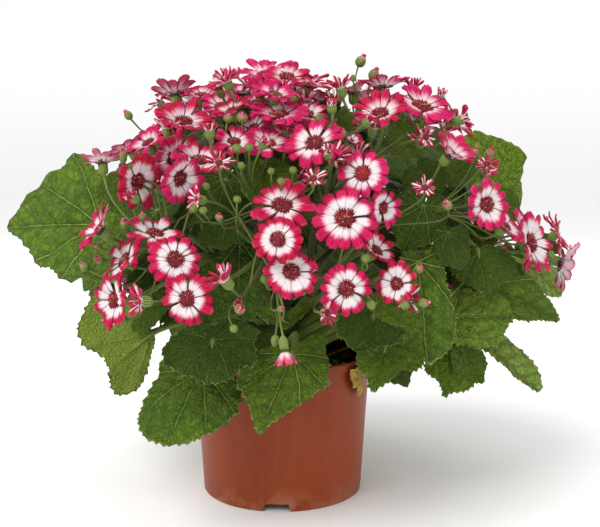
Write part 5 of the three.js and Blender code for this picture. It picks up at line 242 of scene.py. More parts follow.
("q",6,0,(74.6,133.3,147.1),(0.151,0.91,0.386),12.9,31.4,12,0,(83.1,91,174.9),(88.3,109.1,169.6),(72,117.4,140.4),(74.6,133.3,147.1),""),
("o",6,0,(52.3,64.8,249.1),(0.27,0.283,0.92),15.2,36,12,0,(47.2,52.4,230.6),(48.4,55.5,235.9),(48.9,61.3,237.6),(50.4,62.8,242.7),""),
("q",7,0,(-1.3,137.5,176.9),(-0.167,0.764,0.623),13.9,20.3,11,0,(-33.2,110.6,173.5),(-27.5,125.4,175.1),(1.1,126.6,168),(-1.3,137.5,176.9),""),
("B",0,0,(-16.2,41,268.6),(-0.119,0.015,0.993),7.6,0,0,6.2,(-7,3.9,252.5),(-8,14.1,263.8),(-14.2,40.7,251.4),(-15.8,41,264.9),""),
("B",1,0,(-98.9,-111.9,167.9),(-0.455,-0.347,0.82),9.4,0,0,6.6,(-68.7,-102,184.3),(-79.3,-74,181.8),(-91.2,-80.8,150.5),(-96.7,-110.2,164),""),
("B",6,0,(134.2,81.5,165.9),(0.894,0.256,0.368),8.3,0,1,7.3,(47.2,101.8,182.9),(75.4,155.8,182.3),(103.8,98,149.7),(130.5,80.5,164.3),""),
("o",6,0,(27,94.8,239.4),(-0.104,0.547,0.83),19.4,36,12,0,(61.1,78.1,213.6),(56.7,88,224.7),(29.2,83.4,222),(27.7,91,233.6),""),
("B",7,0,(-79.7,134,180.3),(-0.357,0.866,0.351),8.4,0,1,7.2,(-64.2,92.8,185),(-71.6,106.3,185.8),(-73.3,118.4,174),(-78.2,130.3,178.8),""),
("B",7,0,(-134.7,80.2,179.3),(-0.64,0.64,0.425),8,0,0,6.2,(-93.9,74.3,168.3),(-108.1,78.6,170.4),(-123.5,69,171.9),(-132.1,77.6,177.6),""),
("o",7,0,(-78.4,120.8,154.4),(-0.181,0.895,0.407),19.3,34.2,11,0,(-93.9,74.3,168.3),(-100.1,90.5,164.4),(-74.2,100.4,145.1),(-77.1,114.6,151.6),""),
("o",7,0,(7,167.6,118),(-0.015,0.929,0.371),15.6,36,12,0,(-33.2,110.6,173.5),(-26.9,141,162.3),(7.5,133.7,104.4),(7.1,161.1,115.4),""),
("B",6,0,(157.4,77.1,182.7),(0.584,0.716,0.383),8.3,0,1,6.6,(119.1,50.2,172.5),(134.2,57,174.6),(146.2,63.4,175.3),(155,74.1,181.1),""),
("o",6,0,(69.6,117.2,184.5),(0.495,0.391,0.776),16.6,36,13,0,(47.2,101.8,182.9),(52.1,109.1,183),(62.2,111.4,173),(66.1,114.5,179),""),
("B",7,0,(-114.2,72.4,171.3),(-0.514,0.286,0.809),8.1,0,1,6.8,(-93.9,74.3,168.3),(-100.8,75.5,168.4),(-108.9,69.5,162.9),(-112.1,71.3,168),""),
("o",7,0,(-97,124.8,199.9),(-0.422,0.705,0.57),16.6,34,11,0,(-64.2,92.8,185),(-74.6,104.1,189.1),(-88,109.9,187.8),(-94,119.9,195.9),""),
("h",7,0,(-54.6,124,166.9),(-0.022,0.712,0.701),12,42,13,0,(-64.2,92.8,185),(-66.9,105.8,181.6),(-54.2,110.2,153.4),(-54.4,119,162),""),
("B",6,0,(27.8,127.3,209.5),(0.252,0.593,0.765),9.3,0,1,7.1,(47.2,101.8,182.9),(44.3,114.5,189.3),(23.3,116.8,195.9),(26.6,124.6,205.9),""),
("o",7,0,(-144.3,89.6,128.8),(-0.752,0.657,0.052),14.8,36,13,0,(-93.9,74.3,168.3),(-114.2,104.5,160.6),(-123.4,86.8,125.2),(-139,85,128.4),""),
("q",0,0,(15.9,-29.9,253.3),(0.078,-0.216,0.973),15.3,28.9,11,0,(-14.5,-47.6,248.2),(-5.8,-48,258.5),(15,-27.3,241.6),(15.9,-29.9,253.3),""),
("B",0,0,(-67.4,-64.6,231.2),(-0.532,-0.159,0.832),7.9,0,0,6.1,(-54.1,-46.8,237.7),(-59.6,-53.3,239),(-61.2,-62.7,221.5),(-65.3,-63.9,227.9),""),
("B",7,0,(-23.3,100,214.4),(-0.332,0.551,0.766),9.3,0,1,6.9,(-15.7,97.1,204.4),(-16.9,98.9,207),(-20.8,95.8,208.5),(-21.8,97.4,210.8),""),
("B",0,0,(-71.6,-48,270.7),(-0.293,-0.281,0.914),7.8,0,0,6.2,(-54.1,-46.8,237.7),(-61,-50.1,248),(-67.1,-43.7,256.7),(-70.5,-46.9,267.1),""),
("q",2,0,(6.5,-95,220.1),(0.239,-0.511,0.826),14.2,26.5,11,0,(13.1,-110.7,214.9),(12.2,-109.7,221.5),(5,-91.9,215.1),(6.5,-95,220.1),""),
("B",7,0,(9.6,74.3,241),(0.065,0.333,0.941),9.9,0,0,6.5,(-41.3,67.4,223.4),(-31.5,75,239),(8.1,66.8,219.6),(9.2,72.7,236.4),""),
("h",6,0,(56.3,133,133.7),(-0.011,0.716,0.698),14.4,42,13,0,(83.1,91,174.9),(86.6,113.1,164.5),(56.6,112.2,113.5),(56.4,128,128.8),""),
("o",4,0,(37.7,-42.1,254.9),(0.045,-0.255,0.966),15.4,35.9,12,0,(16.6,-72.5,242.9),(23.3,-69.8,255.7),(36.8,-37,235.4),(37.4,-40.4,248.1),""),
("B",4,0,(29.5,-73.1,254.1),(-0.167,-0.171,0.971),7.1,0,1,6.6,(16.6,-72.5,242.9),(19.5,-74.8,247.5),(30.9,-71.5,245.5),(30.1,-72.4,250.7),""),
("q",7,0,(-138.8,73.1,116.8),(-0.83,0.501,0.245),13.1,26.9,11,0,(-93.9,74.3,168.3),(-116.6,117.1,157.7),(-119.5,86.7,107.5),(-138.8,73.1,116.8),""),
("B",6,0,(45.1,74.8,235.2),(0.02,0.323,0.946),7.5,0,0,6.3,(47.2,52.4,230.6),(47.6,59,235.4),(44.9,71.3,224.8),(45,73.6,231.7),""),
("B",7,0,(-47.6,124.6,144.4),(0.036,0.927,0.374),10,0,1,6.9,(-93.9,74.3,168.3),(-98.7,99.4,160.9),(-48.6,98,133.7),(-47.8,120,142.5),""),
("o",7,0,(-114.5,73.7,202.5),(-0.477,0.634,0.609),16.4,36,12,0,(-93.9,74.3,168.3),(-104.8,77,175.4),(-105.5,61.8,191),(-111.2,69.3,198.3),""),
("B",5,0,(141.1,-36.2,172),(0.658,-0.396,0.641),7.5,0,0,6.4,(132.1,-43.9,177.6),(136.9,-42.4,176),(135.6,-32.8,166.6),(138.7,-34.7,169.6),""),
("o",0,0,(-72.9,-48.1,241.2),(-0.307,-0.038,0.951),15.2,36,12,0,(-54.1,-46.8,237.7),(-59.9,-48.9,239.6),(-69,-47.6,229),(-70.7,-47.9,234.5),""),
("o",6,0,(178,1.3,138),(0.952,-0.114,0.286),14.4,36,13,0,(119.1,50.2,172.5),(147.9,44,165.4),(145.5,5.1,128.2),(171.3,2,136),""),
("q",7,0,(-140.6,52.1,195.6),(-0.699,0.242,0.672),12.6,27.7,11,0,(-93.9,74.3,168.3),(-115.2,97.6,174.7),(-126.7,62.6,180.1),(-140.6,52.1,195.6),""),
("B",0,0,(-52.9,-53.3,267.6),(-0.415,-0.058,0.908),7.1,0,1,6.8,(-7,3.9,252.5),(-17.3,28.6,275.8),(-41.1,-26.4,238.1),(-51.4,-53.1,264.3),""),
("q",7,0,(-132.3,56.8,117.1),(-0.828,0.516,0.222),11.9,29.4,12,0,(-93.9,74.3,168.3),(-116.2,113.6,157),(-113.6,70.4,108.5),(-132.3,56.8,117.1),""),
("B",6,0,(14.1,125.9,173),(-0.163,0.78,0.604),8,0,0,6.5,(47.2,52.4,230.6),(42.2,97.8,241.2),(20.2,103.8,149.5),(14.7,122.8,170.6),""),
("B",6,0,(58.9,148.5,140.5),(-0.012,0.986,0.168),9.1,0,1,6.8,(47.2,101.8,182.9),(52.1,123.6,176.1),(59.3,123.4,136.2),(59,144,139.8),""),
("q",6,0,(131.7,57.5,165.1),(0.788,0.525,0.322),15.3,24.7,11,0,(119.1,50.2,172.5),(124.7,52.5,171.2),(127.3,54.6,163.3),(131.7,57.5,165.1),""),
("o",7,0,(11.6,144.6,116.2),(-0.032,0.868,0.495),18.5,32.2,11,0,(-33.2,110.6,173.5),(-24.9,137,160.4),(12.7,114.7,99.2),(11.8,138.5,112.7),""),
("B",0,0,(-71.2,-29,239.3),(-0.133,-0.348,0.928),7.2,0,1,6.8,(-54.1,-46.8,237.7),(-62.6,-45,241.9),(-69.6,-24.7,228),(-70.7,-27.7,235.9),""),
("h",2,0,(3.4,-135.5,182.5),(0.004,-0.755,0.656),10.8,42,13,0,(-1.1,-131.4,168),(0.3,-134.1,170.8),(3.3,-127.4,175.5),(3.3,-130.2,177.9),""),
("B",7,0,(-162.6,27.8,164.8),(-0.911,-0.161,0.38),9,0,0,6.4,(-93.9,74.3,168.3),(-124,72.6,167.8),(-133.9,32.8,152.8),(-158.5,28.5,163),""),
("B",6,0,(18.3,137.2,174.9),(-0.021,0.775,0.632),8,0,1,7.2,(61.1,78.1,213.6),(57.7,108.8,216.3),(19,112.6,154.8),(18.4,134.1,172.3),""),
("B",1,0,(-102.5,-120.8,156.9),(-0.805,-0.504,0.314),7.7,0,1,7.4,(-57.8,-116.3,169.2),(-71,-126.1,166.5),(-87.4,-111.4,151),(-99.4,-118.9,155.7),""),
("B",6,0,(149.7,64.5,129.4),(0.783,0.485,0.389),9.5,0,0,6.3,(119.1,50.2,172.5),(136.4,55.8,163.3),(131.7,53.4,120.4),(146,62.2,127.5),""),
("B",5,0,(159.9,-32,150.8),(0.896,-0.387,0.218),7.4,0,1,7.3,(132.1,-43.9,177.6),(146,-6.7,172.3),(144.6,-0.2,143.5),(156.5,-30.5,150),""),
("o",4,0,(5.5,-73.1,248.4),(-0.195,-0.219,0.956),18.3,33.7,11,0,(16.6,-72.5,242.9),(13.7,-74,244.7),(7.5,-70.8,238.5),(6.8,-71.6,241.7),""),
("B",7,0,(-88.7,111.9,128.2),(-0.758,0.622,0.199),9.6,0,1,6.8,(-93.9,74.3,168.3),(-103.7,89.6,158.5),(-71.1,97.4,123.6),(-85.1,109,127.2),""),
("o",6,0,(187.5,37.8,137.6),(0.806,0.157,0.571),14.9,33.7,11,0,(119.1,50.2,172.5),(146.7,51.3,165.4),(161.3,32.7,119.1),(181.8,36.7,133.6),""),
("q",7,0,(-3.8,98.7,232),(0.129,0.502,0.855),12,39.8,13,0,(-15.7,97.1,204.4),(-12.5,102.9,213.7),(-5.2,93.5,223.3),(-3.8,98.7,232),""),
("B",7,0,(-91,95.5,169.9),(-0.566,0.608,0.557),7.7,0,1,7,(-93.9,74.3,168.3),(-96.8,81.1,168.4),(-85.1,89.1,164.1),(-88.9,93.1,167.7),""),
("B",6,0,(165.2,50.7,194.9),(0.771,0.159,0.616),7.6,0,1,7.3,(119.1,50.2,172.5),(136.4,52.5,176.9),(149.7,47.5,182.6),(162.2,50.1,192.6),""),
("o",6,0,(111.3,102.4,162.5),(0.678,0.657,0.33),15.7,33.2,11,0,(47.2,101.8,182.9),(65.9,116.9,180.1),(91.9,83.6,153.1),(106.5,97.8,160.2),""),
("B",3,0,(76,-110.6,165.1),(0.185,-0.542,0.82),7,0,1,6.7,(49.3,-115.3,166.1),(58.6,-119.8,165.6),(73.6,-103.6,154.6),(75.3,-108.6,162.2),""),
("h",4,0,(97,-43,264.4),(0.515,-0.09,0.853),13.6,42,13,0,(57.5,-75.5,237.1),(72.8,-53.4,250.4),(84.1,-25.4,240.8),(93.4,-42.4,258.4),""),
("B",6,0,(17,108.3,202.9),(-0.118,0.775,0.621),7.9,0,1,7.4,(47.2,101.8,182.9),(41,111.5,189.3),(18.9,96,193.1),(17.5,105.2,200.4),""),
("q",0,0,(-20.6,-75,245.7),(-0.298,-0.611,0.733),13.1,29.9,12,0,(-14.5,-47.6,248.2),(-16,-57.1,253),(-17.7,-69.2,238.7),(-20.6,-75,245.7),""),
("q",6,0,(74.7,108.8,159.4),(0.476,0.655,0.587),15.8,42.9,13,0,(83.1,91,174.9),(84.8,99.8,171.7),(70.6,103.2,154.4),(74.7,108.8,159.4),""),
("B",6,0,(147.2,5.8,172.4),(0.724,-0.162,0.67),8.9,0,1,7.2,(119.1,50.2,172.5),(136.7,42.8,172.4),(131.6,9.3,157.9),(144,6.5,169.4),""),
("q",7,0,(-42.6,110.3,186.6),(-0.311,0.609,0.73),12.1,41.9,13,0,(-33.2,110.6,173.5),(-36.1,114.5,177.2),(-40.9,106.9,182.6),(-42.6,110.3,186.6),""),
("q",6,0,(79,33.5,240),(0.214,0.332,0.919),13.6,30.9,12,0,(47.2,52.4,230.6),(56.7,50.9,241.6),(76.2,29.2,228.1),(79,33.5,240),""),
("B",7,0,(-23.5,62.2,250),(-0.029,0.332,0.943),7.4,0,1,7.3,(-64.2,92.8,185),(-66.3,103.4,213.6),(-22.6,51.9,220.8),(-23.4,61,246.5),""),
("q",7,0,(-100.5,132.2,113.3),(-0.501,0.863,0.066),14.1,30.2,12,0,(-93.9,74.3,168.3),(-111.4,96.2,156.5),(-86.8,108.7,111.5),(-100.5,132.2,113.3),""),
("q",2,0,(16.1,-127.6,169.1),(0.302,-0.557,0.774),11.7,29.1,11,0,(-1.1,-131.4,168),(4.2,-135.4,168.3),(14.3,-124.2,164.5),(16.1,-127.6,169.1),""),
("B",1,0,(-140.6,-11.8,163.1),(-0.77,0.184,0.611),7.5,0,1,6.6,(-76.2,-82.2,209.4),(-115.5,-76.8,213.4),(-110.2,-19,139.1),(-137.7,-12.5,160.8),""),
("q",6,0,(78.7,78.4,237.9),(0.546,0.278,0.791),12.5,36.8,12,0,(61.1,78.1,213.6),(67,82.3,222.4),(73.1,75.6,229.8),(78.7,78.4,237.9),""),
("o",7,0,(-60.2,58.6,238.5),(-0.18,0.248,0.952),18.9,36,13,0,(-41.3,67.4,223.4),(-46.8,67.2,229.8),(-57.6,55,224.6),(-58.9,56.9,231.8),""),
("o",6,0,(67.5,96.2,232.1),(0.056,0.386,0.921),14.6,36,13,0,(61.1,78.1,213.6),(63.7,83.7,218.3),(66.8,90.8,219.3),(67.2,93.5,225.7),""),
("B",2,0,(-8.1,-122.1,195.5),(0.188,-0.892,0.411),8.6,0,1,6.9,(1.1,-118.1,204.4),(-1.9,-122.6,203.2),(-9.8,-113.9,191.7),(-8.9,-118.3,193.8),""),
("B",7,0,(-12.5,143.9,174.1),(-0.036,0.716,0.697),8,0,0,6.4,(-33.2,110.6,173.5),(-30,124.2,173.8),(-11.9,132,162.6),(-12.3,141,171.3),""),
("B",1,0,(-73,-97.5,196.8),(-0.403,-0.398,0.824),9,0,0,6.1,(-68.7,-102,184.3),(-71.2,-102.7,187.7),(-69.7,-94.2,190),(-71.2,-95.7,193.1),""),
("B",6,0,(89.2,18.3,253.5),(0.621,0.289,0.729),10,0,0,6.6,(89.7,42,217),(96,37.7,230.8),(77.3,12.8,239.6),(86.1,16.9,249.9),""),
("B",6,0,(43.7,88.6,229.7),(0.053,0.366,0.929),7.1,0,1,7.2,(61.1,78.1,213.6),(59.1,84,220),(43.1,84.4,218.9),(43.5,87.3,226.4),""),
("B",7,0,(-148.6,61.6,158.9),(-0.785,0.526,0.327),8.5,0,1,6.8,(-93.9,74.3,168.3),(-114.4,112.6,166.5),(-130.7,74.8,147.9),(-145.3,59.3,157.6),""),
("B",2,0,(-2,-152.8,175.6),(0.04,-0.64,0.767),9.7,0,1,6.9,(-1.1,-131.4,168),(-1.1,-138.5,168.7),(-2.4,-145.6,166.9),(-2.2,-149.7,171.8),""),
("B",5,0,(139.5,-19.2,183.7),(0.655,0.172,0.736),8.5,0,1,7.2,(132.1,-43.9,177.6),(139.8,-38.8,179),(131.2,-21.3,174.4),(136.7,-19.9,180.6),""),
("B",4,0,(38.2,-103,229.4),(0.029,-0.546,0.838),8.4,0,1,7.2,(33.3,-84.6,237.9),(35.3,-92.2,238.2),(37.8,-96.9,220.1),(38,-100.7,225.9),""),
("B",7,0,(-11.7,109.9,228.7),(-0.292,0.683,0.67),9.4,0,1,6.7,(-15.7,97.1,204.4),(-14.1,103,211.1),(-8,101.2,220.1),(-10.4,106.7,225.6),""),
("q",7,0,(-129.4,89.1,190.5),(-0.732,0.555,0.395),14.2,44.2,13,0,(-93.9,74.3,168.3),(-108.5,81.4,173),(-118.4,80.8,184.5),(-129.4,89.1,190.5),""),
("B",6,0,(118,54.7,209.4),(0.743,0.351,0.569),7.9,0,0,6.3,(89.7,42,217),(100.1,45.6,219),(107.6,49.8,201.4),(115,53.4,207.1),""),
("o",6,0,(107.3,74.1,219.2),(0.287,0.742,0.606),14.4,33,11,0,(89.7,42,217),(98.3,49.1,221),(102.3,61,208.6),(105.3,68.9,215),""),
("q",7,0,(-71.3,137.4,142.4),(-0.401,0.719,0.568),13.4,35.5,12,0,(-93.9,74.3,168.3),(-104.1,99,162.4),(-61.5,119.9,128.5),(-71.3,137.4,142.4),""),
("q",7,0,(-130,36.4,201.5),(-0.557,0.243,0.794),11.3,20,11,0,(-93.9,74.3,168.3),(-115.7,72.3,176.9),(-118.3,31.3,184.7),(-130,36.4,201.5),""),
("B",7,0,(-80.4,124.8,172.3),(-0.56,0.479,0.676),7.2,0,1,6.7,(-64.2,92.8,185),(-71.4,104.7,183.8),(-71.4,117.1,161.5),(-78.4,123.1,169.9),""),
("o",7,0,(-43.1,79.6,271.5),(0.042,0.428,0.903),15.2,36,13,0,(-41.3,67.4,223.4),(-43.9,72.8,238.5),(-44.1,70.4,252.1),(-43.4,76.6,265.2),""),
("B",4,0,(32.3,-96.2,253.7),(-0.047,-0.245,0.968),7.6,0,0,6.1,(33.3,-84.6,237.9),(33.7,-89,242.2),(32.8,-93.9,244.7),(32.5,-95.2,250),""),
("o",6,0,(68.2,153.9,121.4),(0.38,0.771,0.511),17.8,36,12,0,(47.2,101.8,182.9),(54.7,130,171.8),(55,127,103.5),(65.6,148.5,117.8),""),
("B",7,0,(-48.4,94,218.7),(-0.021,0.386,0.922),9.4,0,1,6.9,(-64.2,92.8,185),(-65.2,99.8,195.5),(-48.1,87.8,203.9),(-48.3,92.1,214.4),""),
("q",6,0,(153.9,86.5,125.9),(0.801,0.599,0.017),11.7,27.2,11,0,(119.1,50.2,172.5),(140.6,61.7,163.4),(135.3,72.6,125.5),(153.9,86.5,125.9),""),
("q",0,0,(-84.6,25.8,242.3),(-0.3,0.184,0.936),14,28.5,11,0,(-49.7,3.7,240.4),(-62,10.4,247.6),(-80.4,23.3,229.1),(-84.6,25.8,242.3),""),
("q",7,0,(-67.4,94.4,212.8),(-0.449,0.243,0.86),13.8,35,12,0,(-64.2,92.8,185),(-68.7,98.1,193),(-63.1,92.1,204.6),(-67.4,94.4,212.8),""),
("q",6,0,(45.7,147.8,110.1),(0.321,0.859,0.4),11.4,32.9,12,0,(47.2,101.8,182.9),(50.5,131.6,169.8),(36.3,122.7,98.3),(45.7,147.8,110.1),""),
("o",7,0,(-105.2,121.3,134.2),(-0.409,0.807,0.426),15.4,36,13,0,(-93.9,74.3,168.3),(-106.7,89.5,160.5),(-94.5,100.2,123.1),(-102.3,115.6,131.2),""),
("B",7,0,(-101.6,106.9,214.3),(-0.33,0.547,0.77),9.4,0,0,6.2,(-64.2,92.8,185),(-76.7,102.2,192.4),(-95,95.9,198.7),(-100.1,104.4,210.7),""),
("o",7,0,(-1.7,103.7,213.6),(-0.181,0.359,0.916),16.5,36,13,0,(-15.7,97.1,204.4),(-11.9,101.1,207),(0.6,99.2,202.2),(-0.4,101.2,207.2),""),
("B",6,0,(143.1,81.2,163.1),(0.579,0.486,0.654),7.2,0,1,6.7,(119.1,50.2,172.5),(131.1,58.1,170.5),(133.5,73.1,152.2),(141.1,79.4,160.8),""),
("q",0,0,(-0.9,15.4,263.9),(-0.128,0.044,0.991),14.8,30.6,12,0,(-7,3.9,252.5),(-5.4,7,258.1),(-0.1,15.2,258.1),(-0.9,15.4,263.9),""),
("q",4,0,(79.2,-51,245.1),(0.637,-0.042,0.77),12.5,29.6,12,0,(71.1,-53,246.1),(74.1,-53.1,247.2),(77.4,-50.9,242.9),(79.2,-51,245.1),""),
("B",5,0,(103.1,-57.4,219.7),(0.751,-0.174,0.637),9.1,0,1,7.2,(106,-73.7,204.9),(109,-72.2,212.5),(94.1,-55.3,212.1),(99.6,-56.6,216.8),""),
("q",7,0,(-5.4,117,186.3),(-0.241,0.649,0.722),14.5,34.1,12,0,(-33.2,110.6,173.5),(-27.2,120,177.5),(-2.8,110.2,178.6),(-5.4,117,186.3),""),
("B",6,0,(166.5,63.6,183.4),(0.673,0.347,0.654),8.8,0,1,7.4,(119.1,50.2,172.5),(136.1,54.7,174.5),(152.9,56.6,170.1),(163.6,62.1,180.5),""),
("q",6,0,(79.2,55,240.2),(0.547,0.453,0.704),15.9,25.4,11,0,(47.2,52.4,230.6),(55.7,55.5,239.7),(73,49.8,232.2),(79.2,55,240.2),""),
("q",7,0,(-109.6,76.4,120.1),(-0.697,0.544,0.467),14.2,22.8,11,0,(-64.2,92.8,185),(-89.4,127.4,172.8),(-90.5,76.8,105.1),(-109.6,76.4,120.1),""),
("h",7,0,(-28.5,90.3,238),(-0.139,0.395,0.908),13.4,42,13,0,(-41.3,67.4,223.4),(-39.8,74.3,230.1),(-26.3,84.1,223.7),(-27.5,87.5,231.6),""),
("B",7,0,(-168.4,38.2,160.9),(-0.701,0.562,0.439),8.8,0,0,6.4,(-93.9,74.3,168.3),(-124.9,74.4,166.9),(-145.8,20.1,146.8),(-165.3,35.7,159),""),
("B",7,0,(-7.8,145.2,139.7),(0.112,0.855,0.506),7.9,0,1,7.5,(-15.7,97.1,204.4),(-11.5,126.8,198),(-11.3,118.4,123.8),(-8.2,141.8,137.7),""),
("q",7,0,(-75,108.1,197),(-0.268,0.637,0.723),15.7,20.5,11,0,(-64.2,92.8,185),(-68.8,99,188.4),(-72.9,103.3,191.5),(-75,108.1,197),""),
("o",6,0,(119.2,91.5,145.9),(0.508,0.607,0.611),15.5,35.2,12,0,(47.2,101.8,182.9),(71,120,175.4),(101.6,70.5,124.7),(115.6,87.3,141.6),""),
("B",5,0,(132.9,-49.6,177.3),(0.681,-0.242,0.691),9.4,0,1,6.7,(132.1,-43.9,177.6),(133.3,-45.8,176.7),(128.3,-48,172.6),(129.7,-48.5,174),""),
("q",5,0,(124.1,-79.9,207.7),(0.691,-0.294,0.661),15.3,37.3,12,0,(132.1,-43.9,177.6),(142.2,-33.9,186.7),(112.9,-59.7,194.8),(124.1,-79.9,207.7),""),
("o",7,0,(-87,46.3,234.1),(-0.694,0.155,0.703),16.8,36,13,0,(-79.1,65.7,202.9),(-86.2,63.9,213.3),(-74.2,43.4,221.2),(-82.1,45.2,229.2),""),
("q",5,0,(149.5,3.7,148),(0.936,0.175,0.306),12.2,46,13,0,(132.1,-43.9,177.6),(151.5,-24.6,171.4),(130.8,7.3,140.9),(149.5,3.7,148),""),
("o",7,0,(-99.8,115.5,116.7),(-0.76,0.438,0.48),14.5,36,13,0,(-93.9,74.3,168.3),(-108.1,91.2,155.7),(-77.2,102.5,102.5),(-94.5,112.5,113.4),""),
("B",7,0,(-45.8,123.5,156.6),(-0.16,0.727,0.668),7.5,0,0,6.5,(-93.9,74.3,168.3),(-97.7,121.9,164.5),(-41.5,119.2,136.3),(-45.2,120.8,154.1),""),
("B",6,0,(22.2,166.4,139.9),(0.028,0.965,0.261),7.7,0,0,6.3,(47.2,101.8,182.9),(44.9,167.1,176.7),(21.3,161.8,128.3),(22.1,162.6,138.9),""),
("o",7,0,(-144.2,45.3,176.7),(-0.564,0.171,0.808),15.1,36,12,0,(-79.1,65.7,202.9),(-106.5,67.2,203.8),(-126.4,39.9,151.2),(-140.2,44.1,171),""),
("B",0,0,(-14,29,275.6),(-0.106,0.259,0.96),8.3,0,1,7.5,(-7,3.9,252.5),(-7.7,10.3,262.6),(-12.5,25.1,261.3),(-13.6,27.9,271.6),""),
("o",6,0,(95.4,102.2,188.2),(0.527,0.754,0.392),15.1,36,12,0,(101.5,67.2,186.4),(105.7,78.2,187.9),(86.1,88.9,181.2),(91.7,96.9,185.4),""),
("o",6,0,(40.7,34.8,256.2),(0.101,0.049,0.994),15,34.4,11,0,(47.2,52.4,230.6),(46.7,50.3,240.6),(39.1,34,240.1),(40,34.4,249.2),""),
("o",6,0,(151.7,18.2,180.9),(0.924,0.073,0.376),17.5,36,12,0,(119.1,50.2,172.5),(134.2,45.3,174.3),(132,16.7,172.9),(145.2,17.7,178.2),""),
("q",7,0,(-112.7,89.4,165.2),(-0.484,0.741,0.466),13.8,43.9,13,0,(-93.9,74.3,168.3),(-101.6,79.4,167.9),(-108.7,83.3,161.4),(-112.7,89.4,165.2),""),
("o",7,0,(-109.3,87.6,214),(-0.422,0.481,0.768),14.4,30.7,11,0,(-93.9,74.3,168.3),(-105.4,81.3,177.9),(-100.1,77.1,197.3),(-106.3,84.2,208.6),""),
("q",7,0,(-44.4,55.5,264.2),(-0.096,0.304,0.948),11.1,20.3,11,0,(-41.3,67.4,223.4),(-44.3,68.8,239.3),(-43,51.1,250.5),(-44.4,55.5,264.2),""),
("o",6,0,(9.9,62.5,250.5),(-0.131,0.204,0.97),16.1,33.5,11,0,(47.2,52.4,230.6),(40.1,57.7,242.8),(12.6,58.3,230.6),(10.8,61,243.7),""),
("o",7,0,(-100.6,-27,119.6),(-0.766,-0.61,0.2),18.4,32,12,0,(-93.9,74.3,168.3),(-128.5,58.4,151.9),(-66.8,-0,110.8),(-95.2,-22.7,118.2),""),
("o",7,0,(-55.1,100.3,177),(-0.373,0.586,0.719),19.2,36,12,0,(-93.9,74.3,168.3),(-93.8,92,170.5),(-46.6,86.9,160.5),(-52.5,96.2,172),""),
("o",0,0,(-58.7,33.4,217),(-0.146,0.569,0.809),16.3,36,12,0,(-49.7,3.7,240.4),(-59.6,15,241.1),(-55.7,21.8,200.4),(-57.6,29.5,211.3),""),
("h",6,0,(35.5,67.5,216.4),(0.187,0.472,0.862),11.1,42,13,0,(47.2,52.4,230.6),(43.5,61.7,232.7),(32.5,59.9,202.5),(34.2,64.2,210.4),""),
("o",0,0,(-12.4,5.4,248.6),(-0.066,-0.149,0.987),16.4,36,13,0,(-7,3.9,252.5),(-9.6,7.7,253.2),(-11.7,7.1,237.6),(-11.9,6.5,241.7),""),
("o",5,0,(98.2,-44.8,154.6),(0.447,-0.349,0.824),15.2,34.6,12,0,(132.1,-43.9,177.6),(137.9,-49.1,161.5),(88,-36.7,135.6),(95.1,-42.3,148.8),""),
("h",7,0,(-3.2,53,232),(0.108,0.488,0.866),11.9,42,13,0,(-41.3,67.4,223.4),(-32.4,67.5,236.4),(-5.5,42.7,213.8),(-3.9,49.6,226),""),
("o",3,0,(68.1,-87.3,141.8),(0.283,-0.81,0.513),15.3,17.6,11,0,(49.3,-115.3,166.1),(63.8,-118.8,156.4),(61.6,-68.7,130),(66.1,-81.6,138.2),""),
("o",5,0,(92.8,-80.6,144.2),(0.438,-0.685,0.582),15.5,24.3,11,0,(132.1,-43.9,177.6),(141,-62.9,164.5),(80.1,-60.7,127.2),(89.8,-75.8,140.1),""),
("o",7,0,(-97.6,48.1,188.3),(-0.758,0.265,0.596),16.2,36,13,0,(-93.9,74.3,168.3),(-103.5,69.8,174.4),(-84,43.3,177.6),(-92.3,46.2,184.2),""),
("o",2,0,(-0.4,-82.1,186.1),(0.007,-0.73,0.684),15.9,31.7,13,0,(-1.1,-131.4,168),(4.4,-133.8,188.4),(-0.6,-63.1,168.3),(-0.4,-77,181.3),""),
("o",7,0,(-131.2,31,117.4),(-0.901,0.412,0.137),15,36,13,0,(-93.9,74.3,168.3),(-119.6,71.7,155.4),(-101.6,17.4,112.9),(-124.9,28.1,116.5),""),
("o",6,0,(107.9,4.7,151.3),(0.929,0.007,0.37),14.8,36,12,0,(47.2,52.4,230.6),(86.9,46.2,241),(66.9,4.4,135),(101.4,4.7,148.7),""),
("h",7,0,(-68.6,40.6,166.6),(-0.455,0.687,0.566),11.8,42,13,0,(-93.9,74.3,168.3),(-105.9,60.9,164.9),(-57.9,24.5,153.4),(-65.4,35.8,162.7),""),
("o",0,0,(-27.9,-93.4,266.6),(-0.327,-0.38,0.865),12.6,26.6,13,0,(-14.5,-47.6,248.2),(-16.9,-61.5,258.7),(-20.5,-84.8,246.9),(-25.6,-90.7,260.5),""),
("o",4,0,(111.1,-50.7,262.7),(0.781,-0.211,0.588),17.2,28.5,12,0,(57.5,-75.5,237.1),(75.3,-55.8,250.4),(90,-29.6,244.6),(105.6,-49.2,258.6),""),
("q",4,0,(33.9,-78.3,269.3),(-0.061,-0.42,0.906),11.5,23.8,15,0,(16.6,-72.5,242.9),(19.7,-68,253.3),(34.6,-66.8,258.4),(33.9,-78.3,269.3),""),
("q",2,0,(30.3,-129,235.3),(0.336,-0.798,0.501),15.1,29.8,14,0,(-24.9,-115.3,204.3),(-15.7,-131.9,220),(22.9,-111.4,224.2),(30.3,-129,235.3),""),
("q",2,0,(4.9,-108.8,248.8),(0.162,-0.328,0.931),12.7,44.5,15,0,(-15.7,-133.9,165.7),(-12.9,-132.8,192.2),(-0,-83.5,218.4),(4.9,-108.8,248.8),""),
("o",5,0,(158.2,-56.5,191.9),(0.718,-0.522,0.46),15.3,22.1,12,0,(94.9,-82.5,204),(119.7,-65.1,207.8),(136.8,-25.5,176),(153.2,-52.9,188.7),""),
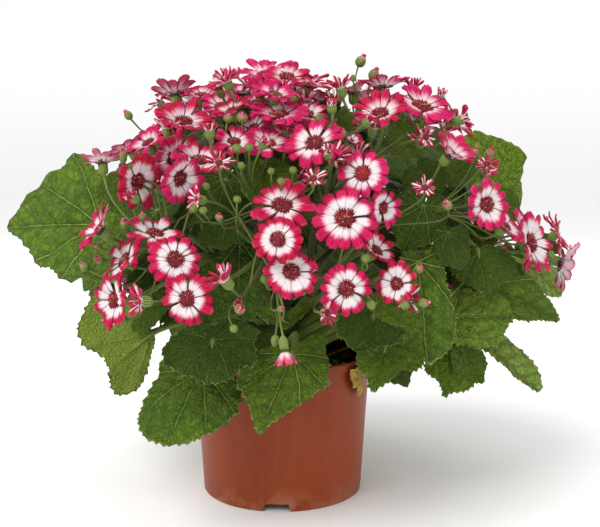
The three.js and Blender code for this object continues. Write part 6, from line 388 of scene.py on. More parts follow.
("o",5,0,(136.5,-102.7,196.9),(0.58,-0.474,0.663),13.7,22.8,12,0,(106,-73.7,204.9),(116.9,-47.7,205.9),(124.8,-67.9,179.9),(132.5,-99.4,192.3),""),
("o",5,0,(167.3,-45.3,178.3),(0.968,-0.117,0.223),15.6,21.7,12,0,(94.9,-82.5,204),(125,-87.7,206.3),(134,-41.3,170.6),(160.6,-44.5,176.7),""),
("q",0,0,(-35.8,-72.4,277.4),(-0.357,-0.536,0.765),12.5,35.2,15,0,(-14.5,-47.6,248.2),(-18.8,-57,261.2),(-30.4,-64.4,266),(-35.8,-72.4,277.4),""),
("q",1,0,(-69.2,-84.4,250.8),(-0.05,-0.174,0.983),13.8,31.2,15,0,(-52.4,-90.9,207.6),(-59.3,-96.2,223),(-68.4,-81.6,235.1),(-69.2,-84.4,250.8),""),
("q",4,0,(104.1,-63.1,250.8),(0.385,-0.099,0.918),12.4,29.6,13,0,(71.1,-53,246.1),(82.2,-57.2,252),(99.6,-61.9,239.9),(104.1,-63.1,250.8),""),
("q",4,0,(15.5,-78,267.9),(0.109,-0.552,0.827),15,23.7,14,0,(16.6,-72.5,242.9),(16.1,-76.8,251.6),(14.5,-73.2,260.7),(15.5,-78,267.9),""),
("q",5,0,(130.5,-64.4,226.3),(0.347,-0.584,0.734),12.1,38.3,15,0,(132.1,-43.9,177.6),(144.7,-51.7,191.2),(124.3,-53.9,213.1),(130.5,-64.4,226.3),""),
("q",4,0,(86.4,-90.6,245.1),(-0.006,-0.651,0.759),12.6,33.8,14,0,(57.5,-75.5,237.1),(66.5,-82.6,242.7),(86.5,-83.2,236.4),(86.4,-90.6,245.1),""),
("o",0,0,(-14.6,-77.2,271.9),(-0.295,-0.362,0.884),14,28.1,11,0,(-14.5,-47.6,248.2),(-14.2,-56.2,256.9),(-9.3,-70.7,256),(-12.6,-74.7,265.7),""),
("q",1,0,(-72.3,-104,217.7),(-0.004,-0.455,0.89),11.6,33.2,13,0,(-57.8,-116.3,169.2),(-67.3,-126.3,183.4),(-72.3,-95.9,201.9),(-72.3,-104,217.7),""),
("q",4,0,(48.2,-103.6,236),(-0.092,-0.677,0.73),14.8,33.3,13,0,(33.3,-84.6,237.9),(37.3,-92.4,240.7),(49,-98,229.9),(48.2,-103.6,236),""),
("q",3,0,(74.9,-136.3,157.4),(-0.071,-0.928,0.367),12.3,39.8,13,0,(49.3,-115.3,166.1),(57.2,-125.6,164.9),(75.8,-125.5,153.1),(74.9,-136.3,157.4),""),
("q",0,0,(-33.5,-60.8,286.1),(-0.248,-0.647,0.722),11.3,24.9,13,0,(-7,3.9,252.5),(-11.5,-7.6,279.3),(-26.9,-43.7,267.1),(-33.5,-60.8,286.1),""),
("o",4,0,(-2.7,-99.7,275.1),(0.165,-0.446,0.88),14.1,27.5,12,0,(16.6,-72.5,242.9),(12.1,-46.4,254.1),(-6.1,-65.2,253.1),(-3.8,-96.6,269),""),
("q",4,0,(56.7,-92.4,251.5),(0.142,-0.443,0.885),13.8,23.9,13,0,(57.5,-75.5,237.1),(59.5,-81.5,242.6),(55.6,-89,244.8),(56.7,-92.4,251.5),""),
]
# leaves: name, stalk it grows on or -1, petiole control points, blade base, along, face, length, width, fold, droop, ripple, margin radii from the tip round
LEAVES = [
("leaf_left_big",-1,(-10.5,0.6,125),(-53.6,2.9,163.9),(-91.1,11.6,188.8),(-137.8,22,191.7),(-0.97,0.244,-0.005),(-0.224,-0.881,0.416),75.8,110.8,8,10,1,(75.8,68.6,61.5,58.2,56.6,55.1,48.9,47.7,48.8,48.3,47.9,44.7,43,41.5,40.1,39.2,38.5,37.8,36.9,35.5,34,32.4,29.4,25.1,22.2,20.8,22.2,25.8,29.8,30.3,31,31.8,32.5,33.3,34.8,36.4,39.3,43.1,48.5,62,71.1,65,65,67.2,66,67.8,70.9,75)),
("leaf_left_pale",-1,(-9.2,-5,103),(-33.3,-18,127.6),(-64,-36.3,134),(-88.7,-48,120.7),(-0.725,-0.31,-0.614),(-0.123,0.937,-0.327),39.2,82.1,8,12,2,(34.6,34.5,33.8,37.3,43.2,45.4,47.9,47.5,46.8,46.8,47.2,44.9,38.6,26.9,17.7,11.1,7.9,6.2,4.8,4.1,3.9,3.3,3.2,3.2,3,3,3,3,3.2,3.2,3.3,3.9,4,4,4.1,4.8,5.5,6.2,7.1,8.5,10.2,13.5,22.1,37,41.1,45.3,43.5,39.2)),
("leaf_bottom_left",-1,(-5.3,-9.1,92),(-19.5,-33.4,117.3),(-34.1,-70.8,123.5),(-48.8,-92,105.9),(-0.43,-0.483,-0.763),(-0.083,-0.82,0.566),52,56.5,6,10,3,(50.4,48.4,47.3,44.4,40.7,41.7,38.8,37.7,36.2,34,31.8,30.3,28.7,26.4,23.6,21.1,17.7,15.9,13.1,10.9,10,9.2,7.8,7,6.2,5.6,5.5,5.4,4.9,5.6,7,8.6,10.8,13.2,16.8,20.7,25.4,27.2,28.5,28,27.8,31.5,34.7,42.7,48.7,51.9,53.2,52)),
("leaf_centre_left",-1,(-3.1,-10,103),(-13.9,-44.8,135.8),(-31.7,-89.1,150.6),(-38.6,-124,131.3),(-0.075,-0.728,-0.682),(0.031,-0.685,0.728),27.2,53.5,4,16,4,(26.6,27.2,27.8,26.7,26.4,25.6,23.7,24,27.7,29.2,27.9,25.8,24.5,25.1,26.6,28.1,24.6,22.8,21.2,19.8,18.9,17.5,15.9,13,10.2,9.4,10.1,11.6,13.5,13.8,14.6,16,17.6,19.8,21.9,23.6,25.9,29.3,30.8,30.5,31.5,30.1,27.5,26.7,27.6,26,25.8,26.4)),
("leaf_over_pot",-1,(1.2,-10.4,92),(4.7,-39.9,118.7),(15.5,-79.7,138),(8.1,-106,119.7),(-0.362,-0.528,-0.768),(0.086,-0.84,0.536),48,49.6,8,10,5,(48,41.3,37.7,34.2,31.8,30.3,29.5,28.9,29.5,29.8,26.7,25.1,24.3,24,22.2,21.2,20.7,21.6,24.6,24.7,21.6,14.8,10.1,6.4,4.2,3.3,3,3,3,3,3,3.1,4.1,6.4,9.8,11.7,14.4,16.8,19.2,22.8,26.7,31.5,35,39.3,38.8,40.1,42.5,46.5)),
("leaf_right_centre",-1,(4.7,-9.4,103),(20.6,-41.2,135),(63.7,-76.7,146.5),(65.3,-110,125.5),(-0.256,-0.677,-0.69),(0.123,-0.731,0.671),29.1,44.9,6,12,6,(29.1,26.6,24.3,22.1,20.4,18.5,18.4,19.8,21.3,23.4,24.9,25,24.9,24.3,23.4,21.1,17.6,15.2,12.3,10.1,8.5,6.9,4.9,4.1,3.9,3.3,3.2,3.2,3.3,3.9,4.1,4.7,4.9,6.2,7.8,9.2,10.8,13,15.3,17.4,18.9,19.8,21.2,22.1,23.3,22.9,24,28.3)),
("leaf_mid_dark",-1,(2.4,-10.2,114),(11.1,-46.3,147.4),(53,-84.7,169.1),(57.2,-118,145.3),(-0.13,-0.602,-0.788),(0.025,-0.796,0.605),23.5,43.2,6,10,7,(23.5,21.4,20,20.4,20.6,21.2,21.9,21.2,20,20.7,22.6,23.5,24,22.8,21.2,19,16.8,15.3,13.7,11.7,10.8,10,9.2,7.8,7,6.2,5.6,5.4,4.9,5.6,7.1,9.3,12.1,13.8,16,18.1,19.1,20.5,22,23.4,24.3,25.4,23.8,24.3,24.9,24.3,19.1,20.1)),
("leaf_right_large",-1,(5.5,-9,125),(25.4,-41.7,159.5),(68.8,-71.7,205.8),(86,-96,175.4),(0.112,-0.29,-0.95),(0.097,-0.949,0.301),60,35.6,10,12,8,(60,60,56.6,47.7,39.5,28.5,21.2,19.7,18.2,16.2,15.3,15.3,15.3,15.9,16,16,15.8,13.6,10.1,7,4.2,3.3,3,3,3,3,3.5,6.2,8.4,9.2,10.1,11.3,10.8,10.8,10.8,11.5,12.2,13.1,14.5,16.1,18.3,21.3,25.2,31,37.2,45.2,52.5,57.1)),
("leaf_lower_right",-1,(8.3,-6.5,92),(36.9,-28.7,124.6),(106.5,-31.7,148.6),(117.7,-54,117),(-0.228,-0.419,-0.879),(0.08,-0.908,0.411),34.8,32,6,12,9,(34.8,33.5,33.2,33.1,31.8,29.2,14.1,11.6,11.6,12,10.8,10.1,9.9,9.2,7.8,7,6.3,6.2,6.2,6.2,6.2,5.5,4.8,4.1,3.9,3.3,3.2,3.2,3.2,3.2,3.2,3.2,3.2,3.2,3.2,3.3,3.9,4.1,4.8,6.3,9,16.2,24.4,27.8,28.7,28.7,28.4,31.2)),
("leaf_right_mid",-1,(9.4,-4.8,103),(42.5,-21.7,136.5),(71.3,-63.3,136.1),(112.4,-68,135.7),(0.99,0.142,0.008),(0.129,-0.92,0.37),42.5,39.3,4,8,10,(42.5,42.3,41.4,39.7,35.2,28.5,25.9,25,24.3,23.5,22.6,20.6,18.9,16.2,14.5,12.9,10.1,7.8,6.2,4.8,4,3.3,3.2,3,3,3,3.3,4,4.8,5.6,7.1,9.2,10.8,12.2,13.8,15.8,16.2,17.4,18.2,18.4,20.4,26.6,28.3,31.8,35.7,35.8,37.6,38.9)),
("leaf_right_point",-1,(8,-6.8,114),(40.5,-34.1,152.2),(95.7,-38.7,164),(141.4,-40,152.4),(0.926,0.104,-0.363),(0.269,-0.856,0.441),55.2,34.9,10,6,11,(55.2,52.4,45.7,42.3,38.8,31.2,19.7,13.3,10.2,8.6,7.8,7,6.2,4.8,4.1,3.9,3.3,3.2,3.2,3.2,3.2,3.2,3.3,3.9,4.1,4.7,4.8,4.8,4.7,4,3.3,3.2,3.2,3.3,4.1,5.4,5.7,6.9,7.8,9.3,11.5,13.8,17.5,26.6,31.1,35.5,40.3,47.6)),
("leaf_right_edge",-1,(10.5,-0.3,92),(50.3,-1.2,127.8),(98.1,-33.3,134),(137.5,-36,114.2),(0.789,0.071,-0.61),(0.421,-0.786,0.453),52.8,30.9,8,6,12,(47.9,52.8,49.5,37.6,30.1,27.8,24.3,20.4,16.1,12.2,8.7,6.4,5.5,4.8,4,3.3,3.2,3.2,3,3,3,3,3,3,3,3,3,3,3,3,3,3,3.1,4.2,6.6,6.3,6.2,6.2,5.6,5.5,5.4,4.8,4.8,4.8,5.6,7.3,12.6,27.9)),
("leaf_right_dark",-1,(9.7,-3.9,125),(51.1,-20.5,165.1),(102.3,-52.2,214.8),(126.1,-80,181.4),(0.128,-0.401,-0.907),(0.006,-0.914,0.405),27.7,43.3,6,10,13,(27.7,26.7,26.5,26.6,27.1,26.7,27.4,29.1,27.8,24.3,20.5,16.8,13.1,10.2,8.3,5,3.2,3,3,3,3,3,3,3,3,3,3,3,3,3,3,3.2,4.8,6.9,8.7,11.6,15.4,20.1,21.9,22.7,22.8,22.8,23.4,23.5,23.6,24.3,25.7,26.6)),
("leaf_right_pale",-1,(10.5,-0.7,114),(62.2,-3.9,160.6),(124.8,1.2,188.5),(177,6,164.8),(0.779,0.102,-0.619),(0.351,-0.889,0.295),39.5,30.7,4,6,14,(39.5,39.3,39.3,39.5,34.2,18.6,10.8,5.2,3.4,3,3,3,3,3,3,3,3,3,3,3,3,3,3,3,3,3,3,3,3,3,3,3,3,3,3,3,3.3,5.3,6.2,7.1,8.5,10,11.7,14.6,18.4,23.9,32,36.2)),
("leaf_inner_dark",-1,(-3.8,-9.8,125),(-13.3,-33.7,148.1),(-21.3,-43.5,203.5),(-26,-66,186.7),(-0.02,-0.447,-0.894),(0.003,-0.895,0.447),54.5,60.3,6,8,15,(54.5,53.4,50.8,44.4,37.2,31.2,27.3,24.1,19.9,16.8,14.4,11.6,9.4,8.4,6.8,3.4,3,3,3,3,3,3,3,3,3,3,3,3,3,3,3,3,3,3.1,4,5,8,13,18.4,24.9,30.8,35,42.1,54.5,67,61.8,55.4,52.6)),
("leaf_back_1",-1,(9.3,4.9,103),(31.4,16.5,125.5),(53,30.6,143.5),(77.7,40.7,136),(0.838,0.286,-0.465),(0.407,0.241,0.881),81.7,80,6,12,61,(87.5,79.2,69.4,63.6,60.5,55.8,50.4,46.6,45.4,45.3,44.9,43.1,39.7,36.4,34.7,34.3,34.3,33.7,32,30.1,29.4,28.1,23.9,15.5,4.8,15.7,24.5,29.3,31,32,33.8,34.7,34.3,33.2,32.6,33.6,36.3,39.8,42.4,44,45.4,48.1,53.2,59.4,64,66.1,70.8,79.8)),
("leaf_back_2",-1,(5.3,9.1,92),(17,29,112.8),(31.5,49.6,127.7),(42,71.7,120),(0.329,0.806,-0.492),(0.261,0.423,0.868),93.5,84,6,12,62,(93.6,84.5,76.3,74,72.6,65.6,57.5,51.2,48.3,46.6,44.6,42.1,39,36.6,35.7,36,37.1,37.6,36.2,33.9,32.4,32.4,28.2,19.5,5.9,20,29,32.8,31.9,32.7,34.8,36.4,36.6,36.3,36.7,38.2,40.8,43.8,45.8,46.9,47.7,49.7,55.4,63.5,71.6,74.9,78.5,86.4)),
("leaf_back_3",-1,(-0.7,10.5,103),(-2.5,34.6,124.7),(-6.4,58.6,142.8),(-6,84.5,136),(0.064,0.89,-0.451),(-0.054,0.454,0.889),93.2,84,6,12,63,(99.8,92.3,82,75.8,70.6,61.9,53.7,48.3,46.6,45.9,44.7,42.7,39.6,37,35.7,35.6,36.5,37.1,36.4,34.9,34.2,34.5,29.4,19.3,5.5,18.1,26.8,31.8,32.7,34.7,37.2,38.5,38,36.8,36.6,37.6,40.2,43.4,45.8,47.4,48.4,50.2,55,61.4,67.3,69.8,75,87.1)),
("leaf_back_4",-1,(-6.5,8.2,92),(-20.9,26.4,112.9),(-34.8,47.3,127.4),(-51.7,65.2,120),(-0.639,0.606,-0.474),(-0.28,0.39,0.877),92.9,84,6,12,64,(75.9,63.7,55.6,50.1,46.3,43.6,42,41.2,41.2,41.9,43.4,42,39.4,37.5,36.9,37.6,39,39.6,38.1,35.1,32.8,31.7,26.7,18.1,5.5,19,28.6,33.4,33.3,34.5,36.6,38,37.9,37.2,37.1,38.2,40.4,42.8,44.2,44.8,45.2,46.8,52.4,60.9,70.2,75.6,81.8,92)),
("leaf_back_5",-1,(-9.9,3.5,114),(-31.5,11.3,134.7),(-56.8,18.1,145.4),(-78.9,28.3,138),(-0.785,0.42,-0.456),(-0.441,0.138,0.887),83.3,80,6,12,65,(86.2,79.2,70.8,66,63,57.4,51,46.6,45.1,45,44.6,43,39.9,36.9,35.1,34.5,34.3,33.4,31.6,29.7,29.2,28.8,25.1,16.6,5.1,16.4,24.9,29.3,30.6,31.8,33.9,35.1,34.7,33.6,32.9,33.7,36.1,39.3,41.9,43.8,45.7,48.9,54.6,61.4,66,67.2,70.3,78.3)),
("leaf_back_6",-1,(8.8,5.7,114),(38.2,24.4,145.4),(72.6,13.7,177.7),(108.7,26.7,172),(0.857,0.389,-0.339),(0.354,0.036,0.935),70.8,70,6,12,66,(73,66.3,59.5,56.7,56,52.9,47.8,43.2,40.4,38.9,37.3,34.9,31.8,29.4,28.6,29.1,29.9,30,28.8,27,26.1,24.7,21,13.7,4.3,13.9,21.3,24.6,25.3,25.6,27,28.5,29.3,29.6,30.2,31.8,34.7,37.6,39.2,39.5,39.7,41.2,45,50.1,54.3,56.5,60.6,67.4)),
("leaf_back_7",-1,(3.8,9.8,114),(15.1,39.2,142.4),(47.1,53.8,168.5),(73.6,75.1,160),(0.724,0.527,-0.446),(0.297,0.346,0.89),85.2,74,6,12,67,(90.3,83.4,74.4,69.2,63.6,54.7,46.8,41.8,39.9,39.5,38.6,37.3,35.2,33.4,32.6,32.7,33.6,33.9,33.1,31.4,30.4,30.9,26.7,18.1,5.1,17.1,24.7,29,29.5,31.7,34.1,35.2,34.7,33.4,32.9,33.5,35.1,37.3,39.1,40.3,41.3,43.5,48.3,55.1,61.8,65,68.9,79.1)),
("leaf_back_8",-1,(1.9,10.3,125),(7.6,42.4,154.3),(16.6,71.3,180.9),(19.1,106.7,174),(0.007,0.924,-0.382),(0.106,0.379,0.919),83.8,76,6,12,68,(91,79.7,68.4,63.1,60.4,55,49.2,45,43.4,42.6,41.3,39.2,36.3,34,33,33.3,34.4,34.9,33.8,31.6,29.8,28.9,24.2,16.1,4.9,17.1,26.1,30.9,31,31.8,33.2,33.8,33.3,32.4,32.4,33.5,35.9,38.6,40.5,41.5,42,43.5,48.2,55.3,63,67.7,73.7,83.6)),
("leaf_back_9",-1,(-4.3,9.6,114),(-17.2,38,142),(-32.4,63.4,167.5),(-43.1,95.4,160),(-0.235,0.88,-0.413),(-0.199,0.372,0.907),87.2,76,6,12,69,(87.3,79.8,72,68.8,65.2,57.5,50.1,45.2,43.3,42.6,41.5,39.7,37.1,34.9,33.7,33.4,33.8,33.6,32.3,30.3,29.3,30.2,26.9,18.8,5.5,18.7,26.8,30.7,30.3,31.6,33.5,34.4,33.8,32.7,32.4,33.1,35.1,37.7,39.9,41.7,43.3,46.2,52,59.8,67.2,69.7,71.8,79.2)),
("leaf_back_10",-1,(-8.1,6.7,125),(-33,27.3,154.1),(-58.2,43.3,180.7),(-89.5,59.5,174),(-0.848,0.376,-0.374),(-0.296,0.25,0.922),80.3,72,6,12,70,(85.3,77,67.7,63.4,60.6,54.6,48.3,43.7,41.7,40.3,38.5,36,32.9,30.6,29.5,29.7,30.9,31.9,31.7,30.5,29.7,29.5,24.9,16.5,4.8,16.2,24.2,28.2,28.1,29,30.5,31.4,31.2,30.8,31.2,32.7,35.5,38.5,40.6,41.7,42.1,43,46.6,51.9,57.4,60.5,65.7,76)),
("leaf_back_11",-1,(-10.5,0.4,92),(-34.8,1.2,113.9),(-63.1,-0.8,127.7),(-87.9,3,118),(-0.806,0.197,-0.558),(-0.567,0.013,0.824),53.8,51,6,12,71,(56.7,52.1,47,44.2,42.2,37.7,32.6,28.8,27.1,26.6,26.2,25.5,24.1,23,22.7,23,23.4,23.1,21.8,20.1,19.1,18.5,15.9,10.6,3.2,10.4,15.6,18.2,18.9,20,21.8,23.2,23.6,23.1,22.9,23.2,24.3,25.7,26.4,26.8,27.4,28.9,32.5,37.4,41.6,43.4,46.1,51.5)),
("left_mid",1,(-65.9,-76.9,199.1),(-81.4,-57.7,189.6),(-94.1,-33.2,183.2),(-110.3,-22,172),(-0.771,0.264,-0.579),(-0.477,-0.841,0.253),43.2,52,6,8,31,(43.2,35,28.2,22.9,19.2,16.8,14.7,13.8,13,12.2,11.5,10.8,10.7,10.1,10,9.9,8.9,5,3.2,3,3,3,3,3,3,3,3,3,3,3,3,3,3,3,3,3.3,6.5,12.6,21.3,25.2,30.4,36.4,38,40.8,44.3,45.6,43.8,42)),
("left_dark",1,(-44.4,-68.7,175.8),(-55.2,-63.6,164.2),(-64.4,-55.1,152),(-75.2,-54,142.8),(-0.818,-0.128,-0.56),(-0.121,-0.915,0.386),29.1,20,4,6,32,(29.1,27.5,24,16.8,9.7,6.9,5.4,4.5,4,3.6,3.3,3.1,3,2.9,2.9,3,3.1,3.2,3.5,3.8,4.3,4.2,4,3.8,3.6,4.1,4.3,4.5,4.7,5.1,5.5,5.9,6.3,6.8,7.3,7.7,8.2,8.8,9.4,10.1,10.8,12,13.1,15.2,17.3,20.8,25.9,28.7)),
("small_pointed",3,(46.5,-109.4,165.8),(50.2,-118,162.2),(51,-129.5,159.8),(57,-134,155.5),(0.843,-0.128,-0.522),(0.126,-0.897,0.423),28.8,17,8,4,33,(28.8,26,21.8,17.5,14.5,12.8,11.1,10.1,9.1,8.5,7.9,7.4,6.9,6.5,6.1,5.7,5.3,5,4.6,4.3,4,3.8,3.6,3.5,3.3,3,3.2,3.3,3.4,3.7,4,4.3,4.6,5,5.3,5.7,6,6.5,6.9,7.4,7.9,8.8,9.6,11.1,12.7,15.2,19,24.1)),
("right_dark2",5,(91,-76.1,200.3),(95.9,-81.6,198),(101.9,-87.8,197.9),(104.8,-92,193.7),(0.229,-0.48,-0.847),(0.073,-0.859,0.507),23.5,24.3,6,10,34,(23.5,23.5,23.4,21.9,19.8,17.5,15.4,14.5,13.8,13.8,13.8,13.6,12.2,10.8,10.1,9.3,3.7,3,3,3,3.2,3.3,4,4.7,4.8,4.8,4.8,4.8,4.8,4.8,5.5,6.2,7,7.7,7.8,8.5,9.2,10.1,11.4,12.2,13.1,14.5,16.1,18.2,19.7,20.7,22.6,23.4)),
("up_right",5,(103.5,-26.6,207.9),(121.4,-14.2,211.2),(147.6,3.6,200.6),(154.5,9,217.3),(-0.242,-0.134,0.961),(0.19,-0.978,-0.088),45,51.4,6,8,35,(42.4,45,43.9,41.7,39.3,35.7,32.6,29,26.5,23.6,20.7,19.1,17.5,15.3,13.2,12.3,11.6,10.9,10.6,9.4,8.5,7.2,7.1,7.8,8.6,10.2,13,15.5,19.6,22.1,24.1,24.3,23.7,23.6,23.5,22.9,22.2,22.2,23.2,26.9,32.9,35.4,35.7,35.7,36.4,37.2,38.6,39.7)),
("up_right2",5,(123.2,-42.8,177.4),(137.5,-24.3,183.2),(155.1,1.9,177.2),(164,10,193.9),(0.132,-0.079,0.988),(0.155,-0.983,-0.1),23.1,18.3,6,8,36,(23.1,21.9,21,19.6,18.1,16.6,14.3,11.6,9.9,8.4,6.3,4.8,4,3.3,3,3,3,3,3,3,3,3,3,3,3,3,3,3,3,3,3,3,3,3,3.3,4,4.8,6.2,7.8,9.8,10.8,12.2,13.7,15.2,17.4,19.6,21.1,22.5)),
("centre_curl",2,(-13.7,-103.1,211.1),(-12.4,-103.4,220.1),(-12.6,-96.7,236.3),(-9.9,-104,236.8),(0.098,-0.586,-0.804),(-0.034,-0.81,0.586),30.7,37.4,26,22,37,(30.7,29.5,28.1,27.3,27.2,27.2,27.2,26.2,22.4,15.6,10.9,7.9,6.1,3.3,3,3,3,3,3,3,3,3,3,3,3,3,3,3,3,3,3,3,3,3,3.2,4.7,6.2,7.8,9.4,12.2,14.5,16.9,20.4,22.8,25.6,27.2,28.1,29.5)),
("centre_dark",1,(-50.4,-86.6,202.8),(-44.3,-88.5,203.1),(-35.9,-88.9,207),(-32.8,-92,203.6),(-0.069,-0.512,-0.856),(0.008,-0.858,0.513),22.1,29.1,6,6,38,(21.9,21.2,20.4,18.9,21.6,21.9,20.5,19.1,18,14.7,11.8,5.9,3.3,3,3,3,3,3,3,3,3,3,3,3,3,3,3,3,3,3,3,3,3,3,3,3,3,3,3,3.8,10.6,16.8,22.9,24.3,25.2,22.5,22.6,22.1)),
("top_small",4,(42.8,-54.6,246.3),(42.4,-56.5,249.9),(41.6,-59.5,253),(41.5,-60,256.4),(0.041,0.123,0.992),(0.1,-0.988,0.118),16.3,11.7,14,4,39,(16.9,14.8,12.8,11.7,10.2,8.6,7.6,7.2,7,6.8,6.5,6.2,5.8,5.5,5.3,5.3,5.4,5.5,5.6,5.5,5.3,5.4,5.2,3.9,1,3.9,5.3,5.7,5.7,5.9,5.9,5.6,5.3,5,4.9,5,5.3,5.6,6,6.4,6.8,7.3,8,9.2,10.9,12.3,12.9,14.7)),
("olive",5,(123.2,-42.8,177.4),(127.6,-47.4,182.7),(136.1,-49.1,194.2),(135.8,-56,192.5),(-0.484,-0.423,-0.766),(0.016,-0.88,0.475),18.9,19.7,6,6,40,(19.5,17.8,16,15.2,15.1,14.6,13.4,12.2,11.4,11,10.6,9.9,9,8.3,8,8.2,8.3,8.2,7.7,7.3,7,6.5,5.5,3.6,1.2,3.6,5.7,6.6,6.9,6.9,7.3,7.8,8.1,8.2,8.4,8.8,9.7,10.6,11,11,11.1,11.6,12.7,14,14.9,15.4,16.4,18.1)),
("low_curl_l",2,(-1.8,-123.2,168.9),(-1,-121.4,159.4),(8,-116.5,144.8),(0.4,-118,141.6),(-0.792,-0.301,0.532),(0.535,-0.762,0.365),19.9,8.3,30,4,41,(21,16.9,13.7,9.9,7.5,6.4,5.7,5.2,4.9,4.6,4.3,4.1,3.9,3.9,3.9,3.9,4.1,4.3,4.7,5.3,5.8,6.2,6.4,6.2,1.2,5.6,6.2,6.2,6,5.5,4.9,4.4,4.2,3.9,3.9,3.9,4,4.2,4.4,4.6,5,5.4,5.9,6.6,7.8,10,13.2,15.5)),
("low_curl_r",2,(-1.8,-123.2,168.9),(0.9,-120.7,159),(-2.4,-119.3,142.5),(5.8,-116,140.7),(0.789,0.202,0.581),(-0.289,-0.713,0.639),19.8,9.6,30,4,42,(21.7,16.3,13.5,11.1,8.9,7.6,6.8,6.3,5.8,5.5,5.1,4.9,4.6,4.5,4.4,4.5,4.6,5,5.4,6,6.4,6.5,6.5,5.4,1.1,5.8,6.8,6.4,6.2,5.8,5.3,4.8,4.6,4.4,4.4,4.5,4.6,4.8,5.1,5.4,5.8,6.1,6.6,7.3,8.7,11.1,14.2,17.4)),
("mid_right_a",4,(64.9,-50.8,240.3),(71.1,-56.1,241.8),(80.5,-64.2,238.1),(82.5,-66,244.7),(-0.322,0.264,0.909),(0.149,-0.934,0.324),22.7,21.9,20,4,43,(22.9,21.1,19.2,18.3,17.7,16.2,14.3,12.9,12.3,12.1,12,11.5,10.8,10,9.7,9.6,9.5,9.2,8.7,8,7.8,7.7,6.8,4.6,1.4,4.6,6.8,7.9,8.1,8.4,9.1,9.5,9.6,9.4,9.2,9.5,10.1,10.9,11.5,11.9,12.4,13.3,15,17,18.3,18.6,19.3,21)),
("mid_right_b",5,(91,-76.1,200.3),(90.6,-73.9,210.9),(81.4,-66.6,228.9),(89.9,-70,230.7),(0.569,-0.385,-0.727),(-0.027,-0.892,0.452),20.8,28,10,8,44,(22,20.8,19.2,18.1,17.8,17.9,17.6,16.6,15.6,15.2,15.1,14.5,12.9,11.4,11,11.1,10.7,9.9,9.1,8.6,8,6.8,5.4,3.3,1.2,3.3,5.4,6.6,7.7,8.3,8.7,9.5,10.5,11.1,11.4,12.1,13.8,15.3,15.6,15.2,15.2,15.9,16.8,17.1,17.1,17.6,18.9,20.6)),
("mid_right_c",5,(91,-76.1,200.3),(91,-78.8,203.7),(92.5,-80.6,210.7),(90.8,-84,210.1),(-0.429,-0.378,-0.82),(0.055,-0.917,0.394),31.7,34.9,8,8,45,(33.4,31.3,28.7,27.1,26.5,25.1,22.5,19.9,18.2,17.8,17.7,17.4,16.4,15.4,15.2,15.4,15.3,14.5,13.2,12.1,11.8,10.7,9.1,5.7,1.9,5.6,8.9,10.3,11.4,11.9,13,14.5,15.4,15.6,15.5,15.7,16.7,17.7,18.1,18,18.4,19.8,22.2,24.6,25.8,26.3,28,30.8)),
("top_right_in",5,(103.5,-26.6,207.9),(108.5,-26.8,214.8),(112.5,-28,222.7),(117.6,-27,227.8),(0.785,0.27,0.557),(0.114,-0.947,0.299),22.2,20.7,8,4,46,(24.1,21.5,18.5,16.9,16,14.6,13.1,12.1,11.8,11.8,11.5,11,10.1,9.4,9,9,9.1,9.1,8.8,8.3,7.9,7.7,6.5,4.3,1.3,4.4,6.8,8.1,8.4,8.6,9,9.2,9,8.7,8.6,8.9,9.5,10.4,11,11.4,11.7,12.2,13.5,15.3,16.9,17.8,19.3,21.9)),
("left_in",0,(-45.4,1.3,235.5),(-71.9,-1.3,226.7),(-110.9,-6.2,188.8),(-121.2,-6,210.5),(0.541,0.084,0.836),(-0.088,-0.984,0.156),23.8,28.5,6,4,47,(23.6,22.1,20.5,19.6,19.9,20.1,18.9,17.2,15.8,15.3,15.3,14.7,13.5,12.4,12,12,11.6,10.6,9.5,8.8,8.7,7.7,6.7,4.2,1.5,4.3,6.9,8,8.9,8.9,9.5,10.5,11.4,11.9,11.9,12.4,13.6,14.8,15.2,15.2,15.5,17,18.9,20.3,20.3,20.2,21,22.5)),
("bs_1",6,(83.6,41.7,211.6),(86.5,49.3,212.8),(86.7,59.1,217.4),(91.7,63.3,215),(0.772,0.09,-0.629),(0.565,0.354,0.745),39.8,40,8,8,81,(41.8,38.2,34.1,32.1,31.5,29.8,27,24.4,23,22.2,21.3,20,18.2,16.7,16.2,16.5,17,17,16.4,15.5,15,14,11.8,7.6,2.4,7.6,11.7,13.7,14.4,14.6,15.4,16.3,16.8,16.9,17.2,18.1,19.8,21.6,22.5,22.7,22.7,23.5,25.4,28,30.1,31.4,34,38.3)),
("bs_2",6,(47,93.1,182.1),(41.3,99.8,195.4),(36,99.8,219.3),(30.5,112.3,220),(-0.172,0.738,-0.652),(0.136,0.673,0.727),42.9,44,8,8,82,(45.4,42.5,38.7,36.3,34.8,31.9,28,24.8,23.1,22.7,22.7,22.2,21,19.8,19.4,19.5,19.5,18.9,17.5,16.2,15.7,14.8,12.6,8.1,2.6,7.9,12.1,14.1,15.3,16.2,17.8,19.3,19.9,19.8,19.5,19.7,20.8,22.1,22.8,23.1,23.7,25.3,28.3,31.7,33.9,34.8,37,41.3)),
("bs_3",7,(-17.8,90.7,200.2),(-25.2,95.9,207.8),(-35.3,96.1,222.4),(-39,105.5,222),(0.085,0.792,-0.605),(-0.201,0.608,0.768),43,42,8,8,83,(46.5,41.4,35.9,32.9,31.6,29.5,26.8,24.8,24,23.7,23.3,22.1,20.3,18.8,18.1,18.1,18.3,18.2,17.4,16.2,15.5,14.6,12.3,8,2.5,8.3,13.1,15.6,16.4,16.7,17.5,18,17.9,17.5,17.4,18,19.6,21.3,22.4,23,23.4,24.6,27.1,30.5,33.5,35.2,38.2,43)),
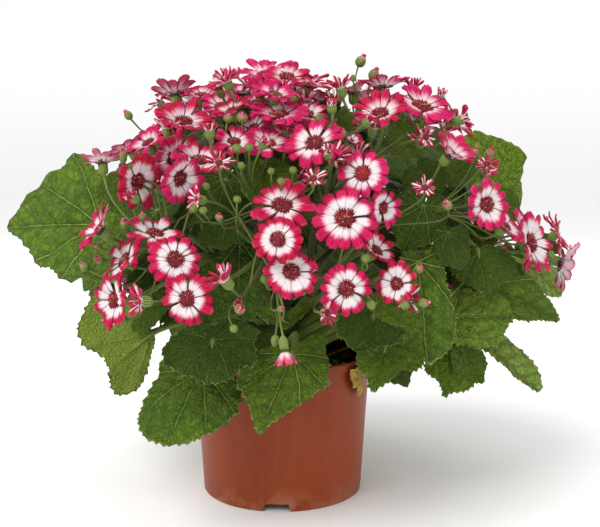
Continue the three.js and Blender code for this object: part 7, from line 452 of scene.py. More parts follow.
("bs_4",7,(-72.5,63.6,199),(-79.2,63.5,203.5),(-84.8,62.8,212.7),(-91.7,63.3,212),(-0.776,0.108,-0.622),(-0.554,0.354,0.753),41.8,40,8,8,84,(41.5,38.3,35.1,33.8,33.1,30.4,26.8,23.9,22.6,22,21.5,20.6,19.1,17.9,17.3,17.3,17.4,17,16.1,14.9,14.5,14.3,12.6,8.5,2.6,8.5,12.6,14.4,14.6,15.1,16.2,17.2,17.4,17.2,17.2,17.7,18.9,20.3,21.3,21.9,22.6,24.1,27,30.7,33.4,34,35.1,38.3)),
("bs_5",7,(-39.8,65.1,216.6),(-39.1,60.9,232.5),(-33.7,41.7,255),(-37.9,53.3,262),(-0.266,0.858,-0.44),(-0.305,0.358,0.882),36.3,30,8,8,85,(39.1,35.1,30.4,28.2,25.9,22.7,19.9,18.1,17.3,16.8,16,15,13.9,13,12.5,12.5,13,13.6,13.8,13.6,13.3,13.5,11.7,7.9,2.1,7.6,11,12.7,12.7,13.2,13.6,13.7,13.4,13,13.1,13.7,14.6,15.8,16.8,17.4,17.8,18.3,19.7,22,24.6,26.5,28.7,33.9)),
("xs_0",1,(-33.3,-51,168.7),(-36.9,-47.9,173.4),(-37.9,-41.8,181.4),(-43.5,-42.1,182),(-0.766,-0.458,-0.451),(-0.323,-0.332,0.886),33.5,42.2,8,8,101,(35.5,32.9,30,28.2,27.9,27.9,26.5,24.2,22.3,21.7,21.8,21.4,19.9,18.6,18.3,18.5,17.8,16,14.1,12.9,12.1,10.4,8.7,5.4,2,5.6,9.2,11.1,12.7,13.2,14.1,15.7,17.2,18,18.1,18.6,20.1,21.5,21.5,21.1,21.6,23.7,26.5,28.6,29.3,29.9,31.6,34)),
("xs_14",6,(49.7,49.4,208.1),(35.8,49.2,205),(15.4,41.5,207.2),(9.9,49,199.3),(0.292,0.75,-0.593),(0.132,0.583,0.802),46.5,35.1,8,8,115,(50.4,45.1,38.7,35.2,30.6,25.8,22.4,20.7,19.9,19.4,18.7,17.7,16.6,15.8,15.3,15.3,15.9,16.5,16.9,16.8,16.5,16.7,15.4,10.8,2.7,10.1,14.2,15.9,16.3,17.1,17.5,17.1,16.3,15.6,15.5,15.9,16.7,17.8,18.9,19.8,20.5,21.5,23.2,26.3,30.2,33.3,35.7,42.5)),
("xs_32",1,(-27.6,-39.6,163.7),(-38.4,-33.6,166),(-48.1,-21.8,172.9),(-58.6,-22.3,170.3),(-0.709,-0.478,-0.519),(-0.491,-0.195,0.849),37.8,42.4,8,8,133,(40.2,37.2,33.6,31.4,31,30.2,28,25.5,23.7,23,22.4,21.2,19.2,17.5,17.1,17.5,17.8,17.3,16.2,15.1,14.7,12.9,10.8,6.6,2.2,6.6,10.7,12.6,14,14.2,15.1,16.4,17.4,17.8,18.1,19.1,21.1,23.1,23.7,23.3,23.1,24.2,26.2,28.4,29.6,30.7,33.3,37.2)),
("xs_35",6,(51.2,48.8,200.7),(46.9,50.8,200.2),(40.2,50.8,200.3),(39,54.5,199.4),(0.395,0.885,-0.246),(0.192,0.182,0.964),28.5,43.1,8,8,136,(28.3,27.3,26.2,25.4,25.4,26.3,26.8,25.6,23.6,22.4,22.4,22.2,20.4,18.4,17.6,16.9,15.2,13.2,12,11.5,10.4,9.1,7.1,4.4,1.8,4.4,7,8.9,10.1,11.3,11.8,13.1,15.2,17,17.8,18.6,20.6,22.5,22.7,22.5,23.7,25.5,26.5,25.8,24.9,24.9,25.8,27)),
("xs_42",3,(27.2,-67.9,163.4),(33.3,-65.8,159.4),(39.6,-60.4,155.6),(44.7,-62,151.9),(0.61,-0.632,-0.479),(0.277,-0.396,0.875),45.5,44.3,8,8,143,(46.4,43.1,39,36.6,35.2,32.3,28.8,26.2,25.1,24.9,24.6,23.6,21.8,20.1,19.1,18.7,18.6,18.2,17.3,16.3,16.2,15.9,13.9,9.1,2.8,8.9,13.5,15.7,16.5,17.1,18.3,19.1,19,18.6,18.3,18.8,20.3,22.2,23.7,24.7,25.7,27.4,30.4,33.7,35.8,36.2,37.8,42)),
("xs_45",1,(-55.7,-73.2,188.5),(-62.8,-63.7,184.8),(-66.1,-47.2,181.9),(-75.8,-46,177.8),(-0.819,-0.491,-0.298),(-0.253,-0.159,0.955),36.5,31.9,8,8,146,(39,33.8,29,27,25.9,23.5,21.1,19.4,18.6,18.2,17.5,16.6,15.3,14.3,13.8,13.9,14.3,14.6,14.3,13.5,12.8,12.6,10.7,7.3,2.2,7.8,11.7,13.7,13.4,13.6,14,14.1,13.8,13.4,13.4,14,15,16.2,17.1,17.6,18,18.7,20.7,23.7,27.1,29.3,31.6,35.8)),
("xs_58",7,(-17.8,90.7,200.2),(-11.5,83.6,206.2),(-6,63.2,216.7),(0.3,70.5,217.3),(-0.194,0.881,-0.432),(0.016,0.443,0.896),40.6,38.5,8,8,159,(43.5,39.4,34.8,32.6,31.5,28.9,25.7,23.1,21.8,21,20.2,19,17.4,16.2,15.8,16.1,16.8,17.1,16.7,15.8,15.2,14.6,12.2,7.9,2.4,7.9,12,14.1,14.4,14.8,15.8,16.5,16.7,16.7,16.9,17.7,19.2,20.7,21.5,21.8,21.7,22.3,24.1,27,29.7,31.5,34.4,39.3)),
("xs_60",5,(83.4,-37,187.8),(78.2,-29.7,191.8),(61.7,-20.9,200.3),(68.5,-16.3,199.2),(0.829,-0.38,-0.41),(0.412,-0.081,0.908),31.3,39,8,8,161,(33.3,30.7,27.6,25.4,24.9,25,24.1,22.7,21.6,21.6,21.8,21,18.9,16.9,16.1,16,15.5,14.4,13,12.2,11.7,10,8.3,5.1,1.9,5.2,8.8,10.7,12.4,12.8,13.4,14.5,15.3,15.6,15.5,16.2,18.2,20.3,21.1,21,21.3,22.8,24.8,26.3,26.6,27.2,29.1,31.6)),
("xs_81",7,(-58.3,65.6,175.5),(-57.5,64.8,168.2),(-55.7,60.2,160.2),(-56.1,63.2,154.7),(-0.196,0.839,-0.508),(-0.345,0.426,0.836),41.2,41.3,8,8,182,(44.6,41.5,37.1,34.2,32.2,29.1,25.6,23,22,21.9,21.9,21.4,20.1,18.8,18.1,18.1,18.1,17.7,16.7,15.6,15.2,14.4,12.2,7.8,2.4,7.5,11.6,13.9,15.1,16,17.4,18.5,18.7,18.2,17.8,18,19.2,20.6,21.5,22,22.7,24.1,26.8,29.8,31.9,32.9,35.3,40.1)),
("xs_89",6,(44.3,38.6,176.1),(45.8,44,168.5),(44.7,48.9,159.1),(48.6,54.1,154.2),(0.692,0.623,-0.364),(0.231,0.286,0.93),38.5,31.3,8,8,190,(40.1,35.2,30.8,29.2,26.9,23.4,20.3,18.4,17.5,17.1,16.6,15.9,15.1,14.5,14.2,14.3,14.8,15.1,14.8,13.9,13,12.9,11.4,8.2,2.3,8.5,12.2,13.6,13.5,14.1,14.7,14.8,14.5,13.9,13.8,14,14.6,15.4,16.1,16.6,17,18,20.2,23.7,27.9,30.8,32.7,36.6)),
("xs_91",3,(37.1,-86.5,173),(39.6,-80.3,179.5),(36.8,-69.5,188.8),(44.3,-68.6,191.5),(0.876,-0.446,-0.184),(0.036,-0.319,0.947),35,43.9,8,8,192,(35.8,33.8,31.4,30.1,30.3,30.6,29.2,26.5,24.1,23,22.6,21.7,19.9,18.3,18,18.4,17.9,16.5,14.9,13.8,13.3,11.5,9.7,5.9,2.2,5.9,9.6,11.3,12.8,13.1,13.9,15.6,17.3,18.4,18.9,19.9,21.8,23.5,23.7,23.1,23.3,25,27.4,29,29.3,29.6,31.3,33.8)),
("xs_101",5,(83.2,-56.4,189.5),(80.3,-56.8,192.7),(75.4,-54.1,197.6),(74.9,-57.7,198.6),(0.462,-0.806,-0.37),(0.348,-0.219,0.912),30.3,30.8,8,8,202,(31.8,28.9,25.6,23.7,23,21.8,20,18.5,17.8,17.6,17.3,16.4,14.9,13.5,12.8,12.7,12.8,12.5,12,11.3,11.1,10.5,8.9,5.7,1.8,5.8,9.1,10.8,11.5,11.7,12.2,12.7,12.7,12.5,12.5,13,14.3,15.8,16.8,17.3,17.8,18.7,20.5,22.5,23.8,24.4,26.2,29.3)),
("xs_106",5,(85.7,-62.9,193),(83.8,-60.8,198.6),(75.5,-58.7,207.1),(80.2,-56.8,209),(0.848,-0.064,-0.527),(0.487,-0.303,0.819),52,33.3,8,8,207,(54.3,46.2,40.8,37.7,31.7,26.2,22.6,20.4,19.1,18,16.9,15.9,14.9,14.5,14.1,14.5,15.2,16.4,17.6,18.2,18,17.7,17.3,13.4,3.1,13.4,16.9,16.6,16.7,17.1,17,16.5,15.8,15.5,15.5,16,16.7,17.6,18.5,19.2,19.9,20.5,21.9,24.7,29.4,35.5,39.8,46.4)),
("xs_119",7,(-21.7,35.6,164.4),(-29.8,28.3,168),(-35.4,15.9,176.8),(-45,14.6,174.6),(-0.729,0.369,-0.577),(-0.548,0.192,0.814),39.9,35.7,8,8,220,(41.5,36.3,31.8,30.2,29.4,26.7,23.7,21.5,20.5,20,19.3,18.3,17,16.1,15.6,15.8,16.2,16.4,15.7,14.6,13.7,13.4,11.5,8,2.4,8.5,12.7,14.6,14.3,14.6,15.3,15.7,15.6,15.3,15.3,15.8,16.9,18,18.8,19.3,19.7,20.6,23.1,26.8,30.8,32.9,35,38.7)),
("xs_128",6,(44.3,38.6,176.1),(45.1,34.6,180.3),(42.3,29.3,187.3),(46.7,27,187.9),(0.879,0.079,-0.47),(0.437,0.257,0.862),36.5,43.7,8,8,229,(37.2,35.2,32.8,31.4,31.7,31.5,29.2,26.1,23.6,22.7,22.4,21.6,20,18.5,18.2,18.5,18.2,16.9,15.2,14.1,13.9,12.2,10.5,6.4,2.3,6.4,10.2,11.8,13.2,13.3,14.4,16.2,17.9,18.8,19,19.8,21.5,23.1,23.5,23.1,23.3,25.1,27.8,29.9,30.2,30.3,32,34.8)),
("xs_131",2,(10.4,-105.3,209.4),(9.5,-104.7,208.7),(8.1,-103,208.3),(7.8,-103.7,207.5),(0.371,-0.909,-0.19),(-0.081,-0.236,0.968),35.2,41.3,8,8,232,(36.3,34.4,31.6,29.6,29.1,28.5,26.5,24.2,22.7,22.7,22.9,22.1,20,17.9,16.8,16.6,16.2,15.3,14.2,13.5,13.6,12.1,10.3,6.3,2.1,6.1,9.8,11.6,13.3,13.6,14.6,15.9,16.8,16.9,16.7,17.4,19.3,21.5,22.7,23.1,23.6,25.2,27.2,28.5,28.3,28.3,30.1,33.4)),
("xs_132",7,(-29.7,48.9,173.3),(-25.1,54.2,170.4),(-19,58.5,167.3),(-16.5,64,165),(0.161,0.934,-0.317),(-0.153,0.341,0.927),37.8,33.7,8,8,233,(39.7,35.8,31.8,30.3,29.2,26.1,22.6,20.1,18.8,18.1,17.3,16.3,15.2,14.4,14.2,14.5,15.2,15.7,15.3,14.4,13.7,13.5,11.4,7.7,2.3,7.7,11.4,13.1,12.9,13.4,14.4,15.1,15.2,15.1,15.3,15.8,16.9,17.9,18.6,18.8,18.8,19.3,21.2,24.2,27.5,29.4,31.7,36)),
("xs_133",7,(-21.7,35.6,164.4),(-26.1,36.5,159.7),(-30.1,36.6,154.2),(-34.4,38,150.8),(-0.811,0.362,-0.459),(-0.325,0.373,0.869),38.9,44.6,8,8,234,(42,39.5,35.8,33.1,31.8,30.2,27.3,24.6,23.1,23.2,23.8,23.6,22,20.2,19.4,19.3,18.8,17.5,16,14.9,14.7,13,11,6.7,2.3,6.6,10.7,12.7,14.7,15.4,16.8,18.5,19.5,19.4,18.8,19,20.4,22.1,23.1,23.4,24.1,26.1,28.8,31.2,31.9,32.3,34.7,38.7)),
("xs_159",1,(-65.9,-76.9,199.1),(-72,-67.7,196.5),(-75.5,-51.2,197.3),(-83.5,-50.8,191.8),(-0.567,-0.639,-0.52),(-0.45,-0.288,0.845),40.7,32.8,8,8,260,(43.8,39.1,33.7,30.7,27.4,23.5,20.5,18.9,18.4,18.3,17.9,17.2,16.2,15.4,14.9,14.8,15.2,15.4,15.2,14.6,14,14.2,12.7,8.8,2.4,8.6,12.5,14.4,14.7,15.5,16,15.8,15.2,14.3,14.1,14.3,14.9,15.9,16.8,17.7,18.4,19.6,21.7,25,28.8,31.2,33.1,38.3)),
("xs_169",0,(-17,-10.3,188.1),(-27.9,-6.3,189),(-38.2,1.2,192.2),(-48.1,1.3,190.7),(-0.903,-0.28,-0.325),(-0.355,0.064,0.933),30.8,38.6,8,8,270,(32.1,30.2,28,26.7,26.7,26.8,25.3,23,20.8,19.9,19.6,19,17.5,16.3,16.1,16.4,16.1,14.8,13.2,12.2,11.6,10,8.4,5.1,1.9,5.1,8.3,9.9,11.2,11.6,12.4,13.9,15.5,16.5,16.8,17.6,19.2,20.6,20.6,20,20.1,21.6,23.8,25.4,25.8,26.2,27.9,30.3)),
("xs_173",6,(49.7,49.4,208.1),(49.3,36.6,209.9),(38.8,17.2,216.2),(48.5,13,213.2),(0.777,0.521,-0.354),(0.381,0.058,0.923),35.1,42.6,8,8,274,(37.9,35.1,31.8,29.6,29.3,29.2,27.4,25,23,22.3,22.1,21.2,19.4,17.9,17.6,18.2,18.1,17,15.3,14.1,13.4,11.4,9.5,5.7,2,5.8,9.7,11.5,13.3,13.5,14.4,16,17.4,18.1,18.4,19.2,21.1,22.8,23,22.2,22,23.4,25.8,28,28.9,29.9,32.4,35.6)),
("xs_176",7,(-17.8,90.7,200.2),(-7.8,90.2,199.3),(4.5,84.5,200.7),(10.8,89.4,197.5),(0.215,0.867,-0.45),(0.047,0.451,0.891),36.7,43.2,8,8,277,(37.3,35.8,33.5,32,31.9,31.2,28.5,25.3,23,22.4,22.5,21.9,20.3,18.6,18,18.1,17.7,16.5,15,14.1,14.1,12.6,10.8,6.6,2.3,6.3,10.1,11.6,13.2,13.5,14.7,16.6,18.1,18.7,18.6,19.2,20.8,22.5,23.2,23.2,23.6,25.5,28,29.8,29.8,29.6,31.3,34.4)),
("xs_212",4,(47.7,-25.9,241.6),(51.2,-24.9,237.6),(53.7,-22.2,232.4),(57.7,-23,230.2),(0.887,-0.433,-0.161),(0.161,-0.037,0.986),39.2,34.9,8,8,313,(40.3,35.5,31.3,29.9,29.2,26.7,23.8,21.6,20.6,19.9,19,17.8,16.4,15.3,14.8,14.8,15.3,15.6,15.2,14.3,13.7,13.6,11.7,8,2.4,8.4,12.5,14.3,13.9,14,14.6,14.9,14.8,14.6,14.9,15.6,16.8,18.2,19.1,19.7,20,20.8,22.9,26.2,29.6,31.4,33.4,37.3)),
("xs_214",5,(58.1,-29.7,172.4),(55.5,-29.1,177),(47.8,-24.6,184.4),(50.6,-28.1,185.7),(0.671,-0.406,-0.621),(0.539,-0.308,0.784),39.9,34.1,8,8,315,(43.9,38.4,32.9,30.4,28.4,25.2,22.2,20.2,19.2,18.7,17.9,17,15.8,15,14.6,14.8,15.6,16.1,16,15.3,14.6,14.3,12,8.1,2.3,8.3,12.3,14.5,14.3,14.8,15.4,15.7,15.4,15,15.1,15.6,16.6,17.7,18.5,18.9,19,19.6,21.3,24.3,27.9,30.7,33.8,39.3)),
("inner_in_114",2,(-5.1,-43,162.4),(-8.4,-54.4,150.5),(-12.1,-64.1,136.7),(-14.5,-75.6,128.3),(-0.136,-0.88,-0.456),(-0.011,-0.459,0.888),26.7,25.4,8,8,17,(27,24.8,22.4,21.3,20.6,18.7,16.5,14.9,14.2,14,13.9,13.4,12.5,11.7,11.3,11.2,11.1,10.8,10.2,9.4,9.1,9.1,8,5.4,1.7,5.4,8.1,9.3,9.6,9.9,10.7,11.2,11.1,10.9,10.7,10.9,11.6,12.5,13.2,13.7,14.2,15.3,17.3,19.7,21.5,21.9,22.7,24.8)),
("inner_in_259",4,(47.7,-25.9,241.6),(49.2,-19.1,251.2),(44.3,-3,263.5),(52.1,-6.6,268.9),(0.56,-0.794,-0.238),(0.09,-0.227,0.97),35.9,34.1,8,8,65,(37.1,34.1,30.4,28.4,27,24.5,21.8,19.9,19.3,19.2,19,18.3,17,15.7,15,14.7,14.7,14.3,13.6,12.8,12.5,12.4,10.8,7.2,2.2,7.1,10.8,12.7,13.2,13.7,14.6,15.1,14.8,14.3,14.1,14.4,15.4,16.8,17.9,18.7,19.5,20.9,23.3,26.3,28.4,28.9,30.2,33.7)),
("inner_in_260",5,(98.4,-29.1,202.8),(102.8,-34.6,202.7),(107.3,-40.6,204.5),(111.1,-44.8,202.3),(0.563,-0.558,-0.61),(0.284,-0.563,0.776),27.6,26.2,8,8,66,(28.5,25.7,23,21.9,21.6,20.1,17.9,16.2,15.2,14.6,13.9,13,11.9,11.1,10.8,10.9,11.3,11.4,11.1,10.5,10.1,9.7,8.3,5.5,1.7,5.6,8.4,9.7,9.7,9.9,10.4,10.9,11.1,11.1,11.4,12,13,14.1,14.7,14.9,15,15.5,16.9,19,20.8,21.8,23.4,26.2)),
("inner_in_410",5,(103.5,-26.6,207.9),(101,-19.3,222),(84,-4.3,242.3),(96.4,-5.6,248.4),(0.778,-0.456,-0.433),(0.221,-0.447,0.867),27.7,26.3,8,8,22,(29.4,27.2,24.3,22.6,21.4,19.4,17.2,15.6,14.9,14.6,14.2,13.4,12.3,11.3,10.9,10.9,11.1,11.2,11,10.5,10.4,10.2,8.6,5.6,1.6,5.3,8,9.4,9.8,10.3,11,11.4,11.4,11.2,11.2,11.7,12.7,13.8,14.6,15.1,15.3,15.9,17.2,18.9,20.3,20.9,22.6,26)),
("inner_in_727",4,(38.1,-50.2,233.7),(34.1,-48.4,235.5),(29.6,-42.2,238.4),(26.8,-45.1,238.9),(0.092,-0.971,-0.221),(0.119,-0.21,0.97),27.4,26,8,8,48,(29.3,27.1,24.1,22.4,21.2,19.1,16.9,15.3,14.6,14.3,14,13.2,12.2,11.2,10.8,10.8,11,11.1,10.9,10.5,10.3,10,8.5,5.5,1.6,5.2,7.9,9.3,9.7,10.2,10.9,11.4,11.4,11.2,11.2,11.6,12.5,13.7,14.4,14.8,15.1,15.6,16.9,18.6,20,20.7,22.4,25.8)),
("inner_in_4525",2,(-5.8,-62.1,171.1),(-9.4,-57.3,180.9),(-11.6,-42.1,192.8),(-16.2,-48.3,199.1),(-0.189,-0.977,-0.098),(0.044,-0.108,0.993),28.1,26.7,8,8,63,(30.1,28,25.1,23.2,21.8,19.5,17.1,15.4,14.7,14.5,14.2,13.6,12.6,11.7,11.3,11.3,11.5,11.5,11.2,10.7,10.5,10.3,8.7,5.6,1.7,5.3,8,9.5,10,10.5,11.4,11.9,11.9,11.7,11.6,11.9,12.8,13.8,14.5,15,15.3,15.9,17.4,19.2,20.7,21.3,23,26.5)),
("inner_un_5",0,(-15,-43,242.2),(-13.5,-46.7,248.1),(-12.3,-48,258.2),(-10.5,-53.8,258.8),(0.202,-0.801,-0.563),(-0.058,-0.584,0.81),43.7,41.5,8,10,5,(48.1,42.7,36.8,33.6,32,29.3,26.4,24.2,23.4,23.1,22.6,21.6,19.9,18.5,17.9,18.1,18.5,18.6,17.9,16.7,15.9,15.1,12.6,8.2,2.5,8.5,13.2,15.8,16.4,16.9,17.8,18.3,18.1,17.7,17.6,18.2,19.5,21.1,22.2,22.6,23,23.9,26.3,29.8,33.1,35.3,38.6,43.9)),
("inner_un_86",4,(47.7,-25.9,241.6),(44,-14.9,245.1),(28,1.3,254),(37.1,5.4,251.5),(0.737,-0.562,-0.376),(0.243,-0.299,0.923),40.5,38.5,8,10,86,(42.8,38.8,34.7,32.7,31.4,28.4,24.7,21.9,20.7,20.2,19.8,19.2,18.2,17.3,17.1,17.4,17.8,17.6,16.6,15.2,14.3,13.7,11.7,7.8,2.4,8,12,14,14.4,15.1,16.4,17.4,17.6,17.3,17.2,17.5,18.4,19.4,19.9,20.1,20.4,21.6,24.3,28.2,31.6,33.3,35.5,39.4)),
("inner_un_100",0,(-34.1,-28.4,240),(-35,-22.2,250.1),(-30.7,-18.3,266.1),(-36.8,-10.6,268.8),(-0.738,0.569,-0.363),(-0.493,-0.086,0.866),39.4,37.4,8,10,3,(40.9,36.9,32.7,30.9,30.3,28.3,25.4,23.1,21.9,21.2,20.3,19,17.2,15.9,15.3,15.4,15.9,16.1,15.7,14.9,14.4,13.9,11.8,7.8,2.4,7.9,12,13.9,14.1,14.3,15,15.5,15.7,15.6,15.9,16.8,18.3,20,21,21.4,21.7,22.4,24.3,27.2,29.7,31,33.3,37.4)),
("inner_un_101",0,(-49.2,-42.3,233.2),(-49.7,-39.7,240.9),(-44.9,-38,253.1),(-50.8,-34.9,255.3),(-0.857,0.214,-0.468),(-0.515,-0.39,0.763),50.7,48.2,8,10,4,(52.9,49.5,45.1,42.5,40.5,36,31,27.4,25.8,25.2,24.8,24,22.6,21.4,20.9,21.1,21.5,21.3,20.3,19,18.4,18,15.5,10.2,3.1,9.7,14.4,16.8,17.5,18.6,20.4,21.8,22.1,21.7,21.5,21.9,23.1,24.6,25.5,26,26.6,28,31.2,35.3,38.6,39.8,42.1,47.4)),
("inner_un_166",1,(-71,-79.1,204.3),(-72.8,-81.7,205.1),(-74.1,-86.8,204.7),(-76.1,-86.6,206.7),(-0.333,0.768,0.547),(-0.369,-0.64,0.674),43.3,41.2,8,10,69,(43.4,40.1,36.5,34.8,33.7,30.7,27,24.3,23.2,22.8,22.4,21.6,20.1,18.8,18.1,17.9,17.9,17.5,16.4,15.3,14.9,14.9,13.1,8.9,2.7,8.8,13.1,15,15.4,15.9,17.1,17.9,18,17.6,17.4,17.8,19,20.5,21.6,22.5,23.4,25,28.1,31.9,34.7,35.2,36.4,39.8)),
("inner_un_169",0,(-33.6,-27.8,223.4),(-33.8,-33.7,220.1),(-31.5,-41.1,217.6),(-34.3,-44.7,213.9),(-0.749,-0.258,-0.61),(-0.347,-0.631,0.694),32.2,30.6,8,10,72,(34.8,31.1,26.9,24.6,23.4,21.5,19.5,18,17.6,17.4,17.1,16.3,15,13.8,13.2,13.2,13.3,13.3,12.7,12,11.5,11.1,9.4,6.2,1.9,6.3,9.8,11.7,12.2,12.5,13.1,13.4,13.1,12.7,12.6,13,14.1,15.4,16.3,16.9,17.3,18.2,20.1,22.6,24.8,26,28.1,31.8)),
("inner_un_178",0,(-45.4,1.3,235.5),(-48.5,4.3,238.2),(-53.6,12.8,240.1),(-54.4,9.9,243.4),(0.42,-0.908,-0.013),(-0.329,-0.166,0.93),37.5,35.6,8,10,81,(39.4,35.7,31.7,29.9,29.2,27,24.1,21.8,20.6,19.8,19,17.7,16.2,15,14.5,14.7,15.2,15.5,15.2,14.4,13.9,13.4,11.3,7.4,2.2,7.4,11.2,13.1,13.3,13.6,14.3,15,15.2,15.2,15.4,16.2,17.7,19.2,20.1,20.4,20.5,21,22.8,25.4,27.8,29.1,31.5,35.8)),
("inner_un_182",4,(44.4,-28.8,236.1),(46.1,-15.8,234),(60,5.1,232.1),(49.2,8.5,230.2),(-0.777,-0.629,0.014),(0.212,-0.24,0.947),32.5,30.8,8,10,85,(34.9,32,28.3,26.3,25,22.8,20.2,18.3,17.5,17,16.5,15.6,14.2,13.2,12.7,12.8,13.1,13.3,13.1,12.5,12.3,11.9,10,6.4,1.9,6.2,9.4,11.2,11.6,12.1,12.8,13.4,13.4,13.2,13.3,13.9,15,16.4,17.2,17.6,17.8,18.3,19.8,21.8,23.6,24.7,26.9,31)),
("inner_un_187",4,(47.7,-25.9,241.6),(58.3,-21,244.2),(68.8,-8,251.6),(78,-11.8,249),(0.324,-0.804,-0.498),(0.344,-0.391,0.854),49.6,47.1,8,10,90,(53,47,41.3,38.6,37.4,34.4,30.6,27.6,26.1,25.5,24.8,23.8,22.2,21,20.7,21.1,21.6,21.6,20.5,18.7,17.6,16.6,14,9.3,2.9,9.9,15.1,17.7,18.1,18.6,19.8,20.7,20.9,20.6,20.6,21.2,22.5,24,24.7,25,25.2,26.4,29.6,34.2,38.6,41.2,44.4,49.4)),
("inner_un_205",1,(-50.4,-86.6,202.8),(-44.3,-85,210.9),(-26.5,-76.2,224.8),(-32.9,-82.2,226.1),(-0.703,-0.31,-0.64),(-0.242,-0.742,0.625),37.6,35.8,8,10,11,(39.8,37.2,33.4,31.1,29.4,26.4,23.1,20.9,19.9,19.6,19.1,18.3,16.9,15.6,15,14.9,15.2,15.2,14.8,14.2,14,13.8,11.8,7.6,2.2,7.2,10.8,12.7,13.3,14,15.1,15.8,15.8,15.5,15.4,15.9,17.1,18.6,19.6,20.3,20.7,21.6,23.5,26,27.8,28.5,30.5,35.1)),
("inner_un_212",5,(103.5,-26.6,207.9),(110.5,-22.3,209.5),(120.1,-20.5,212),(123.5,-14.2,212.5),(0.065,0.997,-0.045),(0.634,-0.006,0.773),39.3,37.3,8,10,18,(41.3,37.5,33.3,31.2,30.2,28,25.1,22.8,21.7,21.1,20.2,18.9,17.2,15.8,15.2,15.3,15.7,16,15.7,15,14.6,14.1,12,7.8,2.4,7.7,11.8,13.8,14.1,14.3,15.1,15.7,15.7,15.6,15.9,16.7,18.2,19.9,21,21.5,21.7,22.4,24.2,26.8,29.1,30.3,32.7,37.3)),
("inner_un_320",5,(100.7,-68.6,201),(109.4,-64.7,204.8),(117.8,-61.5,213.3),(125.5,-57.5,211.9),(0.699,0.428,-0.573),(0.713,-0.47,0.52),39,37,8,10,29,(40.6,36.7,32.6,30.8,30.2,28.1,25.2,22.8,21.6,20.9,20,18.7,17,15.7,15.1,15.3,15.7,16,15.6,14.8,14.4,13.9,11.8,7.7,2.4,7.8,11.8,13.7,13.9,14.1,14.8,15.4,15.6,15.6,15.8,16.7,18.2,19.9,20.8,21.3,21.4,22.1,24,26.7,29.2,30.5,32.9,37.1)),
("inner_un_388",6,(83.6,41.7,211.6),(80.7,32,213.4),(78.5,21.9,215.2),(75.2,13.8,216.7),(-0.453,-0.877,0.161),(0.475,-0.084,0.876),37.4,35.5,8,10,0,(39.3,36.9,33.4,31.2,29.5,26.3,22.9,20.5,19.5,19.2,18.8,18,16.8,15.6,15.1,15.1,15.3,15.2,14.7,14,13.8,13.6,11.7,7.6,2.2,7.1,10.6,12.4,13.1,13.8,15,15.9,15.9,15.6,15.4,15.9,17,18.3,19.3,19.8,20.3,21.3,23.4,26,27.9,28.5,30.3,34.6)),
("inner_un_488",6,(47.1,50.7,223.2),(43.1,39.4,231.5),(40.1,29.9,244.3),(35.8,18.5,247),(-0.359,-0.926,-0.116),(0.148,-0.18,0.973),39.4,37.4,8,10,3,(40.9,36.9,32.7,31,30.4,28.3,25.5,23.2,22,21.2,20.3,19,17.3,15.9,15.3,15.4,15.9,16.1,15.7,14.9,14.4,13.9,11.8,7.8,2.4,7.9,12,14,14.1,14.3,15,15.5,15.7,15.6,15.9,16.8,18.3,20,21,21.5,21.7,22.4,24.4,27.2,29.7,31,33.3,37.5)),
("inner_un_748",6,(67.1,44.8,195.4),(67.8,32.7,196),(69.9,20.5,196.9),(69.3,10.1,196.9),(-0.153,-0.988,-0.028),(0.492,-0.101,0.865),37,35.2,8,10,69,(37.1,34.2,31.2,29.8,28.8,26.3,23.1,20.8,19.8,19.5,19.2,18.4,17.2,16,15.4,15.3,15.3,14.9,14,13.1,12.7,12.7,11.2,7.6,2.3,7.5,11.2,12.8,13.1,13.6,14.6,15.3,15.4,15,14.9,15.2,16.2,17.5,18.5,19.2,20,21.4,24,27.3,29.6,30.1,31.1,34)),
("inner_un_788",0,(-8.5,1.4,245.9),(3.4,1.8,250.6),(24.8,-8.2,257.6),(25.5,2.6,259.3),(-0.759,0.615,-0.214),(-0.24,0.041,0.97),32.9,31.3,8,10,12,(35.4,31.7,27.9,26.1,25.2,23,20.3,18.2,17.2,16.7,16.2,15.5,14.5,13.7,13.6,13.9,14.4,14.4,13.7,12.6,11.9,11.2,9.4,6.2,1.9,6.5,9.9,11.6,11.9,12.2,13.1,13.8,14,13.9,13.9,14.3,15.2,16.1,16.6,16.7,16.7,17.4,19.4,22.3,25.2,26.9,29.1,32.7)),
("inner_un_854",0,(-8.5,1.4,245.9),(-3.9,-7.8,255.7),(2.3,-13.1,272.5),(4.7,-25,274),(0.018,-0.916,-0.401),(-0.005,-0.401,0.916),34.2,32.5,8,10,78,(36.6,34.2,30.7,28.5,26.7,23.7,20.5,18.4,17.5,17.3,17.1,16.5,15.5,14.5,14,14,14.2,14.2,13.6,12.9,12.6,12.4,10.5,6.8,2,6.4,9.7,11.4,12.1,12.9,14,14.8,14.8,14.4,14.2,14.5,15.4,16.6,17.4,17.8,18.3,19.2,21.1,23.6,25.5,26.3,28.2,32.3)),
("inner_un_1033",4,(47.7,-25.9,241.6),(46.5,-11.9,251),(53.9,20.5,260),(44.2,13.9,268.5),(-0.286,-0.942,-0.176),(0.161,-0.228,0.96),51,48.4,8,10,63,(54.6,50.9,45.5,42.1,39.6,35.4,31,27.9,26.7,26.3,25.7,24.6,22.8,21.2,20.5,20.5,20.8,20.9,20.3,19.4,19.1,18.7,15.8,10.2,3,9.6,14.5,17.2,18.1,19.1,20.7,21.6,21.6,21.2,21,21.6,23.2,25.1,26.4,27.2,27.7,28.9,31.5,34.9,37.5,38.7,41.7,48.1)),
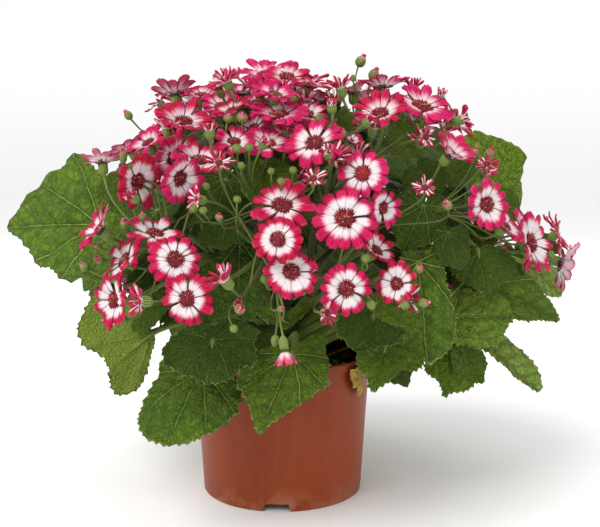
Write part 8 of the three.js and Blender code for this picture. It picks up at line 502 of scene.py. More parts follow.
("inner_un_1421",0,(-49.2,-42.3,233.2),(-55.1,-38,232.1),(-62.2,-27,234),(-66.1,-30.2,230.1),(0.175,-0.908,-0.382),(-0.359,-0.42,0.833),32.5,30.9,8,10,63,(34.8,32.5,29,26.9,25.3,22.6,19.7,17.8,17,16.8,16.4,15.7,14.6,13.5,13.1,13,13.3,13.3,13,12.4,12.2,11.9,10.1,6.5,1.9,6.1,9.2,10.9,11.5,12.2,13.2,13.8,13.8,13.5,13.4,13.8,14.8,16,16.8,17.3,17.7,18.4,20.1,22.3,23.9,24.7,26.6,30.7)),
("inner_un_2034",0,(-45.4,1.3,235.5),(-61,3.4,238.3),(-77.1,8.9,247.5),(-90.1,7.2,243.5),(-0.715,-0.312,-0.626),(-0.561,-0.278,0.78),37.4,35.5,8,10,94,(40.4,35.6,30.8,28.4,27.4,25.4,23,21.1,20.3,19.9,19.4,18.5,17,15.9,15.4,15.5,15.8,15.9,15.2,14.1,13.4,12.7,10.6,7,2.2,7.4,11.5,13.7,14,14.3,15,15.4,15.3,15,15,15.5,16.7,18.1,18.9,19.3,19.6,20.5,22.7,25.9,28.9,30.7,33.3,37.5)),
("inner_un_2061",0,(-45.4,1.3,235.5),(-64.4,-0.3,237.4),(-93.8,11.9,237.8),(-99.8,-3.1,240.9),(0.477,-0.872,0.111),(-0.535,-0.188,0.823),47.6,45.2,8,10,24,(50.6,46,40.4,37.1,35.1,31.8,28.4,26.1,25.5,25.5,25.3,24.3,22.6,20.9,19.9,19.6,19.6,19.3,18.4,17.2,16.8,16.5,14.1,9.3,2.8,9.3,14.3,17,17.8,18.5,19.6,20.1,19.8,19,18.6,19,20.4,22.2,23.6,24.7,25.6,27.3,30.4,34.2,37.1,38.3,40.7,45.8)),
("inner_un_4814",6,(78,42.5,206.2),(76.5,28.9,208),(75.9,15.3,210.8),(73.7,3.7,211.3),(-0.252,-0.967,-0.032),(0.461,-0.149,0.875),33.1,31.4,8,10,61,(35.4,31.9,27.8,25.5,24.2,22.1,19.9,18.4,17.9,17.9,17.7,16.9,15.6,14.4,13.7,13.5,13.6,13.4,12.9,12.1,11.8,11.5,9.8,6.4,1.9,6.5,10,11.9,12.5,12.9,13.6,13.8,13.5,13.1,12.9,13.2,14.3,15.6,16.6,17.3,17.9,18.9,20.9,23.5,25.6,26.6,28.5,32.2)),
("inner_un_5154",6,(83.6,41.7,211.6),(80.1,34.4,216.9),(75.6,28.6,224.5),(73.6,20.9,226.9),(-0.12,-0.992,0.033),(0.402,-0.018,0.916),37.1,35.3,8,10,13,(38.9,35.5,31.6,29.3,27.7,25.1,22.2,20.3,19.7,19.7,19.6,19,17.7,16.4,15.7,15.4,15.4,15,14.2,13.3,13,12.8,11.1,7.4,2.2,7.3,11.1,13.1,13.7,14.3,15.3,15.8,15.5,14.9,14.6,14.9,15.8,17.2,18.3,19.1,19.9,21.3,23.9,27,29.3,30,31.6,35.3)),
("inner_gap_45_377",5,(103.5,-26.6,207.9),(106,-15.7,219),(108.9,-3.3,228.8),(110.6,4.7,239.6),(0.095,0.492,0.865),(-0.426,-0.765,0.482),23.5,22.4,8,8,86,(24.9,22.6,20.2,19,18.3,16.5,14.4,12.8,12,11.7,11.5,11.2,10.6,10.1,10,10.1,10.3,10.2,9.6,8.8,8.3,8,6.8,4.5,1.4,4.6,7,8.1,8.4,8.8,9.5,10.1,10.2,10.1,10,10.2,10.7,11.3,11.6,11.7,11.9,12.6,14.2,16.4,18.4,19.4,20.6,22.9)),
("inner_gap_73_457",6,(108.8,48.7,173.1),(133.6,47.8,171.5),(165.8,56.6,181.1),(179.7,46.3,168.6),(0.052,-0.646,-0.762),(0.068,-0.759,0.648),28.8,27.3,8,8,69,(28.8,26.6,24.2,23.1,22.4,20.4,17.9,16.1,15.4,15.1,14.9,14.3,13.4,12.5,12,11.9,11.9,11.6,10.9,10.1,9.9,9.9,8.7,5.9,1.8,5.8,8.7,10,10.2,10.6,11.4,11.9,11.9,11.7,11.5,11.8,12.6,13.6,14.3,14.9,15.5,16.6,18.6,21.2,23,23.3,24.1,26.4)),
("inner_gap_75_176",5,(123.2,-42.8,177.4),(124.6,-42.4,175),(128.1,-42.3,172.7),(127.3,-41.7,170.4),(-0.856,0.173,-0.487),(-0.408,-0.805,0.431),31.5,29.9,8,8,79,(34,30,26.1,24.2,23.4,21.6,19.4,17.6,16.8,16.5,16,15.3,14.2,13.3,13,13.2,13.6,13.6,13,11.9,11.2,10.6,8.9,5.9,1.8,6.3,9.7,11.4,11.7,11.9,12.6,13.1,13.1,12.9,12.9,13.3,14.3,15.3,15.8,16,16.2,16.9,18.8,21.6,24.4,26,28.2,31.6)),
("inner_gap_83_13",1,(-16.8,-18.9,150.9),(-46.8,-18.6,145.9),(-103.1,-27.6,112.5),(-102.4,-17.9,136.6),(0.855,0.134,0.5),(-0.217,-0.785,0.58),23.4,22.2,8,8,13,(24.5,22.4,19.9,18.4,17.5,15.8,14,12.8,12.4,12.4,12.3,11.9,11.1,10.3,9.9,9.7,9.7,9.5,8.9,8.4,8.2,8,7,4.6,1.4,4.6,7,8.3,8.6,9,9.6,9.9,9.8,9.4,9.2,9.4,10,10.8,11.5,12,12.5,13.4,15,17,18.5,18.9,19.9,22.2)),
("inner_gap_79_25",5,(123.2,-42.8,177.4),(125,-35.6,171.1),(126.7,-23.4,167.5),(128.4,-22.4,159.4),(0.156,-0.442,-0.883),(-0.053,-0.897,0.439),18.9,18,8,8,25,(19.2,17.3,15.5,14.9,14.8,13.8,12.3,11.1,10.4,10,9.6,9.1,8.3,7.7,7.5,7.6,7.8,7.8,7.5,7,6.7,6.5,5.6,3.8,1.2,3.9,5.9,6.7,6.7,6.8,7.1,7.5,7.6,7.6,7.7,8.1,8.8,9.5,9.9,10.1,10.2,10.6,11.8,13.3,14.7,15.3,16.2,17.8)),
("inner_gap_40_9",6,(47.1,50.7,223.2),(53.4,41.5,232.1),(66.9,28.5,237.3),(65.3,24.3,248.7),(-0.572,0.051,0.819),(-0.023,-0.999,0.046),25.9,24.6,8,8,9,(28,25.3,22,20,18.9,17.2,15.4,14.2,13.8,13.8,13.7,13.1,12.2,11.2,10.8,10.7,10.7,10.6,10.2,9.6,9.3,9,7.6,5,1.5,5,7.7,9.3,9.8,10.1,10.7,10.9,10.7,10.3,10.2,10.4,11.2,12.2,12.9,13.4,13.8,14.6,16.2,18.2,19.9,20.8,22.4,25.4)),
("inner_gap_55_482",6,(83.6,41.7,211.6),(104.8,34.9,215.6),(140.1,14.1,240.3),(144,22.2,223.2),(-0.714,0.444,-0.541),(-0.525,-0.851,-0.004),27.1,25.8,8,8,94,(29.3,25.8,22.3,20.6,19.9,18.4,16.7,15.3,14.7,14.5,14.1,13.4,12.3,11.5,11.2,11.2,11.5,11.5,11,10.2,9.7,9.2,7.7,5.1,1.6,5.4,8.4,9.9,10.2,10.4,10.9,11.2,11.1,10.9,10.9,11.3,12.1,13.1,13.7,14,14.2,14.9,16.4,18.8,21,22.3,24.2,27.2)),
("inner_gap_23_461",6,(47.1,50.7,223.2),(43.3,47.1,241.4),(42.6,46.3,261.5),(36.3,40.3,275.3),(-0.525,-0.496,0.691),(0.145,-0.853,-0.502),20.4,19.4,8,8,73,(20.3,18.6,17,16.4,16.2,14.9,13.2,11.7,11,10.7,10.3,9.8,9.1,8.6,8.3,8.4,8.5,8.4,7.9,7.4,7.1,7,6.1,4.2,1.3,4.2,6.2,7.1,7.1,7.3,7.8,8.3,8.4,8.4,8.4,8.7,9.3,10,10.4,10.7,10.9,11.6,12.9,14.8,16.2,16.6,17.3,18.8)),
("inner_gap_62_20",1,(-60.6,-90.8,181.4),(-64.5,-88.8,183.2),(-72.1,-86.7,182.8),(-71.8,-85.1,186.5),(0.767,0.045,0.64),(-0.077,-0.984,0.161),19,18.1,8,8,20,(20.8,18.6,16,14.6,13.8,12.7,11.4,10.5,10.2,10.2,10,9.6,8.8,8.2,7.9,7.8,7.9,7.9,7.6,7.1,6.9,6.6,5.5,3.6,1.1,3.7,5.7,6.9,7.2,7.4,7.8,8,7.9,7.6,7.5,7.7,8.3,9.1,9.6,9.9,10.1,10.6,11.7,13.2,14.5,15.3,16.6,18.9)),
("inner_gap_30_96",0,(-34.1,-28.4,240),(-29.3,-26.5,254.9),(-25.1,-10.3,283.2),(-20.5,-22.9,282.5),(-0.099,-0.541,-0.835),(0.504,-0.751,0.426),24.6,23.4,8,8,96,(26.3,24,21.2,19.8,19,17.5,15.6,14.1,13.4,13,12.5,11.7,10.7,9.9,9.6,9.7,10,10.2,10,9.5,9.3,8.9,7.5,4.8,1.4,4.8,7.3,8.5,8.8,9,9.6,10,10.1,10,10.1,10.6,11.5,12.5,13.2,13.4,13.5,13.8,14.9,16.5,18,18.9,20.6,23.6)),
("inner_gap_58_25",5,(52.3,-25.2,169.5),(55.8,-16.4,175.1),(66.3,-5.4,178.6),(62.3,-0.1,185.3),(-0.841,0.079,0.534),(0.107,-0.945,0.308),17.2,16.3,8,8,25,(17.4,15.7,14.1,13.6,13.4,12.5,11.2,10.1,9.5,9.1,8.7,8.2,7.5,7,6.8,6.9,7.1,7.1,6.8,6.4,6.1,5.9,5.1,3.4,1.1,3.5,5.3,6.1,6.1,6.1,6.5,6.8,6.9,6.9,7,7.4,8,8.6,9,9.1,9.3,9.7,10.7,12.1,13.4,13.9,14.7,16.2)),
("inner_gap_53_47",0,(-10.8,-1.7,240),(-6.9,-7.5,241.2),(-4.8,-15.6,245.2),(0.4,-18.3,243.5),(0.805,0.038,-0.592),(0.097,-0.993,0.068),24.1,22.9,8,8,47,(24,21.9,19.9,19.3,19,17.5,15.5,13.8,13,12.6,12.3,11.7,10.9,10.2,9.9,9.9,10,9.9,9.4,8.7,8.3,8.2,7.2,4.9,1.5,5,7.4,8.4,8.4,8.6,9.2,9.8,9.9,9.8,9.9,10.2,10.9,11.7,12.2,12.5,12.9,13.6,15.3,17.5,19.2,19.7,20.5,22.3)),
("inner_gap_88_65",1,(-24.8,-34.1,160.9),(-42,-35.9,154.2),(-62.1,-34.2,151),(-74,-39.4,141.8),(-0.511,-0.488,-0.707),(-0.072,-0.796,0.601),15.3,14.5,8,8,65,(15.8,14.5,12.9,12.1,11.5,10.4,9.3,8.5,8.2,8.2,8.1,7.8,7.2,6.7,6.4,6.3,6.2,6.1,5.8,5.4,5.3,5.3,4.6,3.1,0.9,3,4.6,5.4,5.6,5.8,6.2,6.4,6.3,6.1,6,6.1,6.5,7.1,7.6,8,8.3,8.9,9.9,11.2,12.1,12.3,12.9,14.3)),
("inner_gap_66_10",5,(123.2,-42.8,177.4),(145.5,-31.2,179),(166.3,-11.3,187.9),(187,-9.7,182),(0.822,-0.267,-0.502),(0.102,-0.799,0.593),15.9,15.1,8,8,10,(15.9,14.4,13,12.5,12.4,11.5,10.3,9.2,8.7,8.4,8.1,7.7,7.1,6.6,6.4,6.5,6.6,6.6,6.2,5.8,5.5,5.4,4.7,3.2,1,3.3,4.9,5.6,5.6,5.7,6,6.3,6.4,6.4,6.5,6.7,7.2,7.8,8.1,8.3,8.5,8.9,10,11.4,12.6,13,13.6,14.9)),
("inner_gap_77_123",7,(-85,70.9,169.1),(-99.8,45,163.7),(-130.4,6.7,177.6),(-127.3,-3.3,153.7),(0.536,0.346,-0.77),(0.497,-0.867,-0.044),17,16.1,8,8,26,(17.9,16.8,15.2,14.2,13.3,11.9,10.3,9.2,8.8,8.6,8.5,8.2,7.6,7.1,6.9,6.9,7,6.9,6.7,6.4,6.3,6.2,5.3,3.4,1,3.2,4.8,5.6,5.9,6.3,6.9,7.2,7.3,7.1,7,7.2,7.7,8.3,8.7,8.9,9.2,9.6,10.5,11.7,12.6,12.9,13.8,15.8)),
("inner_gap_57_1",3,(47.7,-99.6,187),(49.2,-94.4,191.6),(51.2,-89.1,196.1),(52,-84.7,200.2),(0.059,0.715,0.696),(-0.454,-0.602,0.657),20.7,19.6,8,8,1,(22.5,20,17.4,16.2,15.6,14.3,12.7,11.5,10.9,10.6,10.3,9.8,9.1,8.6,8.5,8.6,8.9,9,8.6,8,7.5,7.1,5.9,3.9,1.2,4,6.2,7.4,7.6,7.8,8.3,8.6,8.7,8.6,8.6,8.9,9.5,10.2,10.5,10.6,10.6,11,12.2,13.9,15.7,16.8,18.4,20.7)),
("inner_gap_31_197",4,(47.7,-25.9,241.6),(60.4,-17.4,248.8),(77.7,-9.7,251.9),(84.1,-1.7,262.2),(0.101,0.512,0.853),(0.006,-0.858,0.514),14.6,13.9,8,8,3,(15.2,13.7,12.1,11.5,11.2,10.5,9.4,8.6,8.1,7.9,7.5,7,6.4,5.9,5.7,5.7,5.9,6,5.8,5.5,5.3,5.2,4.4,2.9,0.9,2.9,4.5,5.2,5.2,5.3,5.5,5.8,5.8,5.8,5.9,6.2,6.8,7.4,7.8,7.9,8,8.3,9,10.1,11,11.5,12.3,13.9)),
("inner_gap_71_32",5,(58.1,-29.7,172.4),(67.2,-25.1,168.3),(79.3,-21.4,154.4),(84.1,-16.6,160.9),(-0.24,0.118,0.964),(-0.462,-0.887,-0.006),21.5,20.4,8,8,32,(21.4,19.6,17.9,17.2,16.7,15.3,13.5,12.1,11.5,11.3,11,10.6,9.9,9.2,8.9,8.9,8.9,8.8,8.2,7.6,7.3,7.3,6.4,4.4,1.4,4.4,6.5,7.5,7.6,7.8,8.4,8.8,8.9,8.7,8.7,8.9,9.5,10.2,10.7,11.1,11.4,12.2,13.8,15.8,17.3,17.6,18.2,19.8)),
("inner_gap_34_40",0,(-15,-43,242.2),(-17.8,-41.8,246.7),(-20.3,-39.9,251.3),(-23.1,-39.7,255),(-0.66,-0.1,0.744),(0.25,-0.964,0.092),20.6,19.6,8,8,40,(21.2,19.1,17,16.3,16,15,13.4,12.1,11.4,11,10.5,9.8,8.9,8.3,8.1,8.1,8.4,8.5,8.2,7.8,7.5,7.2,6.2,4.1,1.3,4.2,6.3,7.2,7.3,7.4,7.8,8.1,8.2,8.3,8.4,8.9,9.6,10.4,10.9,11.1,11.2,11.6,12.7,14.2,15.6,16.4,17.5,19.5)),
("inner_gap_50_211",0,(-15.8,-8.6,228.7),(-18,-4.1,229.2),(-19.3,1.7,228.3),(-22.1,4.4,230.3),(-0.699,0.266,0.664),(0.157,-0.848,0.506),21.2,20.1,8,8,17,(21.4,19.7,17.8,16.9,16.3,14.8,13.1,11.8,11.3,11.2,11,10.6,9.9,9.3,8.9,8.9,8.8,8.6,8.1,7.5,7.2,7.2,6.3,4.3,1.3,4.3,6.4,7.4,7.6,7.9,8.5,8.9,8.8,8.6,8.5,8.7,9.2,9.9,10.4,10.9,11.3,12.1,13.7,15.6,17.1,17.4,18,19.7)),
("inner_gap_43_6",0,(-45.4,1.3,235.5),(-53.7,15.2,242),(-65.4,35.7,240.7),(-69.2,41.1,254.2),(0.034,-0.164,0.986),(0.365,-0.916,-0.165),13.1,12.4,8,8,6,(13.1,12,10.8,10.4,10.1,9.3,8.2,7.3,7,6.8,6.7,6.5,6,5.7,5.5,5.5,5.5,5.3,5,4.6,4.5,4.4,3.9,2.6,0.8,2.7,4,4.6,4.6,4.8,5.1,5.4,5.4,5.3,5.3,5.4,5.7,6.2,6.5,6.7,6.9,7.4,8.4,9.6,10.5,10.8,11.2,12.1)),
("behind_centre",3,(7,-16.9,146.2),(28.5,-43.2,146.3),(64.2,-90,128.6),(68.4,-92,118),(0.526,-0.248,-0.814),(0.214,-0.888,0.408),24.2,30,8,8,71,(24.2,22.5,20.8,20.4,19.4,17.9,17,15.5,14.5,13.3,12.1,11.1,10.2,9.7,9.2,8.7,8.2,8,7.8,7.8,7.3,6.8,5.8,4.4,2.4,4.4,5.8,6.8,7.3,7.8,7.8,8,8.2,8.7,9.2,9.7,10.2,11.1,12.1,13.3,14.5,15.5,17,17.9,19.4,20.4,20.8,22.5)),
("behind_lower",4,(15.7,-10.4,146.8),(52.6,-27.1,144.8),(116.8,-56.7,123),(121.2,-58,112.4),(0.541,-0.159,-0.826),(0.294,-0.884,0.363),25.2,28,8,8,72,(25.2,23.5,21.7,21.2,20.2,18.7,17.7,16.1,15.1,13.9,12.6,11.6,10.6,10.1,9.6,9.1,8.6,8.3,8.1,8.1,7.6,7.1,6.1,4.5,2.5,4.5,6.1,7.1,7.6,8.1,8.1,8.3,8.6,9.1,9.6,10.1,10.6,11.6,12.6,13.9,15.1,16.1,17.7,18.7,20.2,21.2,21.7,23.5)),
("behind_left",7,(-9,14.8,145),(-40.4,27.1,160.3),(-93.8,51.5,170.4),(-98.7,50,160.3),(-0.62,-0.182,-0.763),(-0.151,-0.927,0.344),33,42,8,8,73,(33,30.7,28.4,27.7,26.4,24.4,23.1,21.1,19.8,18.1,16.5,15.2,13.9,13.2,12.5,11.9,11.2,10.9,10.6,10.6,9.9,9.2,7.9,5.9,3.3,5.9,7.9,9.2,9.9,10.6,10.6,10.9,11.2,11.9,12.5,13.2,13.9,15.2,16.5,18.1,19.8,21.1,23.1,24.4,26.4,27.7,28.4,30.7)),
("behind_upper",7,(-9,14.8,145),(-31.4,29.2,177.2),(-68.8,57.8,219),(-73.1,56,208.4),(-0.527,-0.221,-0.821),(-0.142,-0.929,0.341),27.2,36,8,8,74,(27.2,25.3,23.4,22.8,21.8,20.1,19,17.4,16.3,15,13.6,12.5,11.4,10.9,10.3,9.8,9.2,9,8.7,8.7,8.2,7.6,6.5,4.9,2.7,4.9,6.5,7.6,8.2,8.7,8.7,9,9.2,9.8,10.3,10.9,11.4,12.5,13.6,15,16.3,17.4,19,20.1,21.8,22.8,23.4,25.3)),
("behind_mid",7,(-9,14.8,145),(-11.5,30.6,172.2),(-12.7,62.1,205),(-16.2,60,194.1),(-0.432,-0.258,-0.864),(-0.05,-0.95,0.309),23.2,28,8,8,75,(23.2,21.6,20,19.5,18.6,17.2,16.3,14.9,13.9,12.8,11.6,10.7,9.8,9.3,8.8,8.4,7.9,7.7,7.4,7.4,7,6.5,5.6,4.2,2.3,4.2,5.6,6.5,7,7.4,7.4,7.7,7.9,8.4,8.8,9.3,9.8,10.7,11.6,12.8,13.9,14.9,16.3,17.2,18.6,19.5,20,21.6)),
("leaf_withered",-1,(12,-6,93),(40,6,92),(64,-20,124),(54.6,-43.6,95),(0.114,0.259,-0.959),(0.825,-0.562,-0.054),19.5,17,-14,6,5,(19.5,19.4,16.7,14.4,9.9,11.2,10.1,9.2,8.7,8.5,7.8,7.4,7.4,7.2,7.6,6.7,6.2,5.8,5.6,5.2,4.7,4.5,4.3,4,4,4,4.3,4.5,4.9,5.2,5.6,5.8,6.3,6.7,7.4,7.6,8.1,8.5,9,9.4,9.6,10.1,10.8,11.6,13.4,11.4,15.2,18.6)),
]
# each flower stalk from the crown to its fork, as control points
STALKS = [
((-10.9,-1.7,137),(-26.6,-4.2,156.9),(-11.9,-9.1,184.4),(-19.2,-14.8,208.1)),
((-8,-7.5,137),(-19.7,-18.4,157),(-26.9,-42,164.6),(-39.9,-62.2,173.5)),
((-2.4,-10.7,137),(-6,-26.9,157.7),(-4.5,-50.9,166.6),(-6.6,-75.4,176.5)),
((4.2,-10.2,137),(10.4,-25.2,157.4),(20.3,-50.8,159),(29.8,-74.3,165)),
((9.2,-6.1,137),(23.7,-15.7,158.7),(17.7,-25.1,185.1),(27.7,-39.2,206.9)),
((11,0.1,137),(28.8,0.3,159.2),(47,-25.1,167.4),(70.3,-37.5,178)),
((8.3,7.2,137),(19.5,17,155.6),(32.6,28.4,168.3),(48.6,42.3,179.2)),
((-5.7,9.4,137),(-13.1,21.5,154.7),(-21.9,36.1,166.2),(-32.6,53.6,176)),
]
# the branches: stalk, then the control points
BRANCHES = [
(0,(-19.2,-14.8,208.1),(-29.3,-23.4,226.1),(-42.8,-36.6,225.4),(-54.1,-46.8,237.7)),
(0,(-19.2,-14.8,208.1),(-25.1,-19.7,224),(-30.8,-25.5,232.1),(-36.6,-30.6,245.5)),
(0,(-19.2,-14.8,208.1),(-28.1,-14.1,225.1),(-39.8,-0.9,227.6),(-49.7,3.7,240.4)),
(0,(-19.2,-14.8,208.1),(-22,-23.3,226.9),(-14.8,-37.3,233.2),(-14.5,-47.6,248.2)),
(0,(-19.2,-14.8,208.1),(-20.6,-14.2,227.9),(-9.5,-0.8,236),(-7,3.9,252.5)),
(1,(-39.9,-62.2,173.5),(-50.7,-78.2,179.5),(-58.9,-88.1,180.1),(-68.7,-102,184.3)),
(1,(-39.9,-62.2,173.5),(-49.9,-82.4,177.6),(-50.6,-97.6,169),(-57.8,-116.3,169.2)),
(1,(-39.9,-62.2,173.5),(-52.9,-76.2,184.4),(-63.8,-73.4,197.7),(-76.2,-82.2,209.4)),
(1,(-39.9,-62.2,173.5),(-47.6,-75.9,183.3),(-47.1,-80.1,196.7),(-52.4,-90.9,207.6)),
(2,(-6.6,-75.4,176.5),(-12,-97.6,180.3),(-23.2,-108.6,168.7),(-30.4,-127.5,167.8)),
(2,(-6.6,-75.4,176.5),(-9.4,-99,180.1),(-12.8,-113.1,167.2),(-15.7,-133.9,165.7)),
(2,(-6.6,-75.4,176.5),(-10.7,-93.5,185.8),(-19.4,-100.6,195),(-24.9,-115.3,204.3)),
(2,(-6.6,-75.4,176.5),(-10.5,-95.9,184.7),(-18.2,-107.5,189.2),(-23.1,-125.2,196.3)),
(2,(-6.6,-75.4,176.5),(-9.1,-92.7,188.2),(-12.2,-95.2,203.9),(-14.9,-108,216.8)),
(2,(-6.6,-75.4,176.5),(-6.8,-97.8,180.2),(-2.3,-111.5,168.9),(-1.1,-131.4,168)),
(2,(-6.6,-75.4,176.5),(-6.3,-93.9,185.8),(-0.8,-102.7,195.2),(1.1,-118.1,204.4)),
(2,(-6.6,-75.4,176.5),(-4.3,-94.2,188.3),(7.7,-96.8,202.3),(13.1,-110.7,214.9)),
(3,(29.8,-74.3,165),(35,-94.2,169),(31.6,-108.1,169.2),(34.2,-126,172.1)),
(3,(29.8,-74.3,165),(36.9,-90.8,167.6),(42.7,-100.9,165),(49.3,-115.3,166.1)),
(3,(29.8,-74.3,165),(38.6,-91.7,173.2),(46.3,-96,186.2),(54.8,-109.3,195.9)),
(4,(27.7,-39.2,206.9),(30.1,-51.2,222.9),(18.5,-61.1,229.7),(16.6,-72.5,242.9)),
(4,(27.7,-39.2,206.9),(33.4,-53.6,222.6),(30.3,-69.7,226),(33.3,-84.6,237.9)),
(4,(27.7,-39.2,206.9),(35,-48.4,224.3),(39.1,-50.4,237.1),(45.4,-57.4,253)),
(4,(27.7,-39.2,206.9),(37.4,-52,222.4),(47.7,-63.2,225.5),(57.5,-75.5,237.1)),
(4,(27.7,-39.2,206.9),(36.5,-42.8,224.3),(42.9,-26.7,232.7),(51.1,-24,247.7)),
(4,(27.7,-39.2,206.9),(40.3,-48.8,225),(57.2,-46.9,231.6),(71.1,-53,246.1)),
(5,(70.3,-37.5,178),(85.9,-51.3,187.7),(84.5,-67.8,195),(94.9,-82.5,204)),
(5,(70.3,-37.5,178),(87.4,-49.5,187.6),(92.6,-61.8,195.8),(106,-73.7,204.9)),
(5,(70.3,-37.5,178),(88.3,-41.2,189.2),(94.7,-27.1,201.2),(109.4,-25.2,212.9)),
(5,(70.3,-37.5,178),(93.3,-45.2,183.5),(110.8,-40.1,176),(132.1,-43.9,177.6)),
(6,(48.6,42.3,179.2),(57.7,52.4,195.2),(45,47.1,213.2),(47.2,52.4,230.6)),
(6,(48.6,42.3,179.2),(58.8,62.5,187),(44.6,81.3,179.8),(47.2,101.8,182.9)),
(6,(48.6,42.3,179.2),(59,55.7,190.7),(55.1,65.7,202.1),(61.1,78.1,213.6)),
(6,(48.6,42.3,179.2),(64.4,59.3,185.1),(70.3,74.5,174.1),(83.1,91,174.9)),
(6,(48.6,42.3,179.2),(65,50.3,192.1),(75.1,39.7,204.2),(89.7,42,217)),
(6,(48.6,42.3,179.2),(67.1,54.8,186.8),(83.7,57.7,182.4),(101.5,67.2,186.4)),
(6,(48.6,42.3,179.2),(73.5,54.3,186.2),(94.7,44.8,172),(119.1,50.2,172.5)),
(7,(-32.6,53.6,176),(-51.7,70.3,181.8),(-73.3,64.4,168.5),(-93.9,74.3,168.3)),
(7,(-32.6,53.6,176),(-47.2,66.2,186.6),(-63.7,59.1,193.4),(-79.1,65.7,202.9)),
(7,(-32.6,53.6,176),(-43.5,69.5,182.7),(-53.6,78.9,180.9),(-64.2,92.8,185)),
(7,(-32.6,53.6,176),(-40,65.8,190),(-37,60.5,207.9),(-41.3,67.4,223.4)),
(7,(-32.6,53.6,176),(-39.3,74.6,181.7),(-31,90.7,172.4),(-33.2,110.6,173.5)),
(7,(-32.6,53.6,176),(-36,72.1,187.1),(-18.8,81.2,194.3),(-15.7,97.1,204.4)),
]

# ------------------------------------------------------------------ small maths
def vec(a):
    return np.array(a, float)


def unit(a):
    a = np.asarray(a, float)
    return a / np.linalg.norm(a)


def smooth(x, lo=0.0, hi=1.0):
    t = np.clip((x - lo) / (hi - lo), 0, 1)
    return t * t * (3 - 2 * t)


def basis(n):
    n = unit(n)
    a = unit(np.cross(n, [0.31, 0.7, 0.64]))
    return a, np.cross(n, a), n


def bezier(c, count):
    t = np.linspace(0, 1, count)[:, None]
    c = [vec(x) for x in c]
    return (1 - t) ** 3 * c[0] + 3 * (1 - t) ** 2 * t * c[1] + 3 * (1 - t) * t * t * c[2] + t ** 3 * c[3]


def value_noise(seed, period):
    """A smooth periodic curve through random values, as a function of 0..1."""
    r = np.random.RandomState(seed)
    v = r.rand(period) * 2 - 1

    def f(x):
        u = (np.asarray(x, float) % 1.0) * period
        i = np.floor(u).astype(int) % period
        t = u - np.floor(u)
        t = t * t * (3 - 2 * t)
        return v[i] * (1 - t) + v[(i + 1) % period] * t
    return f


def lattice(seed, size=32):
    """Smooth noise over the plane, from a table of random values."""
    table = np.random.RandomState(seed).rand(size, size) * 2 - 1

    def f(x, y):
        x, y = np.broadcast_arrays(np.asarray(x, float), np.asarray(y, float))
        i, j = np.floor(x).astype(int), np.floor(y).astype(int)
        s, t = x - i, y - j
        s, t = s * s * (3 - 2 * s), t * t * (3 - 2 * t)
        g = lambda a, b: table[a % size, b % size]
        return (g(i, j) * (1 - s) + g(i + 1, j) * s) * (1 - t) + (g(i, j + 1) * (1 - s) + g(i + 1, j + 1) * s) * t
    return f


